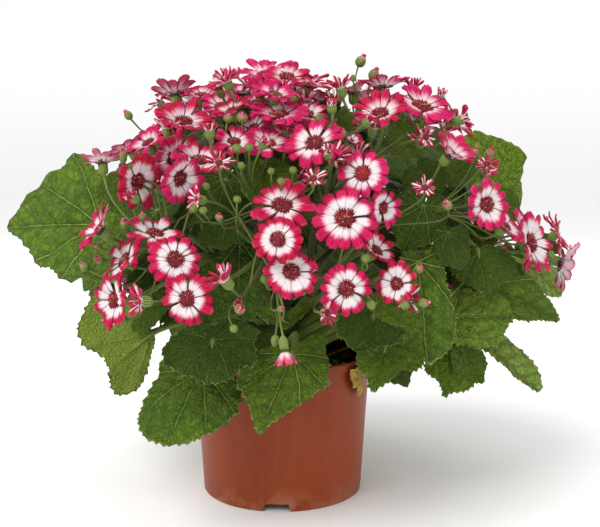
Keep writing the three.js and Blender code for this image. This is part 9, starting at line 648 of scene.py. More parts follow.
# ------------------------------------------------------------------ mesh builder
class Build:
    """Collects closed solids made of grid patches; each patch has its own cell in the UV map."""

    def __init__(self):
        self.v, self.a, self.t, self.n = [], [], [], 0
        self.q, self.uv, self.m, self.c = [], [], [], []
        self.cells = []

    def solid(self, P, A, T, patches):
        """P vertices in mm, A and T their two attribute rows, patches (index grid, material, cell size)."""
        P = np.asarray(P, float).reshape(-1, 3)
        k = len(P)
        quads, uvs, mats, cells = [], [], [], []
        for I, mat, size in patches:
            nu, nv = I.shape
            U, W = np.meshgrid(np.linspace(0, 1, nu), np.linspace(0, 1, nv), indexing="ij")
            c = lambda X: np.stack([X[:-1, :-1], X[1:, :-1], X[1:, 1:], X[:-1, 1:]], -1).reshape(-1, 4)
            q = c(I)
            quads.append(q)
            uvs.append(np.stack([c(U), c(W)], -1))
            mats.append(np.full(len(q), mat))
            cells.append(np.full(len(q), len(self.cells)))
            self.cells.append(size)
        q, uv = np.concatenate(quads), np.concatenate(uvs)
        a, b, c_, d = (P[q[:, i]] - P[0] for i in range(4))
        vol = np.einsum("ij,ij->i", a, np.cross(b, c_)).sum() + np.einsum("ij,ij->i", a, np.cross(c_, d)).sum()
        if vol < 0:
            q, uv = q[:, ::-1], uv[:, ::-1]
        self.q.append(q + self.n)
        self.uv.append(uv)
        self.m.append(np.concatenate(mats))
        self.c.append(np.concatenate(cells))
        self.v.append(P)
        self.a.append(np.broadcast_to(np.asarray(A, float).reshape(-1, 4), (k, 4)))
        self.t.append(np.broadcast_to(np.asarray(T, float).reshape(-1, 4), (k, 4)))
        self.n += k

    def pegs(self, base, out, side, tall, wide, A, T, mat, size, plain=False):
        """Many small closed pegs, four-sided or, when plain, three-sided points; one row per peg."""
        m = len(base)
        other = np.cross(out, side)
        if plain:
            P = np.stack([base + wide[:, None] * (math.cos(f) * side + math.sin(f) * other) for f in (0.0, 2.1, 4.2)] + [base + out * tall[:, None]], 1)
            k = np.arange(m)[:, None] * 4
            q = (k[:, :, None] + np.array([[0, 1, 3, 3], [1, 2, 3, 3], [2, 0, 3, 3], [2, 1, 0, 0]])[None]).reshape(-1, 4)
            g = int(math.ceil(math.sqrt(m)))
            cell = np.stack([np.arange(m) % g, np.arange(m) // g], -1)[:, None, None, :] / g
            loc = np.array([[(0.1, 0.1), (0.9, 0.1), (0.5, 0.9), (0.5, 0.9)]] * 4)
            self.q.append(q + self.n)
            self.uv.append((cell + loc[None] / g).reshape(-1, 4, 2))
            self.m.append(np.full(len(q), mat))
            self.c.append(np.full(len(q), len(self.cells)))
            self.cells.append(size)
            self.v.append(P.reshape(-1, 3))
            self.a.append(np.repeat(A, 4, 0))
            self.t.append(np.broadcast_to(np.asarray(T, float).reshape(-1, 4), (m * 4, 4)))
            self.n += m * 4
            return
        corners = [base + wide[:, None] * (sx * side + sy * other) for sx, sy in ((1, 0), (0, 1), (-1, 0), (0, -1))]
        mid = [c * 0.75 + (base + out * tall[:, None] * 0.62) * 0.25 + out * tall[:, None] * 0.45 for c in corners]
        tip = base + out * tall[:, None]
        P = np.stack(corners + mid + [tip], 1)
        k = np.arange(m)[:, None] * 9
        f = []
        for i in range(4):
            j = (i + 1) % 4
            f.append([i, j, 4 + j, 4 + i])
            f.append([4 + i, 4 + j, 8, 8])
        f.append([3, 2, 1, 0])
        f = np.array(f)
        q = (k[:, :, None] + f[None]).reshape(-1, 4)
        g = int(math.ceil(math.sqrt(m)))
        cell = np.stack([np.arange(m) % g, np.arange(m) // g], -1)[:, None, None, :] / g
        loc = np.array([[(0.1, 0.1), (0.9, 0.1), (0.9, 0.5), (0.1, 0.5)] if i % 2 == 0 else [(0.1, 0.5), (0.9, 0.5), (0.5, 0.9), (0.5, 0.9)] for i in range(9)])
        uv = cell + loc[None] / g
        self.q.append(q + self.n)
        self.uv.append(uv.reshape(-1, 4, 2))
        self.m.append(np.full(len(q), mat))
        self.c.append(np.full(len(q), len(self.cells)))
        self.cells.append(size)
        self.v.append(P.reshape(-1, 3))
        self.a.append(np.repeat(A, 9, 0))
        self.t.append(np.broadcast_to(np.asarray(T, float).reshape(-1, 4), (m * 9, 4)))
        self.n += m * 9

    def make(self, name, materials, body="root", replaces=(), sharp=None):
        q, uv, m, c = (np.concatenate(x) for x in (self.q, self.uv, self.m, self.c))
        V = np.concatenate(self.v) * 0.001
        cells = np.array(self.cells, float) + 0.6
        order = np.argsort(-cells[:, 1])
        side = math.sqrt((cells[:, 0] * cells[:, 1]).sum() * 1.12) + cells[:, 0].max() * 0.3
        at = np.zeros((len(cells), 2))
        x = y = row = 0.0
        for i in order:
            w, h = cells[i]
            if x + w > side and x > 0:
                x, y, row = 0.0, y + row, 0.0
            at[i] = x, y
            x += w
            row = max(row, h)
        total = max(side, y + row, (at[:, 0] + cells[:, 0]).max())
        uv = (at[c][:, None, :] + 0.3 + uv * (cells[c][:, None, :] - 0.6)) / total
        keep = q != np.roll(q, 1, axis=1)
        good = keep.sum(1) >= 3
        q, uv, m, keep = q[good], uv[good], m[good], keep[good]
        loops = q[keep]
        uvl = uv[keep]
        tot = keep.sum(1)
        start = np.concatenate([[0], np.cumsum(tot)[:-1]])
        me = bpy.data.meshes.new(name)
        me.vertices.add(len(V))
        me.vertices.foreach_set("co", V.astype(np.float32).ravel())
        me.loops.add(len(loops))
        me.loops.foreach_set("vertex_index", loops.astype(np.int32))
        me.polygons.add(len(tot))
        me.polygons.foreach_set("loop_start", start.astype(np.int32))
        me.update(calc_edges=True)
        me.polygons.foreach_set("material_index", m.astype(np.int32))
        me.polygons.foreach_set("use_smooth", np.ones(len(tot), bool))
        for key, rows in (("pc", self.a), ("lt", self.t)):
            at_ = me.attributes.new(key, "FLOAT_COLOR", "POINT")
            at_.data.foreach_set("color", np.concatenate(rows).astype(np.float32).ravel())
        layer = me.uv_layers.new(name="OFBake")
        layer.data.foreach_set("uv", uvl.astype(np.float32).ravel())
        for mt in materials:
            me.materials.append(mt)
        if sharp:
            me.set_sharp_from_angle(angle=math.radians(sharp))
        me.update()
        ob = bpy.data.objects.new(name, me)
        bpy.context.scene.collection.objects.link(ob)
        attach(ob, body)
        if replaces:
            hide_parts(*replaces)
        TRIS[name] = int((tot - 2).sum())
        return ob


TRIS = {}


def tube(b, P, radius, sides, mat, rnd, T=(0.5, 0.5, 0.5, 0.5), ribs=0.0, size=None, t0=0.0, t1=1.0):
    """A closed round stem along the points P with a radius at each."""
    P = np.asarray(P, float)
    n = len(P)
    radius = np.broadcast_to(np.asarray(radius, float), (n,))
    tan = np.gradient(P, axis=0)
    tan /= np.maximum(np.linalg.norm(tan, axis=1), 1e-9)[:, None]
    N = np.zeros_like(P)
    ref = vec([0.21, 0.93, 0.3]) if abs(tan[0] @ vec([0.21, 0.93, 0.3])) < 0.85 else vec([0.95, 0.1, 0.3])
    N[0] = unit(ref - (ref @ tan[0]) * tan[0])
    for i in range(1, n):
        v = N[i - 1] - (N[i - 1] @ tan[i]) * tan[i]
        N[i] = unit(v)
    B = np.cross(tan, N)
    f = 2 * pi * np.arange(sides) / sides
    rr = radius[:, None] * (1 + ribs * np.cos(f * (sides // 2))[None])
    ring = P[:, None] + rr[..., None] * (np.cos(f)[None, :, None] * N[:, None] + np.sin(f)[None, :, None] * B[:, None])
    a0, a1 = P[0] - tan[0] * radius[0] * 0.5, P[-1] + tan[-1] * radius[-1] * 0.5
    V = np.concatenate([ring.reshape(-1, 3), [a0, a1]])
    I = np.arange(n * sides).reshape(n, sides)
    I = np.concatenate([np.full((1, sides), n * sides), I, np.full((1, sides), n * sides + 1)])
    I = np.concatenate([I, I[:, :1]], 1)
    A = np.zeros((len(V), 4))
    A[: n * sides, 0] = np.repeat(np.linspace(t0, t1, n), sides)
    A[: n * sides, 1] = np.tile(np.arange(sides) / sides, n)
    A[n * sides, 0], A[n * sides + 1, 0] = t0, t1
    A[:, 2] = rnd
    A[:, 3] = 1
    length = np.linalg.norm(np.diff(P, axis=0), axis=1).sum()
    b.solid(V, A, T, [(I, mat, size or (max(1.0, length), max(1.0, 2 * pi * radius.max())))])


def turned(b, profile, count, mat, A_of, T, at, frame_, ribs=None, size=None):
    """A closed turned solid: profile rows (height, radius), the first and last on the axis; ribs(k, theta) scales ring k and may lift it."""
    a, c, n = frame_
    f = 2 * pi * np.arange(count) / count
    rows = []
    A = []
    for k, (z, r) in enumerate(profile[1:-1]):
        s, dz = ribs(k, f) if ribs else (1.0, 0.0)
        s, dz = np.broadcast_to(s, f.shape), np.broadcast_to(dz, f.shape)
        rows.append(at + (r * s * np.cos(f))[:, None] * a + (r * s * np.sin(f))[:, None] * c + (z + dz)[:, None] * n)
        A.append(np.stack([np.full(count, A_of[k]), f / (2 * pi), np.zeros(count), np.zeros(count)], -1))
    m = len(rows)
    V = np.concatenate(rows + [[at + profile[0][0] * n], [at + profile[-1][0] * n]])
    I = np.arange(m * count).reshape(m, count)
    I = np.concatenate([np.full((1, count), m * count), I, np.full((1, count), m * count + 1)])
    I = np.concatenate([I, I[:, :1]], 1)
    A = np.concatenate(A + [[[A_of[0], 0, 0, 0]], [[A_of[-1], 0, 0, 0]]])
    A[:, 2], A[:, 3] = T[0], T[1]
    rmax = max(p[1] for p in profile)
    h = sum(math.hypot(profile[i + 1][0] - profile[i][0], profile[i + 1][1] - profile[i][1]) for i in range(len(profile) - 1))
    b.solid(V, A, (T[2], T[3], 0.5, 0.5), [(I, mat, size or (h, 2 * pi * rmax * 0.7))])


# ------------------------------------------------------------------ flower heads
PETAL, DISC, GREEN, STEM, QUILL, LEAF = range(6)


def petals(b, p, frame_, R, cup, k, fine, r, tone, loose=1.0, rec=1.0, gap=1.0):
    a, c, n = frame_
    nu, nv = (10, 7) if fine else (8, 5)
    u = 1 - (1 - np.linspace(0, 1, nu)) ** 1.25
    v = np.linspace(-1, 1, nv)
    U, W = u[:, None], v[None]
    start = r.rand() * 2 * pi
    lean = 0.10 * (1 if r.rand() < 0.5 else -1)
    interior = np.arange((nu - 2) * (nv - 2)).reshape(nu - 2, nv - 2) + nu * nv
    top = np.arange(nu * nv).reshape(nu, nv)
    bottom = top.copy()
    bottom[1:-1, 1:-1] = interior
    half0 = 0.5 * 2 * pi * 0.70 * R / k * (1.04 + 0.14 * r.rand() if fine else 1.22) * gap
    for j in range(k):
        x = r.rand(18) * 2 - 1
        az = start + 2 * pi * j / k + math.radians(5.6 * x[0] * loose)
        L = R * (1 + 0.055 * x[1] * loose)
        half = half0 * (1 + 0.17 * x[2])
        r0 = 0.20 * R
        notch = 0.050 * (1 + 0.8 * x[3]) * (np.exp(-((W - 0.33 - 0.08 * x[4]) / 0.16) ** 2) + np.exp(-((W + 0.33 - 0.08 * x[5]) / 0.16) ** 2))
        cut = (0.185 + 0.06 * x[6]) * np.abs(W) ** 3.4 + notch * (1 if fine else 0.4)
        rad = r0 + (L - r0) * U * (1 - cut * U ** 2.4)
        wid = half * (0.30 + 0.70 * smooth(U, -0.05, 0.66)) * (1 - 0.07 * smooth(U, 0.78, 1.0))
        y = wid * W
        # each ray has its own lift, and bends along its length
        tilt = math.tan(min(math.radians(cup + (5.5 * x[7] + 2.5 * x[14] * (cup > 14)) * loose), 1.05)) * 0.8
        z = tilt * rad + 0.5
        z = z + R * (-0.085 * rec * (1 + 0.9 * x[8]) * U ** 3 + 0.05 * (1 + 0.6 * x[9]) * 4 * U * (1 - U) * 0.7)
        z = z + R * 0.035 * x[15] * loose * U ** 2
        # across: a shallow trough with two pleats
        z = z + 0.16 * half * (0.35 + 0.45 * x[16] - 0.55 * U) * W ** 2 * 1.6
        z = z + 0.075 * half * np.cos(W * 3 * pi) * np.sin(pi * np.clip(U * 1.1, 0, 1)) * (1 if fine else 0.3)
        z = z + 0.030 * R * x[10] * np.sin(U * 3.0 + W * 1.7 + 3 * x[11])
        z = z + lean * y * (0.4 + 0.6 * U)
        tw = math.radians(9.5 * x[12] * loose) * U
        side_ = 0.045 * R * x[13] * U * U
        Y = y * np.cos(tw) + side_
        z = z + y * np.sin(tw)
        th = (0.16 + 0.05 * (1 - U)) * np.ones_like(y)
        out = unit(np.cos(az) * a + np.sin(az) * c)
        crs = np.cross(n, out)
        mid = p + rad[..., None] * out + Y[..., None] * crs + z[..., None] * n
        # surface normal by differences
        du = np.gradient(mid, axis=0)
        dv = np.gradient(mid, axis=1)
        nn = np.cross(du, dv)
        nn /= np.maximum(np.linalg.norm(nn, axis=-1), 1e-9)[..., None]
        if (nn[nu // 2, nv // 2] @ n) < 0:
            nn = -nn
        up = mid + nn * th[..., None]
        dn = mid - nn * th[..., None]
        up[0], up[-1], up[:, 0], up[:, -1] = mid[0], mid[-1], mid[:, 0], mid[:, -1]
        V = np.concatenate([up.reshape(-1, 3), dn[1:-1, 1:-1].reshape(-1, 3)])
        rr = np.clip((rad / R - 0.20) / 0.80, 0, 1.1)
        At = np.stack([rr, (W * 0.5 + 0.5) * np.ones_like(rr), np.full_like(rr, r.rand()), np.ones_like(rr)], -1)
        Ab = At[1:-1, 1:-1].copy()
        Ab[..., 3] = 0
        A = np.concatenate([At.reshape(-1, 4), Ab.reshape(-1, 4)])
        size = (R * 0.8, half * 2)
        b.solid(V, A, tone, [(top, PETAL, size), (bottom[:, ::-1], PETAL, size)])


def disc(b, p, frame_, Rd, rise, fine, r, tone, lift=0.9):
    a, c, n = frame_
    m = 20 if fine else 12
    prof = [(lift + rise, 0), (lift + rise * 0.93, 0.34), (lift + rise * 0.72, 0.62), (lift + rise * 0.38, 0.86), (lift - 0.1, 1.0), (lift - 0.7, 0.62), (lift - 1.2, 0)]
    prof = [(z, q * Rd) for z, q in prof]
    turned(b, prof, m, DISC, [0.3, 0.6, 0.85, 1.0, 1.0], (0.5, 0.0, tone[0], tone[1]), p, frame_)
    counts = [(0.10, 3), (0.30, 7), (0.50, 12), (0.70, 17), (0.88, 21), (1.02, 24)] if fine else [(0.12, 3), (0.40, 9), (0.70, 14), (0.97, 19)]
    base, outs, sides, tall, wide, A = [], [], [], [], [], []
    for q, cnt in counts:
        ph = r.rand() * 2 * pi
        for i in range(cnt):
            x = r.rand(5)
            f = ph + 2 * pi * (i + 0.35 * (x[0] - 0.5)) / cnt
            s = min(q * (1 + 0.05 * (x[1] - 0.5)), 1.04)
            rad = np.cos(f) * a + np.sin(f) * c
            z = lift + rise * (1 - min(s, 1.0) ** 2) - (0.15 if s > 0.95 else 0.0)
            base.append(p + rad * s * Rd + (z - 0.15) * n)
            outs.append(unit(n + rad * (0.15 + 0.75 * s * s) + (x[2] - 0.5) * 0.35 * np.cross(n, rad)))
            sides.append(unit(np.cross(outs[-1], rad)))
            tall.append(Rd * (0.17 + 0.12 * smooth(s, 0.45, 0.9) + 0.07 * (x[3] - 0.5)))
            wide.append(Rd * (0.105 if fine else 0.17) * (0.85 + 0.3 * x[4]))
            A.append([s, x[3], x[4], 1.0])
    b.pegs(np.array(base), np.array(outs), np.array(sides), np.array(tall), np.array(wide), np.array(A), tone, DISC, (Rd * 2.6, Rd * 2.6), not fine)


def involucre(b, p, frame_, Ri, tilt, r, tone, length=6.0, fine=True):
    x = r.rand(3)
    if not fine:
        prof = [(-length - 0.3, 0), (-length, 1.0), (-length * 0.8, 0.78 * Ri), (-length * 0.3, 1.0 * Ri), (0.1 + tilt * Ri, 1.04 * Ri), (-0.9, 0.7 * Ri), (-0.7, 0)]
        turned(b, prof, 14, GREEN, [0, 0.2, 0.7, 1.0, 1.0], (x[0], 0.0, tone[0], tone[1]), p, frame_)
        return
    prof = [(-length - 0.3, 0), (-length, 1.0), (-length * 0.93, 0.50 * Ri), (-length * 0.74, 0.88 * Ri), (-length * 0.42, 1.0 * Ri), (-length * 0.16, 0.97 * Ri), (0.1 + tilt * Ri, 1.05 * Ri), (-0.9, 0.8 * Ri), (-0.7, 0)]

    def ribs(k, f):
        s = 1 + (0.055 if 1 <= k <= 4 else 0.0) * np.cos(13 * f)
        dz = np.where(np.cos(13 * f) > 0, 0.25, -1.0) if k == 5 else 0.0
        return s, dz
    turned(b, prof, 26, GREEN, [0, 0.08, 0.3, 0.6, 0.85, 1.0, 1.0], (x[0], 0.0, tone[0], tone[1]), p, frame_, ribs)


def open_head(b, h, seed):
    kind, _, fine, p, n, R, cup, k, w = h[:9]
    r = np.random.RandomState(seed)
    fr = basis(n)
    p = vec(p)
    hot = r.rand()
    # young heads on top of the plant carry more crimson than the older ones below
    young = 0.5 * smooth(n[2], 0.40, 0.90) + 0.5 * smooth(p[2], 190, 270)
    tone = (hot, r.rand(), float(np.clip(0.15 + 0.75 * young + 0.22 * (r.rand() - 0.5), 0, 1)), 0.5)
    loose = 1.0 + 0.6 * r.rand()
    tilt = math.tan(math.radians(min(cup, 60))) * 0.8
    if kind == "p":
        petals(b, p, fr, R, 34, 8, fine, r, tone, 1.4, 0.2, 0.8)
        disc(b, p, fr, 0.30 * R, 0.09 * R, False, r, tone)
        involucre(b, p, fr, max(2.6, 0.26 * R), 0.4, r, tone, 5.0, fine)
        return
    if kind == "n":
        petals(b, p, fr, R * 1.2, 70, k, fine, r, (hot, 0.3, 0.85, 0.5), 0.8, -0.5, 1.15)
        involucre(b, p + fr[2] * 1.0, fr, 2.35, 0.5, r, tone, 6.9, fine)
        return
    petals(b, p, fr, R, cup, k, fine, r, tone, loose, 0.5 if kind == "h" else 1.0)
    disc(b, p, fr, (0.30 if kind != "h" else 0.34) * R, 0.085 * R, fine, r, tone, 0.9 + 0.27 * R * min(tilt, 0.9))
    involucre(b, p, fr, min(max(2.9, 0.21 * R), 3.6), min(tilt, 0.5), r, tone, 6.0, fine)


def quill_head(b, h, seed):
    kind, _, fine, p, n, R, spread, k, w = h[:9]
    r = np.random.RandomState(seed)
    a, c, n = basis(n)
    p = vec(p)
    tone = (r.rand(), r.rand(), 0.5, 0.5)
    cup_len = min(6.8, 0.52 * R + 0.6)
    Ri = 3.0 if R > 12 else 2.7
    centre = p + n * cup_len
    involucre(b, centre, (a, c, n), Ri, 0.0, r, tone, cup_len, fine)
    if spread > 24:
        disc(b, centre, (a, c, n), Ri * 0.80, 0.9, False, r, tone, 0.2)
    start = r.rand() * 2 * pi
    k = int(round(k * 1.22))
    for j in range(k):
        x = r.rand(10) * 2 - 1
        f = start + 2 * pi * (j + 0.30 * x[0]) / k
        rad = np.cos(f) * a + np.sin(f) * c
        s = math.radians(max(4, spread * (1 + 0.30 * x[1])))
        L = R * (1.02 + 0.14 * x[2])
        side = np.cross(n, rad)
        P0 = centre + rad * (Ri * 0.72) - n * 1.2
        P3 = p + n * (L * math.cos(s)) + rad * max(L * math.sin(s), Ri * 0.75) + side * 1.5 * x[3]
        if (P3 - centre) @ n < 1.5 and spread < 60:
            P3 = P3 + n * (1.5 - (P3 - centre) @ n)
        P1 = P0 + n * (0.45 * np.linalg.norm(P3 - P0)) + rad * 0.4
        P2 = P3 - (n * (0.75 - 0.25 * x[4]) + rad * (0.35 + spread / 90)) * (0.30 * np.linalg.norm(P3 - P0)) + side * 0.8 * x[8]
        P = bezier([P0, P1, P2, P3], 6)
        t = np.linspace(0, 1, 6)
        # a rolled ray: thin below, wider and flatter where it opens near the tip
        rr = (0.50 + 0.34 * smooth(t, 0.25, 0.85)) * (1.0 + 0.22 * x[5]) * (0.74 + 0.03 * min(R, 14))
        rr[-1] *= 0.62
        tube(b, P, rr, 5, QUILL, (x[6] + 1) / 2, tone, size=(R * 0.8, 3.2))


def bud(b, h, seed):
    kind, _, fine, p, n, L, cup, pink, w = h[:9]
    r = np.random.RandomState(seed)
    fr = basis(n)
    x = r.rand(4)
    w = w / 2
    if fine:
        shape = [(-0.5, 0), (-0.49, 0.24), (-0.40, 0.70), (-0.22, 0.97), (0.0, 1.0), (0.18, 0.86), (0.33, 0.60), (0.45, 0.32), (0.5, 0)]
        where = [0.02, 0.14, 0.32, 0.5, 0.68, 0.84, 1.0]
    else:
        shape = [(-0.5, 0), (-0.45, 0.55), (-0.22, 0.97), (0.10, 0.94), (0.36, 0.56), (0.5, 0)]
        where = [0.06, 0.32, 0.58, 0.86]
    prof = [(z * L, q * w) for z, q in shape]
    amp = [0.0, 0.05, 0.07, 0.07, 0.06, 0.06, 0.08]

    def ribs(k, f):
        return 1 + (amp[k] * np.cos(11 * f) if fine else 0.0 * f), 0.0
    turned(b, prof, 22 if fine else 12, GREEN, where, (x[0], 0.35 + 0.65 * pink, x[1], x[2]), vec(p), fr, ribs)
    # the tips of the folded rays stand out of the older buds as a short tuft
    if pink:
        a, c, n = fr
        m = 7
        f = 2 * pi * (np.arange(m) + 0.3 * r.rand(m)) / m
        rad = np.cos(f)[:, None] * a + np.sin(f)[:, None] * c
        base = vec(p) + n * (0.36 * L) + rad * w * 0.26
        out = n[None] * 1.0 + rad * 0.12
        out /= np.linalg.norm(out, axis=1)[:, None]
        side = np.cross(out, rad)
        side /= np.linalg.norm(side, axis=1)[:, None]
        A = np.stack([np.full(m, 0.9), f / (2 * pi), r.rand(m), np.ones(m)], -1)
        b.pegs(base, out, side, L * (0.20 + 0.08 * r.rand(m)), np.full(m, w * 0.24), A, (x[1], x[2], 0.5, 0.5), QUILL, (4, 4), not fine)


def head(b, h, seed):
    if h[0] == "q":
        quill_head(b, h, seed)
    elif h[0] == "B":
        bud(b, h, seed)
    else:
        open_head(b, h, seed)


# ------------------------------------------------------------------ leaves
def margin(tab, th):
    N = len(tab)
    t = np.array(tab, float)
    u = (th / (2 * pi) * N) % N
    i = np.floor(u).astype(int)
    f = u - i
    p0, p1, p2, p3 = t[(i - 1) % N], t[i % N], t[(i + 1) % N], t[(i + 2) % N]
    return 0.5 * (2 * p1 + (p2 - p0) * f + (2 * p0 - 5 * p1 + 4 * p2 - p3) * f * f + (3 * p1 - p0 - 3 * p2 + p3) * f ** 3)


# per leaf: lightness, which is painted light and shade for how brightly each leaf is lit, yellowness, and 1 where the
# underside faces the viewer more than usual
TONES = {
    "leaf_left_big": (0.60, 0.52), "leaf_left_pale": (1.12, 0.72), "leaf_bottom_left": (0.47, 0.45), "leaf_centre_left": (0.12, 0.12),
    "leaf_over_pot": (0.50, 0.55), "leaf_right_centre": (0.74, 0.44), "leaf_mid_dark": (0.26, 0.16), "leaf_right_large": (0.46, 0.36),
    "leaf_lower_right": (0.82, 0.55), "leaf_right_mid": (1.20, 0.50), "leaf_right_point": (0.66, 0.40), "leaf_right_edge": (1.50, 0.55),
    "leaf_right_dark": (0.30, 0.20), "leaf_right_pale": (1.60, 0.60), "leaf_inner_dark": (0.14, 0.12), "leaf_withered": (0.5, 0.5),
    "up_right": (0.90, 0.75), "centre_curl": (0.60, 0.50), "right_dark2": (0.12, 0.2), "mid_right_c": (0.10, 0.25), "mid_right_b": (0.34, 0.35), "mid_right_a": (0.60, 0.50), "centre_dark": (0.18, 0.25), "top_small": (0.75, 0.5), "olive": (0.75, 0.9), "left_mid": (0.6, 0.5), "small_pointed": (0.85, 0.50), "behind_centre": (0.22, 0.2), "behind_left": (0.30, 0.25), "behind_upper": (0.26, 0.25), "behind_mid": (0.20, 0.25), "behind_lower": (0.62, 0.5), "left_dark": (0.38, 0.30),
}
VEINS = (0.0, 0.62, 1.24, 1.98)
TIPS = {"leaf_left_big": 0.075, "leaf_over_pot": 0.07, "leaf_bottom_left": 0.0, "leaf_centre_left": 0.0, "leaf_withered": 0.0, "leaf_right_point": 0.09, "leaf_right_edge": 0.20, "leaf_left_pale": 0.0}
RIMS = {"leaf_left_big": 0.10, "leaf_left_pale": 0.25, "leaf_right_dark": 0.30, "leaf_inner_dark": 0.25}


def leaf(b, lf, seed, big, mat=LEAF):
    name, _, q0, q1, q2, J, ex, n, L, W, fold, droop, ripple, tab = lf
    r = np.random.RandomState(seed)
    J, ex, ez = vec(J), unit(ex), unit(n)
    ez = unit(ez - (ez @ ex) * ex)
    ey = np.cross(ez, ex)
    withered = name == "leaf_withered"
    inner = name.startswith("inner_")
    lightness, yellow = TONES.get(name, (0.22 + 0.5 * r.rand(), 0.3 + 0.5 * r.rand()))
    # painted shade: filler leaves (xs_) and inner leaves sit deep in the plant and are coloured darker for the shade
    # there
    if name.startswith("xs_"):
        lightness = 0.36 * lightness + 0.02
    if inner:
        lightness, yellow = 0.03 + 0.22 * r.rand(), 0.2 + 0.4 * r.rand()
    # teeth: irregular, four samples to a tooth
    teeth = (30 if "back" in name else 40) if big else 19
    if withered:
        teeth = 26
    if inner:
        teeth = 13
    widths = 0.45 + 1.2 * r.rand(teeth)
    edges = np.concatenate([[0], np.cumsum(widths)]) / widths.sum()
    amp = (0.6 + 1.5 * r.rand(teeth)) * (0.6 + 0.4 * widths) * (1.0 if big else 0.70)
    tf = np.linspace(-pi, pi, 961)
    rf = margin(tab, tf) * (1 + TIPS.get(name, 0.03 if not inner else 0.05) * np.exp(-((tf / 0.11) ** 2)))
    xf, yf = rf * np.cos(tf), rf * np.sin(tf)
    arc = np.concatenate([[0], np.cumsum(np.hypot(np.diff(xf), np.diff(yf)))])
    tip_at = arc[480] / arc[-1]
    arc = arc / arc[-1]
    u, bump = [], []
    for i in range(teeth):
        for f, hgt in ((0.0, 0.0), (0.62, 1.0), (0.84, 0.22)):
            u.append(edges[i] + f * (edges[i + 1] - edges[i]))
            bump.append(hgt * amp[i])
    u, bump = np.array(u), np.array(bump)
    # teeth lean towards the tip on both sides
    half_ = u > tip_at
    u = np.concatenate([u[~half_], (u[half_].min() + u[half_].max() - u[half_])[::-1]])
    bump = np.concatenate([bump[~half_], bump[half_][::-1]])
    th = np.interp(u, arc, tf)
    near = int(np.argmin(np.abs(th)))
    th[near] = 0.0
    bump[near] = max(bump[near], 0.8 * float(np.mean(amp)))
    rings = 11 if big else (4 if inner else 6)
    s = np.concatenate([[0.0], (np.arange(1, rings + 1) / rings) ** 0.86])
    s[-1] = 1.0
    s = np.concatenate([s[:-1], [0.965, 1.0]])
    S, TH = np.meshgrid(s, th, indexing="ij")
    rad = margin(tab, TH)
    rad = rad * (1 + TIPS.get(name, 0.03 if not inner else 0.05) * np.exp(-((TH / 0.11) ** 2)))
    edge_x, edge_y = rad[-1] * np.cos(th), rad[-1] * np.sin(th)
    tx, ty = np.roll(edge_x, -1) - np.roll(edge_x, 1), np.roll(edge_y, -1) - np.roll(edge_y, 1)
    tl = np.maximum(np.hypot(tx, ty), 1e-6)
    push = (bump - 0.3 * float(np.mean(amp))) * smooth(np.abs(th), 2.95, 2.45)
    X = rad * S * np.cos(TH) + S ** 5 * (push * ty / tl)[None]
    Y = rad * S * np.sin(TH) - S ** 5 * (push * tx / tl)[None]
    z = -math.tan(math.radians(droop)) * X * np.abs(X) / L * 0.8 + np.abs(Y) * math.tan(math.radians(fold)) - 0.30 * Y * Y / max(W, 1) + 0.035 * L * np.sin(3 * TH + ripple * 2.1) * S * S
    # veins sunk, blade between them blistered, margin waved
    rr = np.sqrt(X * X + Y * Y) / L
    ang = np.abs(TH)
    dist = np.min([np.abs(ang - (v - 0.16 * v * rr)) for v in VEINS], axis=0) * rr
    sunk = np.exp(-((dist / 0.028) ** 2)) * smooth(S, 0.02, 0.2) * (1 - 0.7 * S)
    field, field2 = lattice(seed * 7 + 1), lattice(seed * 7 + 2)
    blister = smooth(dist, 0.02, 0.10) * (0.6 + 0.4 * field2(X / L * 14, Y / L * 14)) * smooth(S, 0.05, 0.3)
    amp_ = L * (0.023 if big else 0.020) * (1.7 if withered else 1.0)
    z = z - 0.9 * amp_ * sunk + amp_ * blister * 0.9 + amp_ * 0.9 * field(X / L * 6, Y / L * 6)
    wave = value_noise(seed * 7 + 3, 9)
    z = z + L * (0.030 if big else 0.035) * (2.5 if withered else 1.0) * wave(TH / (2 * pi) + 0.5) * S ** 3
    z = z + L * 0.016 * np.sin(TH * 17 + seed) * S ** 6
    mid = J + X[..., None] * ex + Y[..., None] * ey + z[..., None] * ez
    half = (0.30 if big else 0.22) * (1 - 0.5 * S) + 0.5 * np.exp(-((dist / 0.014) ** 2)) * (1 - 0.75 * S) * smooth(S, 0.0, 0.05) * (0.9 if big else 0.4)
    low = (0.30 if big else 0.22) * (1 - 0.5 * S)
    nr, na = S.shape
    nrm_ = np.cross(np.gradient(mid, axis=0), np.roll(mid, -1, axis=1) - np.roll(mid, 1, axis=1))
    ln = np.linalg.norm(nrm_, axis=-1)
    nrm_ = np.where(ln[..., None] > 1e-9, nrm_ / np.maximum(ln, 1e-9)[..., None], ez)
    nrm_ = np.where((nrm_ @ ez)[..., None] < 0, -nrm_, nrm_)
    up = mid + nrm_ * low[..., None]
    dn = mid - nrm_ * half[..., None]
    up[-1] = mid[-1]
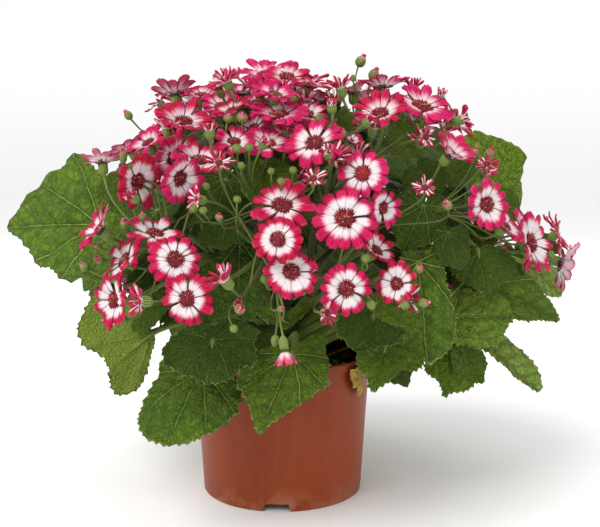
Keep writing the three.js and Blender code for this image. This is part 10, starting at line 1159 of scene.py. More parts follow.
    # centre pole + rings 1..nr-1; the outer ring is shared
    top_c, V_top = J + ez * 0.30, up[1:].reshape(-1, 3)
    bot_c, V_bot = J - ez * 0.60, dn[1:-1].reshape(-1, 3)
    nt = (nr - 1) * na
    nb = (nr - 2) * na
    V = np.concatenate([V_top, V_bot, [top_c, bot_c]])
    It = np.concatenate([np.full((1, na), nt + nb), np.arange(nt).reshape(nr - 1, na)])
    Ib = np.concatenate([np.full((1, na), nt + nb + 1), nt + np.arange(nb).reshape(nr - 2, na), It[-1:]])
    It = np.concatenate([It, It[:, :1]], 1)
    Ib = np.concatenate([Ib, Ib[:, :1]], 1)
    att = lambda sl, side: np.stack([X[sl] / L, Y[sl] / L, S[sl], np.full_like(X[sl], side)], -1).reshape(-1, 4)
    A = np.concatenate([att(slice(1, None), 1.0), att(slice(1, -1), 0.0), [[0, 0, 0, 1], [0, 0, 0, 0]]])
    T = (lightness, r.rand(), yellow, RIMS.get(name, 1.0 if big else (0.0 if inner else 0.5)))
    size = (L * 1.0, 2 * pi * 0.55 * L)
    b.solid(V, A, T, [(It, mat, size), (Ib[:, ::-1], mat, size)])
    # petiole, running on under the blade as the root of the midrib
    end = J + ex * (5 if big else 2) - ez * (0.9 if big else 0.5)
    curve = bezier([q0, q1, q2, J - ez * (0.7 if big else 0.4)], 15 if big else (5 if inner else 8))
    curve = np.concatenate([curve, [end]])
    t = np.linspace(0, 1, len(curve))
    if big:
        rad_ = 2.75 - 1.0 * smooth(t, 0.0, 0.9)
        rad_[-1] = 0.8
    else:
        rad_ = 1.0 - 0.4 * t
        rad_[-1] = 0.4
    if withered:
        rad_ = rad_ * 0.28
    # the petiole's lightness follows the blade's, so it carries the blade's painted light and shade
    tube(b, curve, rad_, 10 if big else (4 if inner else 6), STEM if mat == LEAF else mat, r.rand(), (0.45 + 0.4 * lightness, yellow, 0.2, 0.5))


# ------------------------------------------------------------------ materials
def srgb(*c):
    return tuple(((x / 255) / 12.92 if x / 255 <= 0.04045 else ((x / 255 + 0.055) / 1.055) ** 2.4) for x in c) + (1.0,)


class Nodes:
    def __init__(self, name):
        self.mat = bpy.data.materials.new(name)
        self.mat.use_nodes = True
        self.nt = self.mat.node_tree
        self.nt.nodes.clear()
        self.out = self.nt.nodes.new("ShaderNodeOutputMaterial")
        self.bsdf = self.nt.nodes.new("ShaderNodeBsdfPrincipled")
        self.nt.links.new(self.bsdf.outputs[0], self.out.inputs[0])

    def put(self, socket, value):
        if isinstance(value, bpy.types.NodeSocket):
            self.nt.links.new(value, socket)
        elif hasattr(socket, "default_value"):
            socket.default_value = value

    def m(self, op, a, b=None, c=None, clamp=False):
        n = self.nt.nodes.new("ShaderNodeMath")
        n.operation = op
        n.use_clamp = clamp
        for i, x in enumerate((a, b, c)):
            if x is not None:
                self.put(n.inputs[i], x)
        return n.outputs[0]

    def step(self, x, lo, hi, a=0.0, b=1.0):
        n = self.nt.nodes.new("ShaderNodeMapRange")
        n.interpolation_type = "SMOOTHSTEP"
        for k, v in zip(("Value", "From Min", "From Max", "To Min", "To Max"), (x, lo, hi, a, b)):
            self.put(n.inputs[k], v)
        return n.outputs[0]

    def mix(self, f, a, b, kind="MIX"):
        n = self.nt.nodes.new("ShaderNodeMix")
        n.data_type = "RGBA"
        n.blend_type = kind
        self.put(n.inputs[0], f)
        self.put(n.inputs[6], a)
        self.put(n.inputs[7], b)
        return n.outputs[2]

    def attr(self, name):
        n = self.nt.nodes.new("ShaderNodeAttribute")
        n.attribute_name = name
        s = self.nt.nodes.new("ShaderNodeSeparateColor")
        self.nt.links.new(n.outputs["Color"], s.inputs[0])
        return s.outputs[0], s.outputs[1], s.outputs[2], n.outputs["Alpha"]

    def xyz(self, x, y, z=0.0):
        n = self.nt.nodes.new("ShaderNodeCombineXYZ")
        for i, v in enumerate((x, y, z)):
            self.put(n.inputs[i], v)
        return n.outputs[0]

    def noise(self, vector, scale, detail=3.0, rough=0.55):
        n = self.nt.nodes.new("ShaderNodeTexNoise")
        self.put(n.inputs["Vector"], vector)
        n.inputs["Scale"].default_value = scale
        n.inputs["Detail"].default_value = detail
        n.inputs["Roughness"].default_value = rough
        return n.outputs["Fac"] if "Fac" in n.outputs else n.outputs[0]

    def voronoi(self, vector, scale, feature="DISTANCE_TO_EDGE"):
        n = self.nt.nodes.new("ShaderNodeTexVoronoi")
        n.feature = feature
        self.put(n.inputs["Vector"], vector)
        n.inputs["Scale"].default_value = scale
        return n.outputs["Distance"]

    def place(self):
        n = self.nt.nodes.new("ShaderNodeTexCoord")
        return n.outputs["Object"]

    def bump(self, height, strength, distance, normal=None):
        n = self.nt.nodes.new("ShaderNodeBump")
        n.inputs["Strength"].default_value = strength
        n.inputs["Distance"].default_value = distance
        self.put(n.inputs["Height"], height)
        if normal is not None:
            self.nt.links.new(normal, n.inputs["Normal"])
        return n.outputs[0]

    def done(self, colour, rough, normal=None, through=0.0, glow_colour=None, **fixed):
        self.put(self.bsdf.inputs["Base Color"], colour)
        self.put(self.bsdf.inputs["Roughness"], rough)
        if normal is not None:
            self.nt.links.new(normal, self.bsdf.inputs["Normal"])
        for k, v in fixed.items():
            self.bsdf.inputs[k.replace("_", " ")].default_value = v
        if through:
            glow = self.nt.nodes.new("ShaderNodeBsdfTranslucent")
            both = self.nt.nodes.new("ShaderNodeMixShader")
            both.inputs[0].default_value = through
            self.put(glow.inputs[0], colour if glow_colour is None else glow_colour)
            if normal is not None:
                self.nt.links.new(normal, glow.inputs["Normal"])
            self.nt.links.new(self.bsdf.outputs[0], both.inputs[1])
            self.nt.links.new(glow.outputs[0], both.inputs[2])
            self.nt.links.new(both.outputs[0], self.out.inputs[0])
        return self.mat


def petal_material():
    N = Nodes("petal_ray")
    u, v01, rnd, side = N.attr("pc")
    hot, tint, young, _ = N.attr("lt")
    v = N.m("MULTIPLY_ADD", v01, 2.0, -1.0)
    wide = N.noise(N.xyz(N.m("MULTIPLY_ADD", rnd, 37.0, N.m("MULTIPLY", v, 2.6)), N.m("MULTIPLY_ADD", u, 0.7, N.m("MULTIPLY", rnd, 11.0)), N.m("MULTIPLY", rnd, 53.0)), 1.0, 3, 0.6)
    fine = N.noise(N.xyz(N.m("MULTIPLY_ADD", rnd, 71.0, N.m("MULTIPLY", v, 7.5)), N.m("MULTIPLY", u, 1.1), N.m("MULTIPLY", rnd, 19.0)), 1.0, 3, 0.65)
    # where the white throat gives way to crimson, further in at the sides of the ray
    line = N.m("MULTIPLY_ADD", young, -0.30, N.m("MULTIPLY_ADD", tint, 0.08, 0.590))
    line = N.m("ADD", line, N.m("MULTIPLY", N.m("SUBTRACT", rnd, 0.5), 0.12))
    line = N.m("ADD", line, N.m("MULTIPLY", N.m("MULTIPLY", v, v), -0.09))
    feather = N.m("MULTIPLY_ADD", young, 0.55, 0.55)
    rough_ = N.m("MULTIPLY_ADD", N.m("SUBTRACT", wide, 0.5), 0.45, N.m("MULTIPLY", N.m("SUBTRACT", fine, 0.5), 0.62))
    edge = N.m("ADD", line, N.m("MULTIPLY", rough_, feather))
    blush = N.step(u, N.m("SUBTRACT", edge, N.m("MULTIPLY_ADD", young, 0.20, 0.08)), N.m("ADD", edge, 0.08))
    mask = N.step(u, N.m("SUBTRACT", edge, 0.05), N.m("ADD", edge, N.m("MULTIPLY_ADD", young, 0.14, 0.10)))
    white = N.mix(N.m("MULTIPLY", N.step(fine, 0.50, 0.68), N.step(u, 0.05, 0.45, 0.02, 0.34)), srgb(246, 243, 243), srgb(238, 204, 214))
    white = N.mix(N.step(u, 0.10, 0.0, 0.0, 0.45), white, srgb(214, 206, 176))
    white = N.mix(N.m("MULTIPLY", blush, 0.55), white, srgb(236, 128, 166))
    bright = N.mix(hot, srgb(214, 8, 58), srgb(238, 36, 122))
    deep = N.mix(hot, srgb(136, 2, 32), srgb(170, 8, 72))
    depth = N.m("ADD", N.m("MULTIPLY", N.step(wide, 0.36, 0.66), 0.55), N.m("MULTIPLY", N.step(fine, 0.40, 0.64), 0.42), clamp=True)
    red = N.mix(depth, bright, deep)
    red = N.mix(N.m("MULTIPLY", N.step(fine, 0.52, 0.34), 0.30), red, srgb(238, 92, 146))
    # painted highlight: the crimson lightens to pink towards the ray tip
    red = N.mix(N.step(u, 0.88, 1.03, 0.0, 0.45), red, srgb(238, 104, 150))
    top = N.mix(mask, white, red)
    # undersides: paler, partly the ray's own paler back and partly painted glow of light coming through the ray
    under_white = srgb(246, 232, 236)
    under_red = N.mix(N.step(young, 0.62, 0.84, 0.0, 0.66), N.mix(fine, srgb(250, 190, 216), srgb(232, 122, 166)), red)
    mask_u = N.step(u, N.m("SUBTRACT", edge, 0.02), N.m("ADD", edge, 0.34))
    under = N.mix(mask_u, N.mix(N.step(fine, 0.5, 0.62, 0.0, 0.45), under_white, srgb(228, 162, 190)), under_red)
    colour = N.mix(N.step(side, 0.30, 0.55), under, top)
    height = N.m("ADD", N.m("MULTIPLY", fine, 0.7), N.m("MULTIPLY", N.m("ABSOLUTE", N.m("SINE", N.m("MULTIPLY", v, 4.7))), 0.45))
    through = N.mix(N.step(side, 0.30, 0.55), N.mix(0.70, colour, srgb(255, 226, 238)), N.mix(0.30, colour, srgb(255, 168, 202)))
    return N.done(colour, N.m("MULTIPLY_ADD", fine, 0.15, 0.50), N.bump(height, 0.45, 0.0005), 0.36, through, Specular_IOR_Level=0.12)


def disc_material():
    N = Nodes("disc_florets")
    s, x, rnd, peg = N.attr("pc")
    hot, tint, _, _ = N.attr("lt")
    grain = N.noise(N.place(), 2600.0, 2, 0.6)
    base = N.mix(N.step(grain, 0.35, 0.7), srgb(86, 16, 26), srgb(130, 40, 48))
    peg_col = N.mix(N.step(rnd, 0.2, 0.9), srgb(102, 18, 34), srgb(162, 62, 70))
    peg_col = N.mix(N.step(rnd, 0.80, 0.96, 0.0, 0.8), peg_col, srgb(206, 142, 104))
    rim = N.mix(N.step(x, 0.3, 0.8), srgb(112, 16, 26), srgb(168, 42, 50))
    peg_col = N.mix(N.step(s, 0.60, 0.92, 0.0, 0.80), peg_col, rim)
    col = N.mix(peg, base, peg_col)
    col = N.mix(N.step(hot, 0.86, 0.9, 0.0, 0.30), col, srgb(186, 40, 40))
    return N.done(col, 0.66, N.bump(grain, 0.6, 0.0004), Specular_IOR_Level=0.22)


def green_material():
    N = Nodes("green_bracts")
    s, th, rnd, pink = N.attr("pc")
    hot, tint, _, _ = N.attr("lt")
    rib = N.m("COSINE", N.m("MULTIPLY", th, 2 * pi * 13))
    place = N.place()
    blot = N.noise(place, 320.0, 3, 0.6)
    base = N.mix(N.m("MULTIPLY_ADD", rib, 0.35, 0.5), srgb(58, 80, 26), srgb(142, 162, 80))
    base = N.mix(N.m("MULTIPLY", N.step(s, 0.1, 0.0), 0.5), base, srgb(156, 172, 98))
    base = N.mix(N.m("MULTIPLY", N.step(blot, 0.45, 0.7), 0.30), base, srgb(90, 112, 46))
    # bracts end in a brownish-red point
    base = N.mix(N.m("MULTIPLY", N.step(s, 0.88, 1.0), 0.45), base, srgb(122, 74, 54))
    tip = N.mix(N.step(blot, 0.4, 0.6), srgb(158, 30, 60), srgb(206, 110, 132))
    tips = N.m("MULTIPLY", N.step(s, N.m("MULTIPLY_ADD", rib, 0.10, 0.62), N.m("MULTIPLY_ADD", rib, 0.10, 0.84)), N.step(pink, 0.45, 0.9))
    col = N.mix(tips, base, tip)
    h = N.m("MULTIPLY_ADD", rib, 0.5, N.m("MULTIPLY", blot, 0.4))
    return N.done(col, 0.52, N.bump(h, 0.5, 0.0005), Specular_IOR_Level=0.28)


def stem_material():
    N = Nodes("green_stems")
    t, th, rnd, _ = N.attr("pc")
    light, yellow, flower, _ = N.attr("lt")
    place = N.place()
    line = N.noise(N.xyz(N.m("MULTIPLY", th, 14.0), N.m("MULTIPLY", t, 2.5), N.m("MULTIPLY", rnd, 30.0)), 1.0, 3, 0.6)
    blot = N.noise(place, 90.0, 3, 0.55)
    base = N.mix(light, srgb(38, 56, 12), srgb(112, 130, 48))
    base = N.mix(N.m("MULTIPLY", N.step(line, 0.42, 0.62), 0.35), base, srgb(146, 164, 88))
    base = N.mix(N.m("MULTIPLY", N.step(blot, 0.48, 0.72), 0.35), base, srgb(66, 88, 34))
    base = N.mix(N.m("MULTIPLY", N.step(rnd, 0.55, 0.95), N.m("MULTIPLY", flower, 0.40)), base, srgb(98, 62, 50))
    hair = N.noise(place, 1500.0, 2, 0.7)
    return N.done(base, N.m("MULTIPLY_ADD", line, 0.2, 0.42), N.bump(N.m("ADD", line, N.m("MULTIPLY", hair, 0.4)), 0.45, 0.0005), Specular_IOR_Level=0.28, Sheen_Weight=0.06, Sheen_Roughness=0.5)


def quill_material():
    N = Nodes("rolled_rays")
    t, th, rnd, _ = N.attr("pc")
    hot, tint, _, _ = N.attr("lt")
    line = N.noise(N.xyz(N.m("MULTIPLY", th, 6.0), N.m("MULTIPLY", t, 1.4), N.m("MULTIPLY", rnd, 40.0)), 1.0, 3, 0.6)
    red = N.mix(hot, srgb(164, 14, 48), srgb(190, 34, 84))
    red = N.mix(N.step(line, 0.4, 0.65, 0.0, 0.6), red, srgb(112, 6, 32))
    pale = srgb(238, 218, 222)
    seam = N.m("MULTIPLY", N.step(N.m("ABSOLUTE", N.m("SUBTRACT", N.m("FRACT", N.m("MULTIPLY_ADD", rnd, 3.7, th)), 0.5)), 0.24, 0.12), N.step(rnd, 0.10, 0.30))
    col = N.mix(N.m("MULTIPLY", seam, N.step(t, 0.98, 0.78, 0.15, 0.88)), red, pale)
    col = N.mix(N.step(t, 0.34, 0.08), col, srgb(232, 214, 208))
    return N.done(col, 0.55, N.bump(line, 0.4, 0.0004), Specular_IOR_Level=0.22)


def leaf_material():
    N = Nodes("leaf_blade")
    X, Y, s, side = N.attr("pc")
    light, rnd, yellow, strong = N.attr("lt")
    off = N.m("MULTIPLY", rnd, 31.0)
    at = N.xyz(N.m("ADD", X, off), Y, off)
    warp = N.m("SUBTRACT", N.noise(at, 3.2, 3, 0.6), 0.5)
    warp2 = N.m("SUBTRACT", N.noise(at, 11.0, 2, 0.6), 0.5)
    theta = N.m("ARCTAN2", Y, X)
    ab = N.m("ABSOLUTE", N.m("ADD", theta, N.m("MULTIPLY_ADD", warp, 0.15, N.m("MULTIPLY", warp2, 0.05))))
    r = N.m("SQRT", N.m("ADD", N.m("MULTIPLY", X, X), N.m("MULTIPLY", Y, Y)))
    d = None
    for a in VEINS:
        bend = N.m("MULTIPLY_ADD", r, -0.16 * a, a)
        x = N.m("MULTIPLY", N.m("ABSOLUTE", N.m("SUBTRACT", ab, bend)), r)
        d = x if d is None else N.m("MINIMUM", d, x)
    taper = N.m("MULTIPLY_ADD", r, -0.006, 0.0108)
    v1 = N.step(d, taper, N.m("MULTIPLY", taper, 0.35))
    flip = N.m("MULTIPLY_ADD", N.step(Y, -0.001, 0.001), 0.41, 0.0)
    w = N.m("ADD", N.m("MULTIPLY_ADD", d, -1.15, r), N.m("MULTIPLY_ADD", warp2, 0.045, N.m("MULTIPLY", warp, 0.07)))
    f = N.m("FRACT", N.m("ADD", N.m("DIVIDE", w, 0.185), flip))
    t = N.m("MULTIPLY", N.m("ABSOLUTE", N.m("SUBTRACT", f, 0.5)), 0.185)
    v2 = N.m("MULTIPLY", N.step(t, 0.0085, 0.002), N.step(d, 0.34, 0.10))
    cell = N.voronoi(N.xyz(N.m("ADD", N.m("ADD", X, off), N.m("MULTIPLY", warp2, 0.10)), N.m("ADD", Y, N.m("MULTIPLY", warp, 0.10)), off), 15.0)
    v3 = N.step(cell, 0.055, 0.0)
    cell2 = N.voronoi(N.xyz(N.m("ADD", X, off), Y, off), 42.0)
    v4 = N.step(cell2, 0.10, 0.0)
    # colour above
    patch = N.noise(at, 2.2, 4, 0.55)
    # k: the leaf's lightness, which is painted light and shade for how brightly the leaf is lit, varied by random
    # patches; lightness above 1 paints extra light towards a pale green
    k = N.m("ADD", light, N.m("MULTIPLY", N.m("SUBTRACT", patch, 0.5), 0.90), clamp=True)
    dark = N.mix(yellow, srgb(17, 51, 3), srgb(36, 65, 2))
    lite = N.mix(N.step(light, 1.0, 1.6), N.mix(yellow, srgb(86, 126, 14), srgb(126, 155, 22)), srgb(152, 178, 78))
    top = N.mix(k, dark, lite)
    # painted light and shade of the puckered blade: swellings between the veins and cell lines are lightened, the
    # creases between them darkened, mixed with random mottling (grain)
    quilt_light = N.step(t, 0.0, 0.075)
    grain = N.step(N.noise(at, 13.0, 4, 0.7), 0.37, 0.64)
    lift = N.m("ADD", N.m("MULTIPLY_ADD", N.step(cell, 0.0, 0.30), 0.16, N.m("MULTIPLY_ADD", grain, 0.34, 0.10)), N.m("MULTIPLY", quilt_light, 0.34), clamp=True)
    top = N.mix(lift, N.mix(0.66, top, srgb(16, 36, 2)), N.mix(0.28, top, srgb(124, 156, 52)))
    # painted shade: a dark band along both sides of the main veins, as in sunken creases
    near = N.m("SUBTRACT", N.step(d, 0.050, 0.012), v1, clamp=True)
    top = N.mix(N.m("MULTIPLY", near, 0.34), top, srgb(16, 38, 3))
    top = N.mix(N.m("MULTIPLY", v4, 0.06), top, srgb(128, 156, 74))
    top = N.mix(N.m("MULTIPLY", v3, 0.17), top, srgb(134, 162, 80))
    fade = N.step(N.noise(at, 4.2, 2, 0.6), 0.34, 0.60, 0.25, 1.0)
    top = N.mix(N.m("MULTIPLY", v2, N.m("MULTIPLY_ADD", fade, 0.38, 0.10)), top, srgb(150, 180, 86))
    top = N.mix(N.m("MULTIPLY", v1, N.m("MULTIPLY_ADD", fade, 0.32, 0.44)), top, srgb(172, 194, 104))
    rim = N.step(s, 0.970, 0.992)
    rim = N.m("MULTIPLY", rim, N.step(N.noise(at, 9.0, 2, 0.6), 0.36, 0.56, 0.25, 1.0))
    top = N.mix(N.m("MULTIPLY", rim, N.m("MULTIPLY", strong, 0.78)), top, srgb(184, 190, 100))
    # below: paler, greyer, with raised veins
    low = N.mix(k, srgb(84, 106, 34), srgb(124, 146, 52))
    low = N.mix(N.m("MULTIPLY", v3, 0.25), low, srgb(146, 166, 96))
    low = N.mix(N.m("MULTIPLY", v2, 0.45), low, srgb(156, 174, 104))
    low = N.mix(N.m("MULTIPLY", v1, 0.75), low, srgb(166, 182, 108))
    up = N.step(side, 0.35, 0.6)
    colour = N.mix(up, low, top)
    net = N.m("ADD", N.m("MULTIPLY", v1, 1.0), N.m("ADD", N.m("MULTIPLY", v2, 0.65), N.m("ADD", N.m("MULTIPLY", v3, 0.35), N.m("MULTIPLY", v4, 0.12))))
    swell = N.m("MULTIPLY", N.noise(at, 5.5, 2, 0.5), 3.0)
    blister = N.m("ADD", swell, N.m("MULTIPLY_ADD", N.step(cell, 0.0, 0.40), 0.45, N.m("MULTIPLY", N.noise(at, 17.0, 3, 0.6), 1.3)))
    height = N.m("MULTIPLY", N.m("SUBTRACT", N.m("MULTIPLY_ADD", blister, 0.7, N.m("MULTIPLY", N.noise(at, 60.0, 2, 0.6), 0.12)), net), N.m("MULTIPLY_ADD", up, 2.0, -1.0))
    rough = N.m("ADD", N.m("MULTIPLY_ADD", patch, 0.16, 0.36), N.m("MULTIPLY", N.m("SUBTRACT", 1.0, up), 0.22))
    return N.done(colour, rough, N.bump(height, 0.90, 0.0022), Specular_IOR_Level=0.17)


def withered_material():
    N = Nodes("withered_leaf")
    X, Y, s, side = N.attr("pc")
    at = N.place()
    a, c = N.noise(at, 90.0, 4, 0.6), N.noise(at, 420.0, 3, 0.65)
    cell = N.voronoi(at, 260.0)
    col = N.mix(N.step(a, 0.35, 0.65), srgb(112, 92, 40), srgb(166, 136, 62))
    col = N.mix(N.step(c, 0.52, 0.72, 0.0, 0.6), col, srgb(96, 60, 30))
    col = N.mix(N.step(cell, 0.10, 0.0, 0.0, 0.5), col, srgb(180, 156, 84))
    return N.done(col, 0.72, N.bump(N.m("ADD", c, N.m("MULTIPLY", cell, 1.5)), 0.8, 0.0012), Specular_IOR_Level=0.2)


def pot_material():
    N = Nodes("pot_plastic")
    at = N.place()
    sep = N.nt.nodes.new("ShaderNodeSeparateXYZ")
    N.nt.links.new(at, sep.inputs[0])
    x, y, z = sep.outputs
    th = N.m("ARCTAN2", y, x)
    cloud = N.noise(at, 14.0, 4, 0.6)
    fine = N.noise(at, 900.0, 3, 0.6)
    flow = N.noise(N.xyz(N.m("MULTIPLY", th, 9.0), N.m("MULTIPLY", z, 18.0), 0.0), 1.0, 4, 0.6)
    ring = N.m("SINE", N.m("MULTIPLY", z, 2 * pi / 0.0011))
    col = N.mix(N.step(cloud, 0.3, 0.7), srgb(126, 48, 12), srgb(138, 56, 16))
    col = N.mix(N.step(flow, 0.42, 0.68, 0.0, 0.30), col, srgb(140, 68, 36))
    col = N.mix(N.step(fine, 0.60, 0.74, 0.0, 0.25), col, srgb(108, 46, 24))
    # painted shade: the inside wall below the lip is darkened almost to black, for the shade inside the pot
    rad = N.m("SQRT", N.m("ADD", N.m("MULTIPLY", x, x), N.m("MULTIPLY", y, y)))
    face_ = N.m("MULTIPLY_ADD", z, (0.0650 - 0.0008 - 0.05764) / 0.1005, 0.05764)
    inner_wall_shade = N.m("MULTIPLY", N.step(N.m("SUBTRACT", rad, face_), -0.0009, -0.0013), N.step(z, 0.0996, 0.0985))
    col = N.mix(N.m("MULTIPLY", inner_wall_shade, 0.92), col, srgb(36, 22, 14))
    # dust and a dried water line near the foot
    dust = N.m("MULTIPLY", N.step(z, 0.020, 0.001), N.step(N.noise(at, 60.0, 4, 0.65), 0.42, 0.70))
    col = N.mix(N.m("MULTIPLY", dust, 0.30), col, srgb(186, 150, 124))
    rough = N.m("ADD", N.m("MULTIPLY_ADD", flow, 0.14, 0.34), N.m("MULTIPLY", dust, 0.25))
    h = N.m("ADD", N.m("MULTIPLY", fine, 0.6), N.m("ADD", N.m("MULTIPLY", ring, 0.10), N.m("MULTIPLY", flow, 0.8)))
    return N.done(col, rough, N.bump(h, 0.20, 0.0004), Specular_IOR_Level=0.24)


def soil_material():
    N = Nodes("potting_mix")
    at = N.place()
    a, c = N.noise(at, 160.0, 5, 0.7), N.noise(at, 900.0, 3, 0.7)
    s, x, rnd, k = N.attr("pc")
    col = N.mix(N.step(a, 0.35, 0.68), srgb(24, 18, 13), srgb(62, 46, 34))
    col = N.mix(N.step(c, 0.58, 0.72, 0.0, 0.7), col, srgb(92, 68, 46))
    col = N.mix(N.m("MULTIPLY", N.step(rnd, 0.86, 0.90), k), col, srgb(196, 188, 172))
    col = N.mix(N.m("MULTIPLY", N.m("MULTIPLY", N.step(rnd, 0.5, 0.55), N.step(rnd, 0.84, 0.80)), N.m("MULTIPLY", k, 0.7)), col, srgb(98, 66, 42))
    return N.done(col, 0.9, N.bump(N.m("ADD", a, N.m("MULTIPLY", c, 0.5)), 0.9, 0.002), Specular_IOR_Level=0.2)


def floor_material():
    N = Nodes("pale_floor")
    at = N.place()
    a = N.noise(at, 3.0, 3, 0.5)
    col = N.mix(a, srgb(250, 250, 249), srgb(252, 252, 251))
    return N.done(col, 0.7, None, Specular_IOR_Level=0.15)


M_PETAL, M_DISC, M_GREEN, M_STEM, M_QUILL, M_LEAF = (f() for f in (petal_material, disc_material, green_material, stem_material, quill_material, leaf_material))
PLANT = [M_PETAL, M_DISC, M_GREEN, M_STEM, M_QUILL, M_LEAF]
M_DRY, M_POT, M_SOIL = withered_material(), pot_material(), soil_material()

# ------------------------------------------------------------------ camera, light, floor
scene = bpy.context.scene
cam_data = bpy.data.cameras.new("camera")
cam_data.lens, cam_data.sensor_width, cam_data.clip_start, cam_data.clip_end = 54.05, 36.0, 0.01, 50.0
cam = bpy.data.objects.new("camera", cam_data)
cam.location = (0.013, -0.650, 0.2329)
cam.rotation_euler = (math.radians(90 - 6.02), 0, 0)
scene.collection.objects.link(cam)
scene.camera = cam


def area(name, at, target, size, power, colour=(1, 1, 1)):
    d = bpy.data.lights.new(name, "AREA")
    d.shape, d.size, d.energy, d.color = "DISK", size, power, colour
    o = bpy.data.objects.new(name, d)
    o.location = at
    direction = vec(target) - vec(at)
    from mathutils import Vector
    o.rotation_euler = Vector(direction).to_track_quat("-Z", "Y").to_euler()
    scene.collection.objects.link(o)
    return o


def sun(name, direction, strength, degrees):
    d = bpy.data.lights.new(name, "SUN")
    d.energy, d.angle = strength, math.radians(degrees)
    o = bpy.data.objects.new(name, d)
    from mathutils import Vector
    o.location = (0, 0, 3)
    o.rotation_euler = Vector(direction).to_track_quat("-Z", "Y").to_euler()
    scene.collection.objects.link(o)
    return o


sun("sun", (0.55, 0.62, -1.0), 1.9, 40)
area("key", (-1.1, -1.5, 1.7), (0, 0, 0.16), 1.3, 14.0)
area("fill", (1.5, -1.1, 0.9), (0, 0, 0.14), 1.4, 7.0)
area("top", (0.1, 0.5, 2.2), (0, 0, 0.2), 1.6, 10.0)
area("back", (0.4, 1.9, 1.1), (0, 0, 0.18), 1.4, 6.0)
world = bpy.data.worlds.new("studio")
world.use_nodes = True
wt = world.node_tree
sky = wt.nodes["Background"]
sky.inputs[0].default_value = (1, 1, 1, 1)
around = wt.nodes.new("ShaderNodeTexCoord")
split = wt.nodes.new("ShaderNodeSeparateXYZ")
fade = wt.nodes.new("ShaderNodeMapRange")
fade.interpolation_type = "SMOOTHSTEP"
wt.links.new(around.outputs["Generated"], split.inputs[0])
wt.links.new(split.outputs[2], fade.inputs["Value"])
for key, value in (("From Min", 0.30), ("From Max", 0.62), ("To Min", 1.0), ("To Max", 0.34)):
    fade.inputs[key].default_value = value
low = wt.nodes.new("ShaderNodeMapRange")
low.interpolation_type = "SMOOTHSTEP"
wt.links.new(split.outputs[2], low.inputs["Value"])
for key, value in (("From Min", -0.03), ("From Max", 0.10), ("To Min", 0.905), ("To Max", 1.0)):
    low.inputs[key].default_value = value
both = wt.nodes.new("ShaderNodeMath")
both.operation = "MULTIPLY"
wt.links.new(fade.outputs[0], both.inputs[0])
wt.links.new(low.outputs[0], both.inputs[1])
wt.links.new(both.outputs[0], sky.inputs[1])
scene.world = world
scene.view_settings.view_transform = "Standard"
scene.view_settings.look = "None"

fl = bpy.data.meshes.new("floor")
k = 64
ang = np.linspace(0, 2 * pi, k, endpoint=False)
fl.from_pydata([(7 * math.cos(x), 7 * math.sin(x), 0) for x in ang], [], [tuple(range(k))])
fl.materials.append(floor_material())
floor = bpy.data.objects.new("floor", fl)
scene.collection.objects.link(floor)


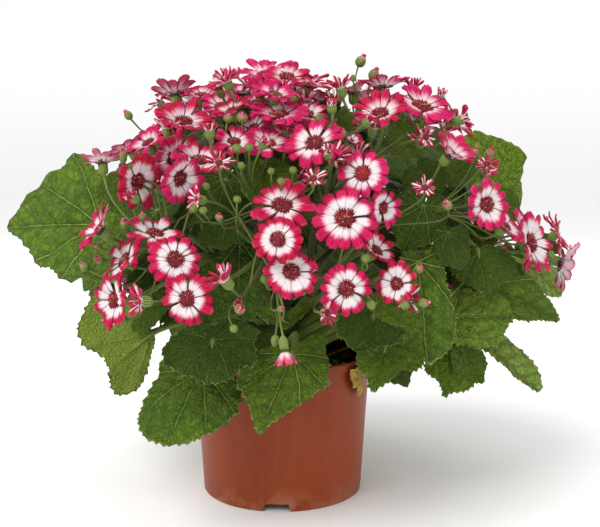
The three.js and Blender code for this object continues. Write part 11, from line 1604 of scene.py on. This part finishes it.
# ------------------------------------------------------------------ pot
def pot():
    H, RT, RB, STEP, DEPTH, WALL = 100.5, 65.0, 57.64, 0.8, 5.2, 1.7
    wall = lambda z: RB + (RT - STEP - RB) * z / H
    inner = lambda z: wall(z) - WALL
    lip = H - DEPTH
    # angular samples: finer at the four notches
    base = list(np.linspace(0, 90, 37)[:-1])
    angles = []
    for i in range(4):
        c = -92.8 + 90 * i
        local = sorted(set([round(x, 4) for x in np.linspace(9.9, 80.1, 30)] + [-9.9, -9.55, -9.3, -8.25, -8.05, -7.7, -6, -4, -2, 0, 2, 4, 6, 7.7, 8.05, 8.25, 9.3, 9.55]))
        angles += [c + x for x in local]
    th = np.radians(np.array(angles))
    off = np.array([((a + 92.8 + 45) % 90) - 45 for a in angles])
    notch = 5.4 * (1 - np.clip((np.abs(off) - 8.05) / 1.5, 0, 1))
    notch = notch - 0.35 * np.exp(-((np.abs(off) - 8.0) / 0.35) ** 2)
    prof = [
        (60 - 60, 6.0, 0, 0), (20, 6.0, 0, 0), (44, 6.0, 0, 0), (51.2, 6.0, 0, 0), (52.2, 5.75, 0, 0), (52.6, 5.55, 0, 0),
        (53.2, 0.35, 1, 0), (53.6, 0.0, 1, 0), (RB - 1.0, 0.0, 1, 0), (wall(0.3) - 0.25, 0.3, 1, 0), (wall(0.9), 0.9, 1, 0),
    ]
    zs = [6.5, 9, 14, 22, 32, 44, 56, 68, 80, 88, 92.5, 94.2]
    prof += [(wall(z), z, 0, 0) for z in zs]
    prof += [(wall(lip - 0.35) + 0.05, lip - 0.35, 0, 0), (RT - 0.25, lip - 0.05, 0, 0), (RT, lip + 0.35, 0, 0), (RT, lip + 1.4, 0, 0), (RT, H - 1.4, 0, 0), (RT - 0.12, H - 0.55, 0, 0), (RT - 0.5, H - 0.12, 0, 0), (RT - 0.9, H, 0, 0),
             (inner(H) + 0.45, H, 0, 0), (inner(H) + 0.1, H - 0.2, 0, 0), (inner(H) - 0.02, H - 0.7, 0, 0)]
    prof += [(inner(z), z, 0, 0) for z in (96, 92, 80, 60, 40, 20)]
    prof += [(inner(10) - 1.2, 9.6, 0, 0), (inner(10) - 3.4, 8.0, 0, 0), (30, 8.0, 0, 0), (0, 8.0, 0, 0)]
    rows = []
    m = len(th)
    drift = value_noise(5, 7)
    for r_, z, cut, _ in prof[1:-1]:
        zz = np.full(m, z, float)
        if cut:
            zz = np.maximum(z, 0) * 1.0 + notch * (1 - 0.0 * z)
            zz = np.where(notch > 0.05, np.maximum(notch + (0.25 if z > 0.2 else 0.0), z), z)
        rad = r_ + 0.10 * drift(th / (2 * pi)) * (1 if z > 20 else 0)
        rr = rad if not cut else rad + (wall(1) - wall(0)) * zz * (1 if r_ > 55 else 0)
        rows.append(np.stack([rr * np.cos(th), rr * np.sin(th), zz], -1))
    n = len(rows)
    V = np.concatenate(rows + [[[0, 0, prof[0][1]]], [[0, 0, prof[-1][1]]]])
    I = np.arange(n * m).reshape(n, m)
    I = np.concatenate([np.full((1, m), n * m), I, np.full((1, m), n * m + 1)])
    I = np.concatenate([I, I[:, :1]], 1)
    b = Build()
    b.solid(V, (0, 0, 0, 0), (0, 0, 0, 0), [(I, 0, (330, 380))])
    ob = b.make("pot_moulding", [M_POT], replaces=["pot"])
    # drain holes
    cut = bpy.data.meshes.new("drain_cut")
    verts, faces = [], []
    for i in range(4):
        f = math.radians(-92.8 + 45 + 90 * i)
        cx, cy = 0.036 * math.cos(f), 0.036 * math.sin(f)
        k0 = len(verts)
        s = 20
        for zz in (0.002, 0.012):
            verts += [(cx + 0.004 * math.cos(2 * pi * j / s), cy + 0.004 * math.sin(2 * pi * j / s), zz) for j in range(s)]
        faces += [tuple(k0 + j for j in range(s))[::-1], tuple(k0 + s + j for j in range(s))]
        faces += [(k0 + j, k0 + (j + 1) % s, k0 + s + (j + 1) % s, k0 + s + j) for j in range(s)]
    cut.from_pydata(verts, [], faces)
    co = bpy.data.objects.new("drain_cut", cut)
    scene.collection.objects.link(co)
    mod = ob.modifiers.new("drain", "BOOLEAN")
    mod.operation, mod.object, mod.solver = "DIFFERENCE", co, "EXACT"
    bpy.context.view_layer.update()
    done = bpy.data.meshes.new_from_object(ob.evaluated_get(bpy.context.evaluated_depsgraph_get()))
    ob.modifiers.clear()
    old = ob.data
    ob.data = done
    done.name = "pot_moulding"
    bpy.data.meshes.remove(old)
    bpy.data.objects.remove(co)
    bpy.data.meshes.remove(cut)
    done.set_sharp_from_angle(angle=math.radians(38))
    return ob


def soil():
    H, RB = 100.5, 57.64
    inner = lambda z: RB + (65 - 0.8 - RB) * z / H - 1.7
    nz = lattice(3, 64)
    nz2 = lattice(4, 64)
    m = 96
    th = 2 * pi * np.arange(m) / m
    rad = np.concatenate([[0], np.linspace(4, 61.0, 24)])
    rows = []
    for r_ in rad[1:]:
        x, y = r_ * np.cos(th), r_ * np.sin(th)
        z = 88.4 + 1.3 * nz(x / 9, y / 9) + 0.9 * nz2(x / 3.2, y / 3.2) + 0.9 * smooth(r_, 50, 0)
        rows.append(np.stack([x, y, z], -1))
    for r_, z in ((inner(87) - 0.25, 87.0), (inner(60) - 0.3, 60), (inner(30) - 0.3, 30), (inner(12) - 1.8, 12), (inner(10) - 4, 8.6), (30, 8.6)):
        rows.append(np.stack([r_ * np.cos(th), r_ * np.sin(th), np.full(m, z)], -1))
    n = len(rows)
    V = np.concatenate(rows + [[[0, 0, 89.2]], [[0, 0, 8.6]]])
    I = np.arange(n * m).reshape(n, m)
    I = np.concatenate([np.full((1, m), n * m), I, np.full((1, m), n * m + 1)])
    I = np.concatenate([I, I[:, :1]], 1)
    b = Build()
    b.solid(V, (0, 0, 0, 0), (0, 0, 0, 0), [(I, 0, (200, 380))])
    r = np.random.RandomState(12)
    for i in range(230):
        x = r.rand(8)
        rr, f = 60.0 * math.sqrt(x[0]), 2 * pi * x[1]
        if rr < 12:
            continue
        size = 0.7 + 2.3 * x[2] ** 2.2
        at = vec([rr * math.cos(f), rr * math.sin(f), 0])
        at[2] = 88.4 + 1.3 * nz(at[0] / 9, at[1] / 9) + 0.9 * nz2(at[0] / 3.2, at[1] / 3.2) + 0.3 * size
        fr = basis([x[3] - 0.5, x[4] - 0.5, 0.6])
        flat = 0.35 + 0.5 * x[5]
        long_ = 1 + 1.4 * x[6]
        prof = [(-1, 0), (-0.72, 0.66), (0.0, 1.0), (0.66, 0.70), (1, 0)]
        jag = r.rand(3, 7) * 0.5 + 0.75
        turned(b, [(z * size * flat, q * size * long_ * 0.8) for z, q in prof], 7, 0, [0, 0, 0], (x[7], 1.0, 0, 0), at, fr, lambda k_, f_: (jag[k_], 0.0), (2, 3))
    return b.make("potting_mix_bed", [M_SOIL], replaces=["potting_mix"])


def crown():
    b = Build()
    z = np.array([70, 80, 88, 94, 100, 106, 112, 118, 124, 129, 133, 136.5])
    rad = np.interp(z, [70, 92, 114, 130, 137], [7.8, 8.8, 9.8, 11.2, 9.6])
    P = np.stack([0.5 * np.sin(z / 9), 0.5 * np.cos(z / 11), z], -1)
    nz = lattice(8)
    tube(b, P, rad * (1 + 0.05 * np.sin(z * 0.9)), 20, 0, 0.4, (0.25, 0.3, 0.0, 0.5), ribs=0.03, size=(70, 70))
    return b.make("crown_stem", [M_STEM], replaces=["crown"])


pot()
soil()
crown()

# ------------------------------------------------------------------ the plant
for i, lf in enumerate(LEAVES):
    if lf[1] >= 0:
        continue
    b = Build()
    dry = lf[0] == "leaf_withered"
    leaf(b, lf, 1000 + i, True, 0 if dry else LEAF)
    b.make(lf[0] + "_blade", [M_DRY] if dry else PLANT, replaces=[lf[0]])

for i, h in enumerate(HEADS):
    if h[13]:
        b = Build()
        head(b, h, 3000 + i)
        b.make(h[13] + "_head", PLANT, replaces=[h[13]])

for s_, stalk in enumerate(STALKS):
    b = Build()
    rs = np.random.RandomState(500 + s_)
    P = bezier(stalk, 14)
    tube(b, P, np.linspace(3.4, 2.5, 14), 12, STEM, rs.rand(), (0.14, 0.5, 0.6, 0.5), ribs=0.04)
    for j, br in enumerate(BRANCHES):
        if br[0] != s_:
            continue
        P = bezier(br[1:], 9)
        tube(b, P, np.linspace(1.75, 1.1, 9), 8, STEM, rs.rand(), (0.30, 0.5, 0.8, 0.5), ribs=0.03)
    for i, h in enumerate(HEADS):
        if h[1] != s_:
            continue
        P = bezier(h[9:13], 8)
        thick = 0.50 if h[0] in "Bn" else 0.66
        rr = np.linspace(thick, thick * 0.85, 8)
        rr[-1], rr[-2] = thick * 1.35, thick * 1.05
        rs2 = np.random.RandomState(7000 + i)
        tube(b, P, rr, 6, STEM, rs2.rand(), (0.18 + 0.5 * rs2.rand(), 0.5, 1.0, 0.5))
        if not h[13]:
            head(b, h, 3000 + i)
    for i, lf in enumerate(LEAVES):
        if lf[1] == s_:
            leaf(b, lf, 2000 + i, False)
    b.make("corymb_%d_spray" % (s_ + 1), PLANT, replaces=["corymb_%d" % (s_ + 1)])

print("TRIANGLES", sum(TRIS.values()), "largest", max(TRIS.items(), key=lambda x: x[1]), "pieces", len(TRIS))
print("SIZES", {k: v for k, v in list(TRIS.items()) if k.startswith(("corymb", "pot", "crown", "leaf_left_big", "flower_front_01", "flower_back_01"))})
bpy.context.view_layer.update()
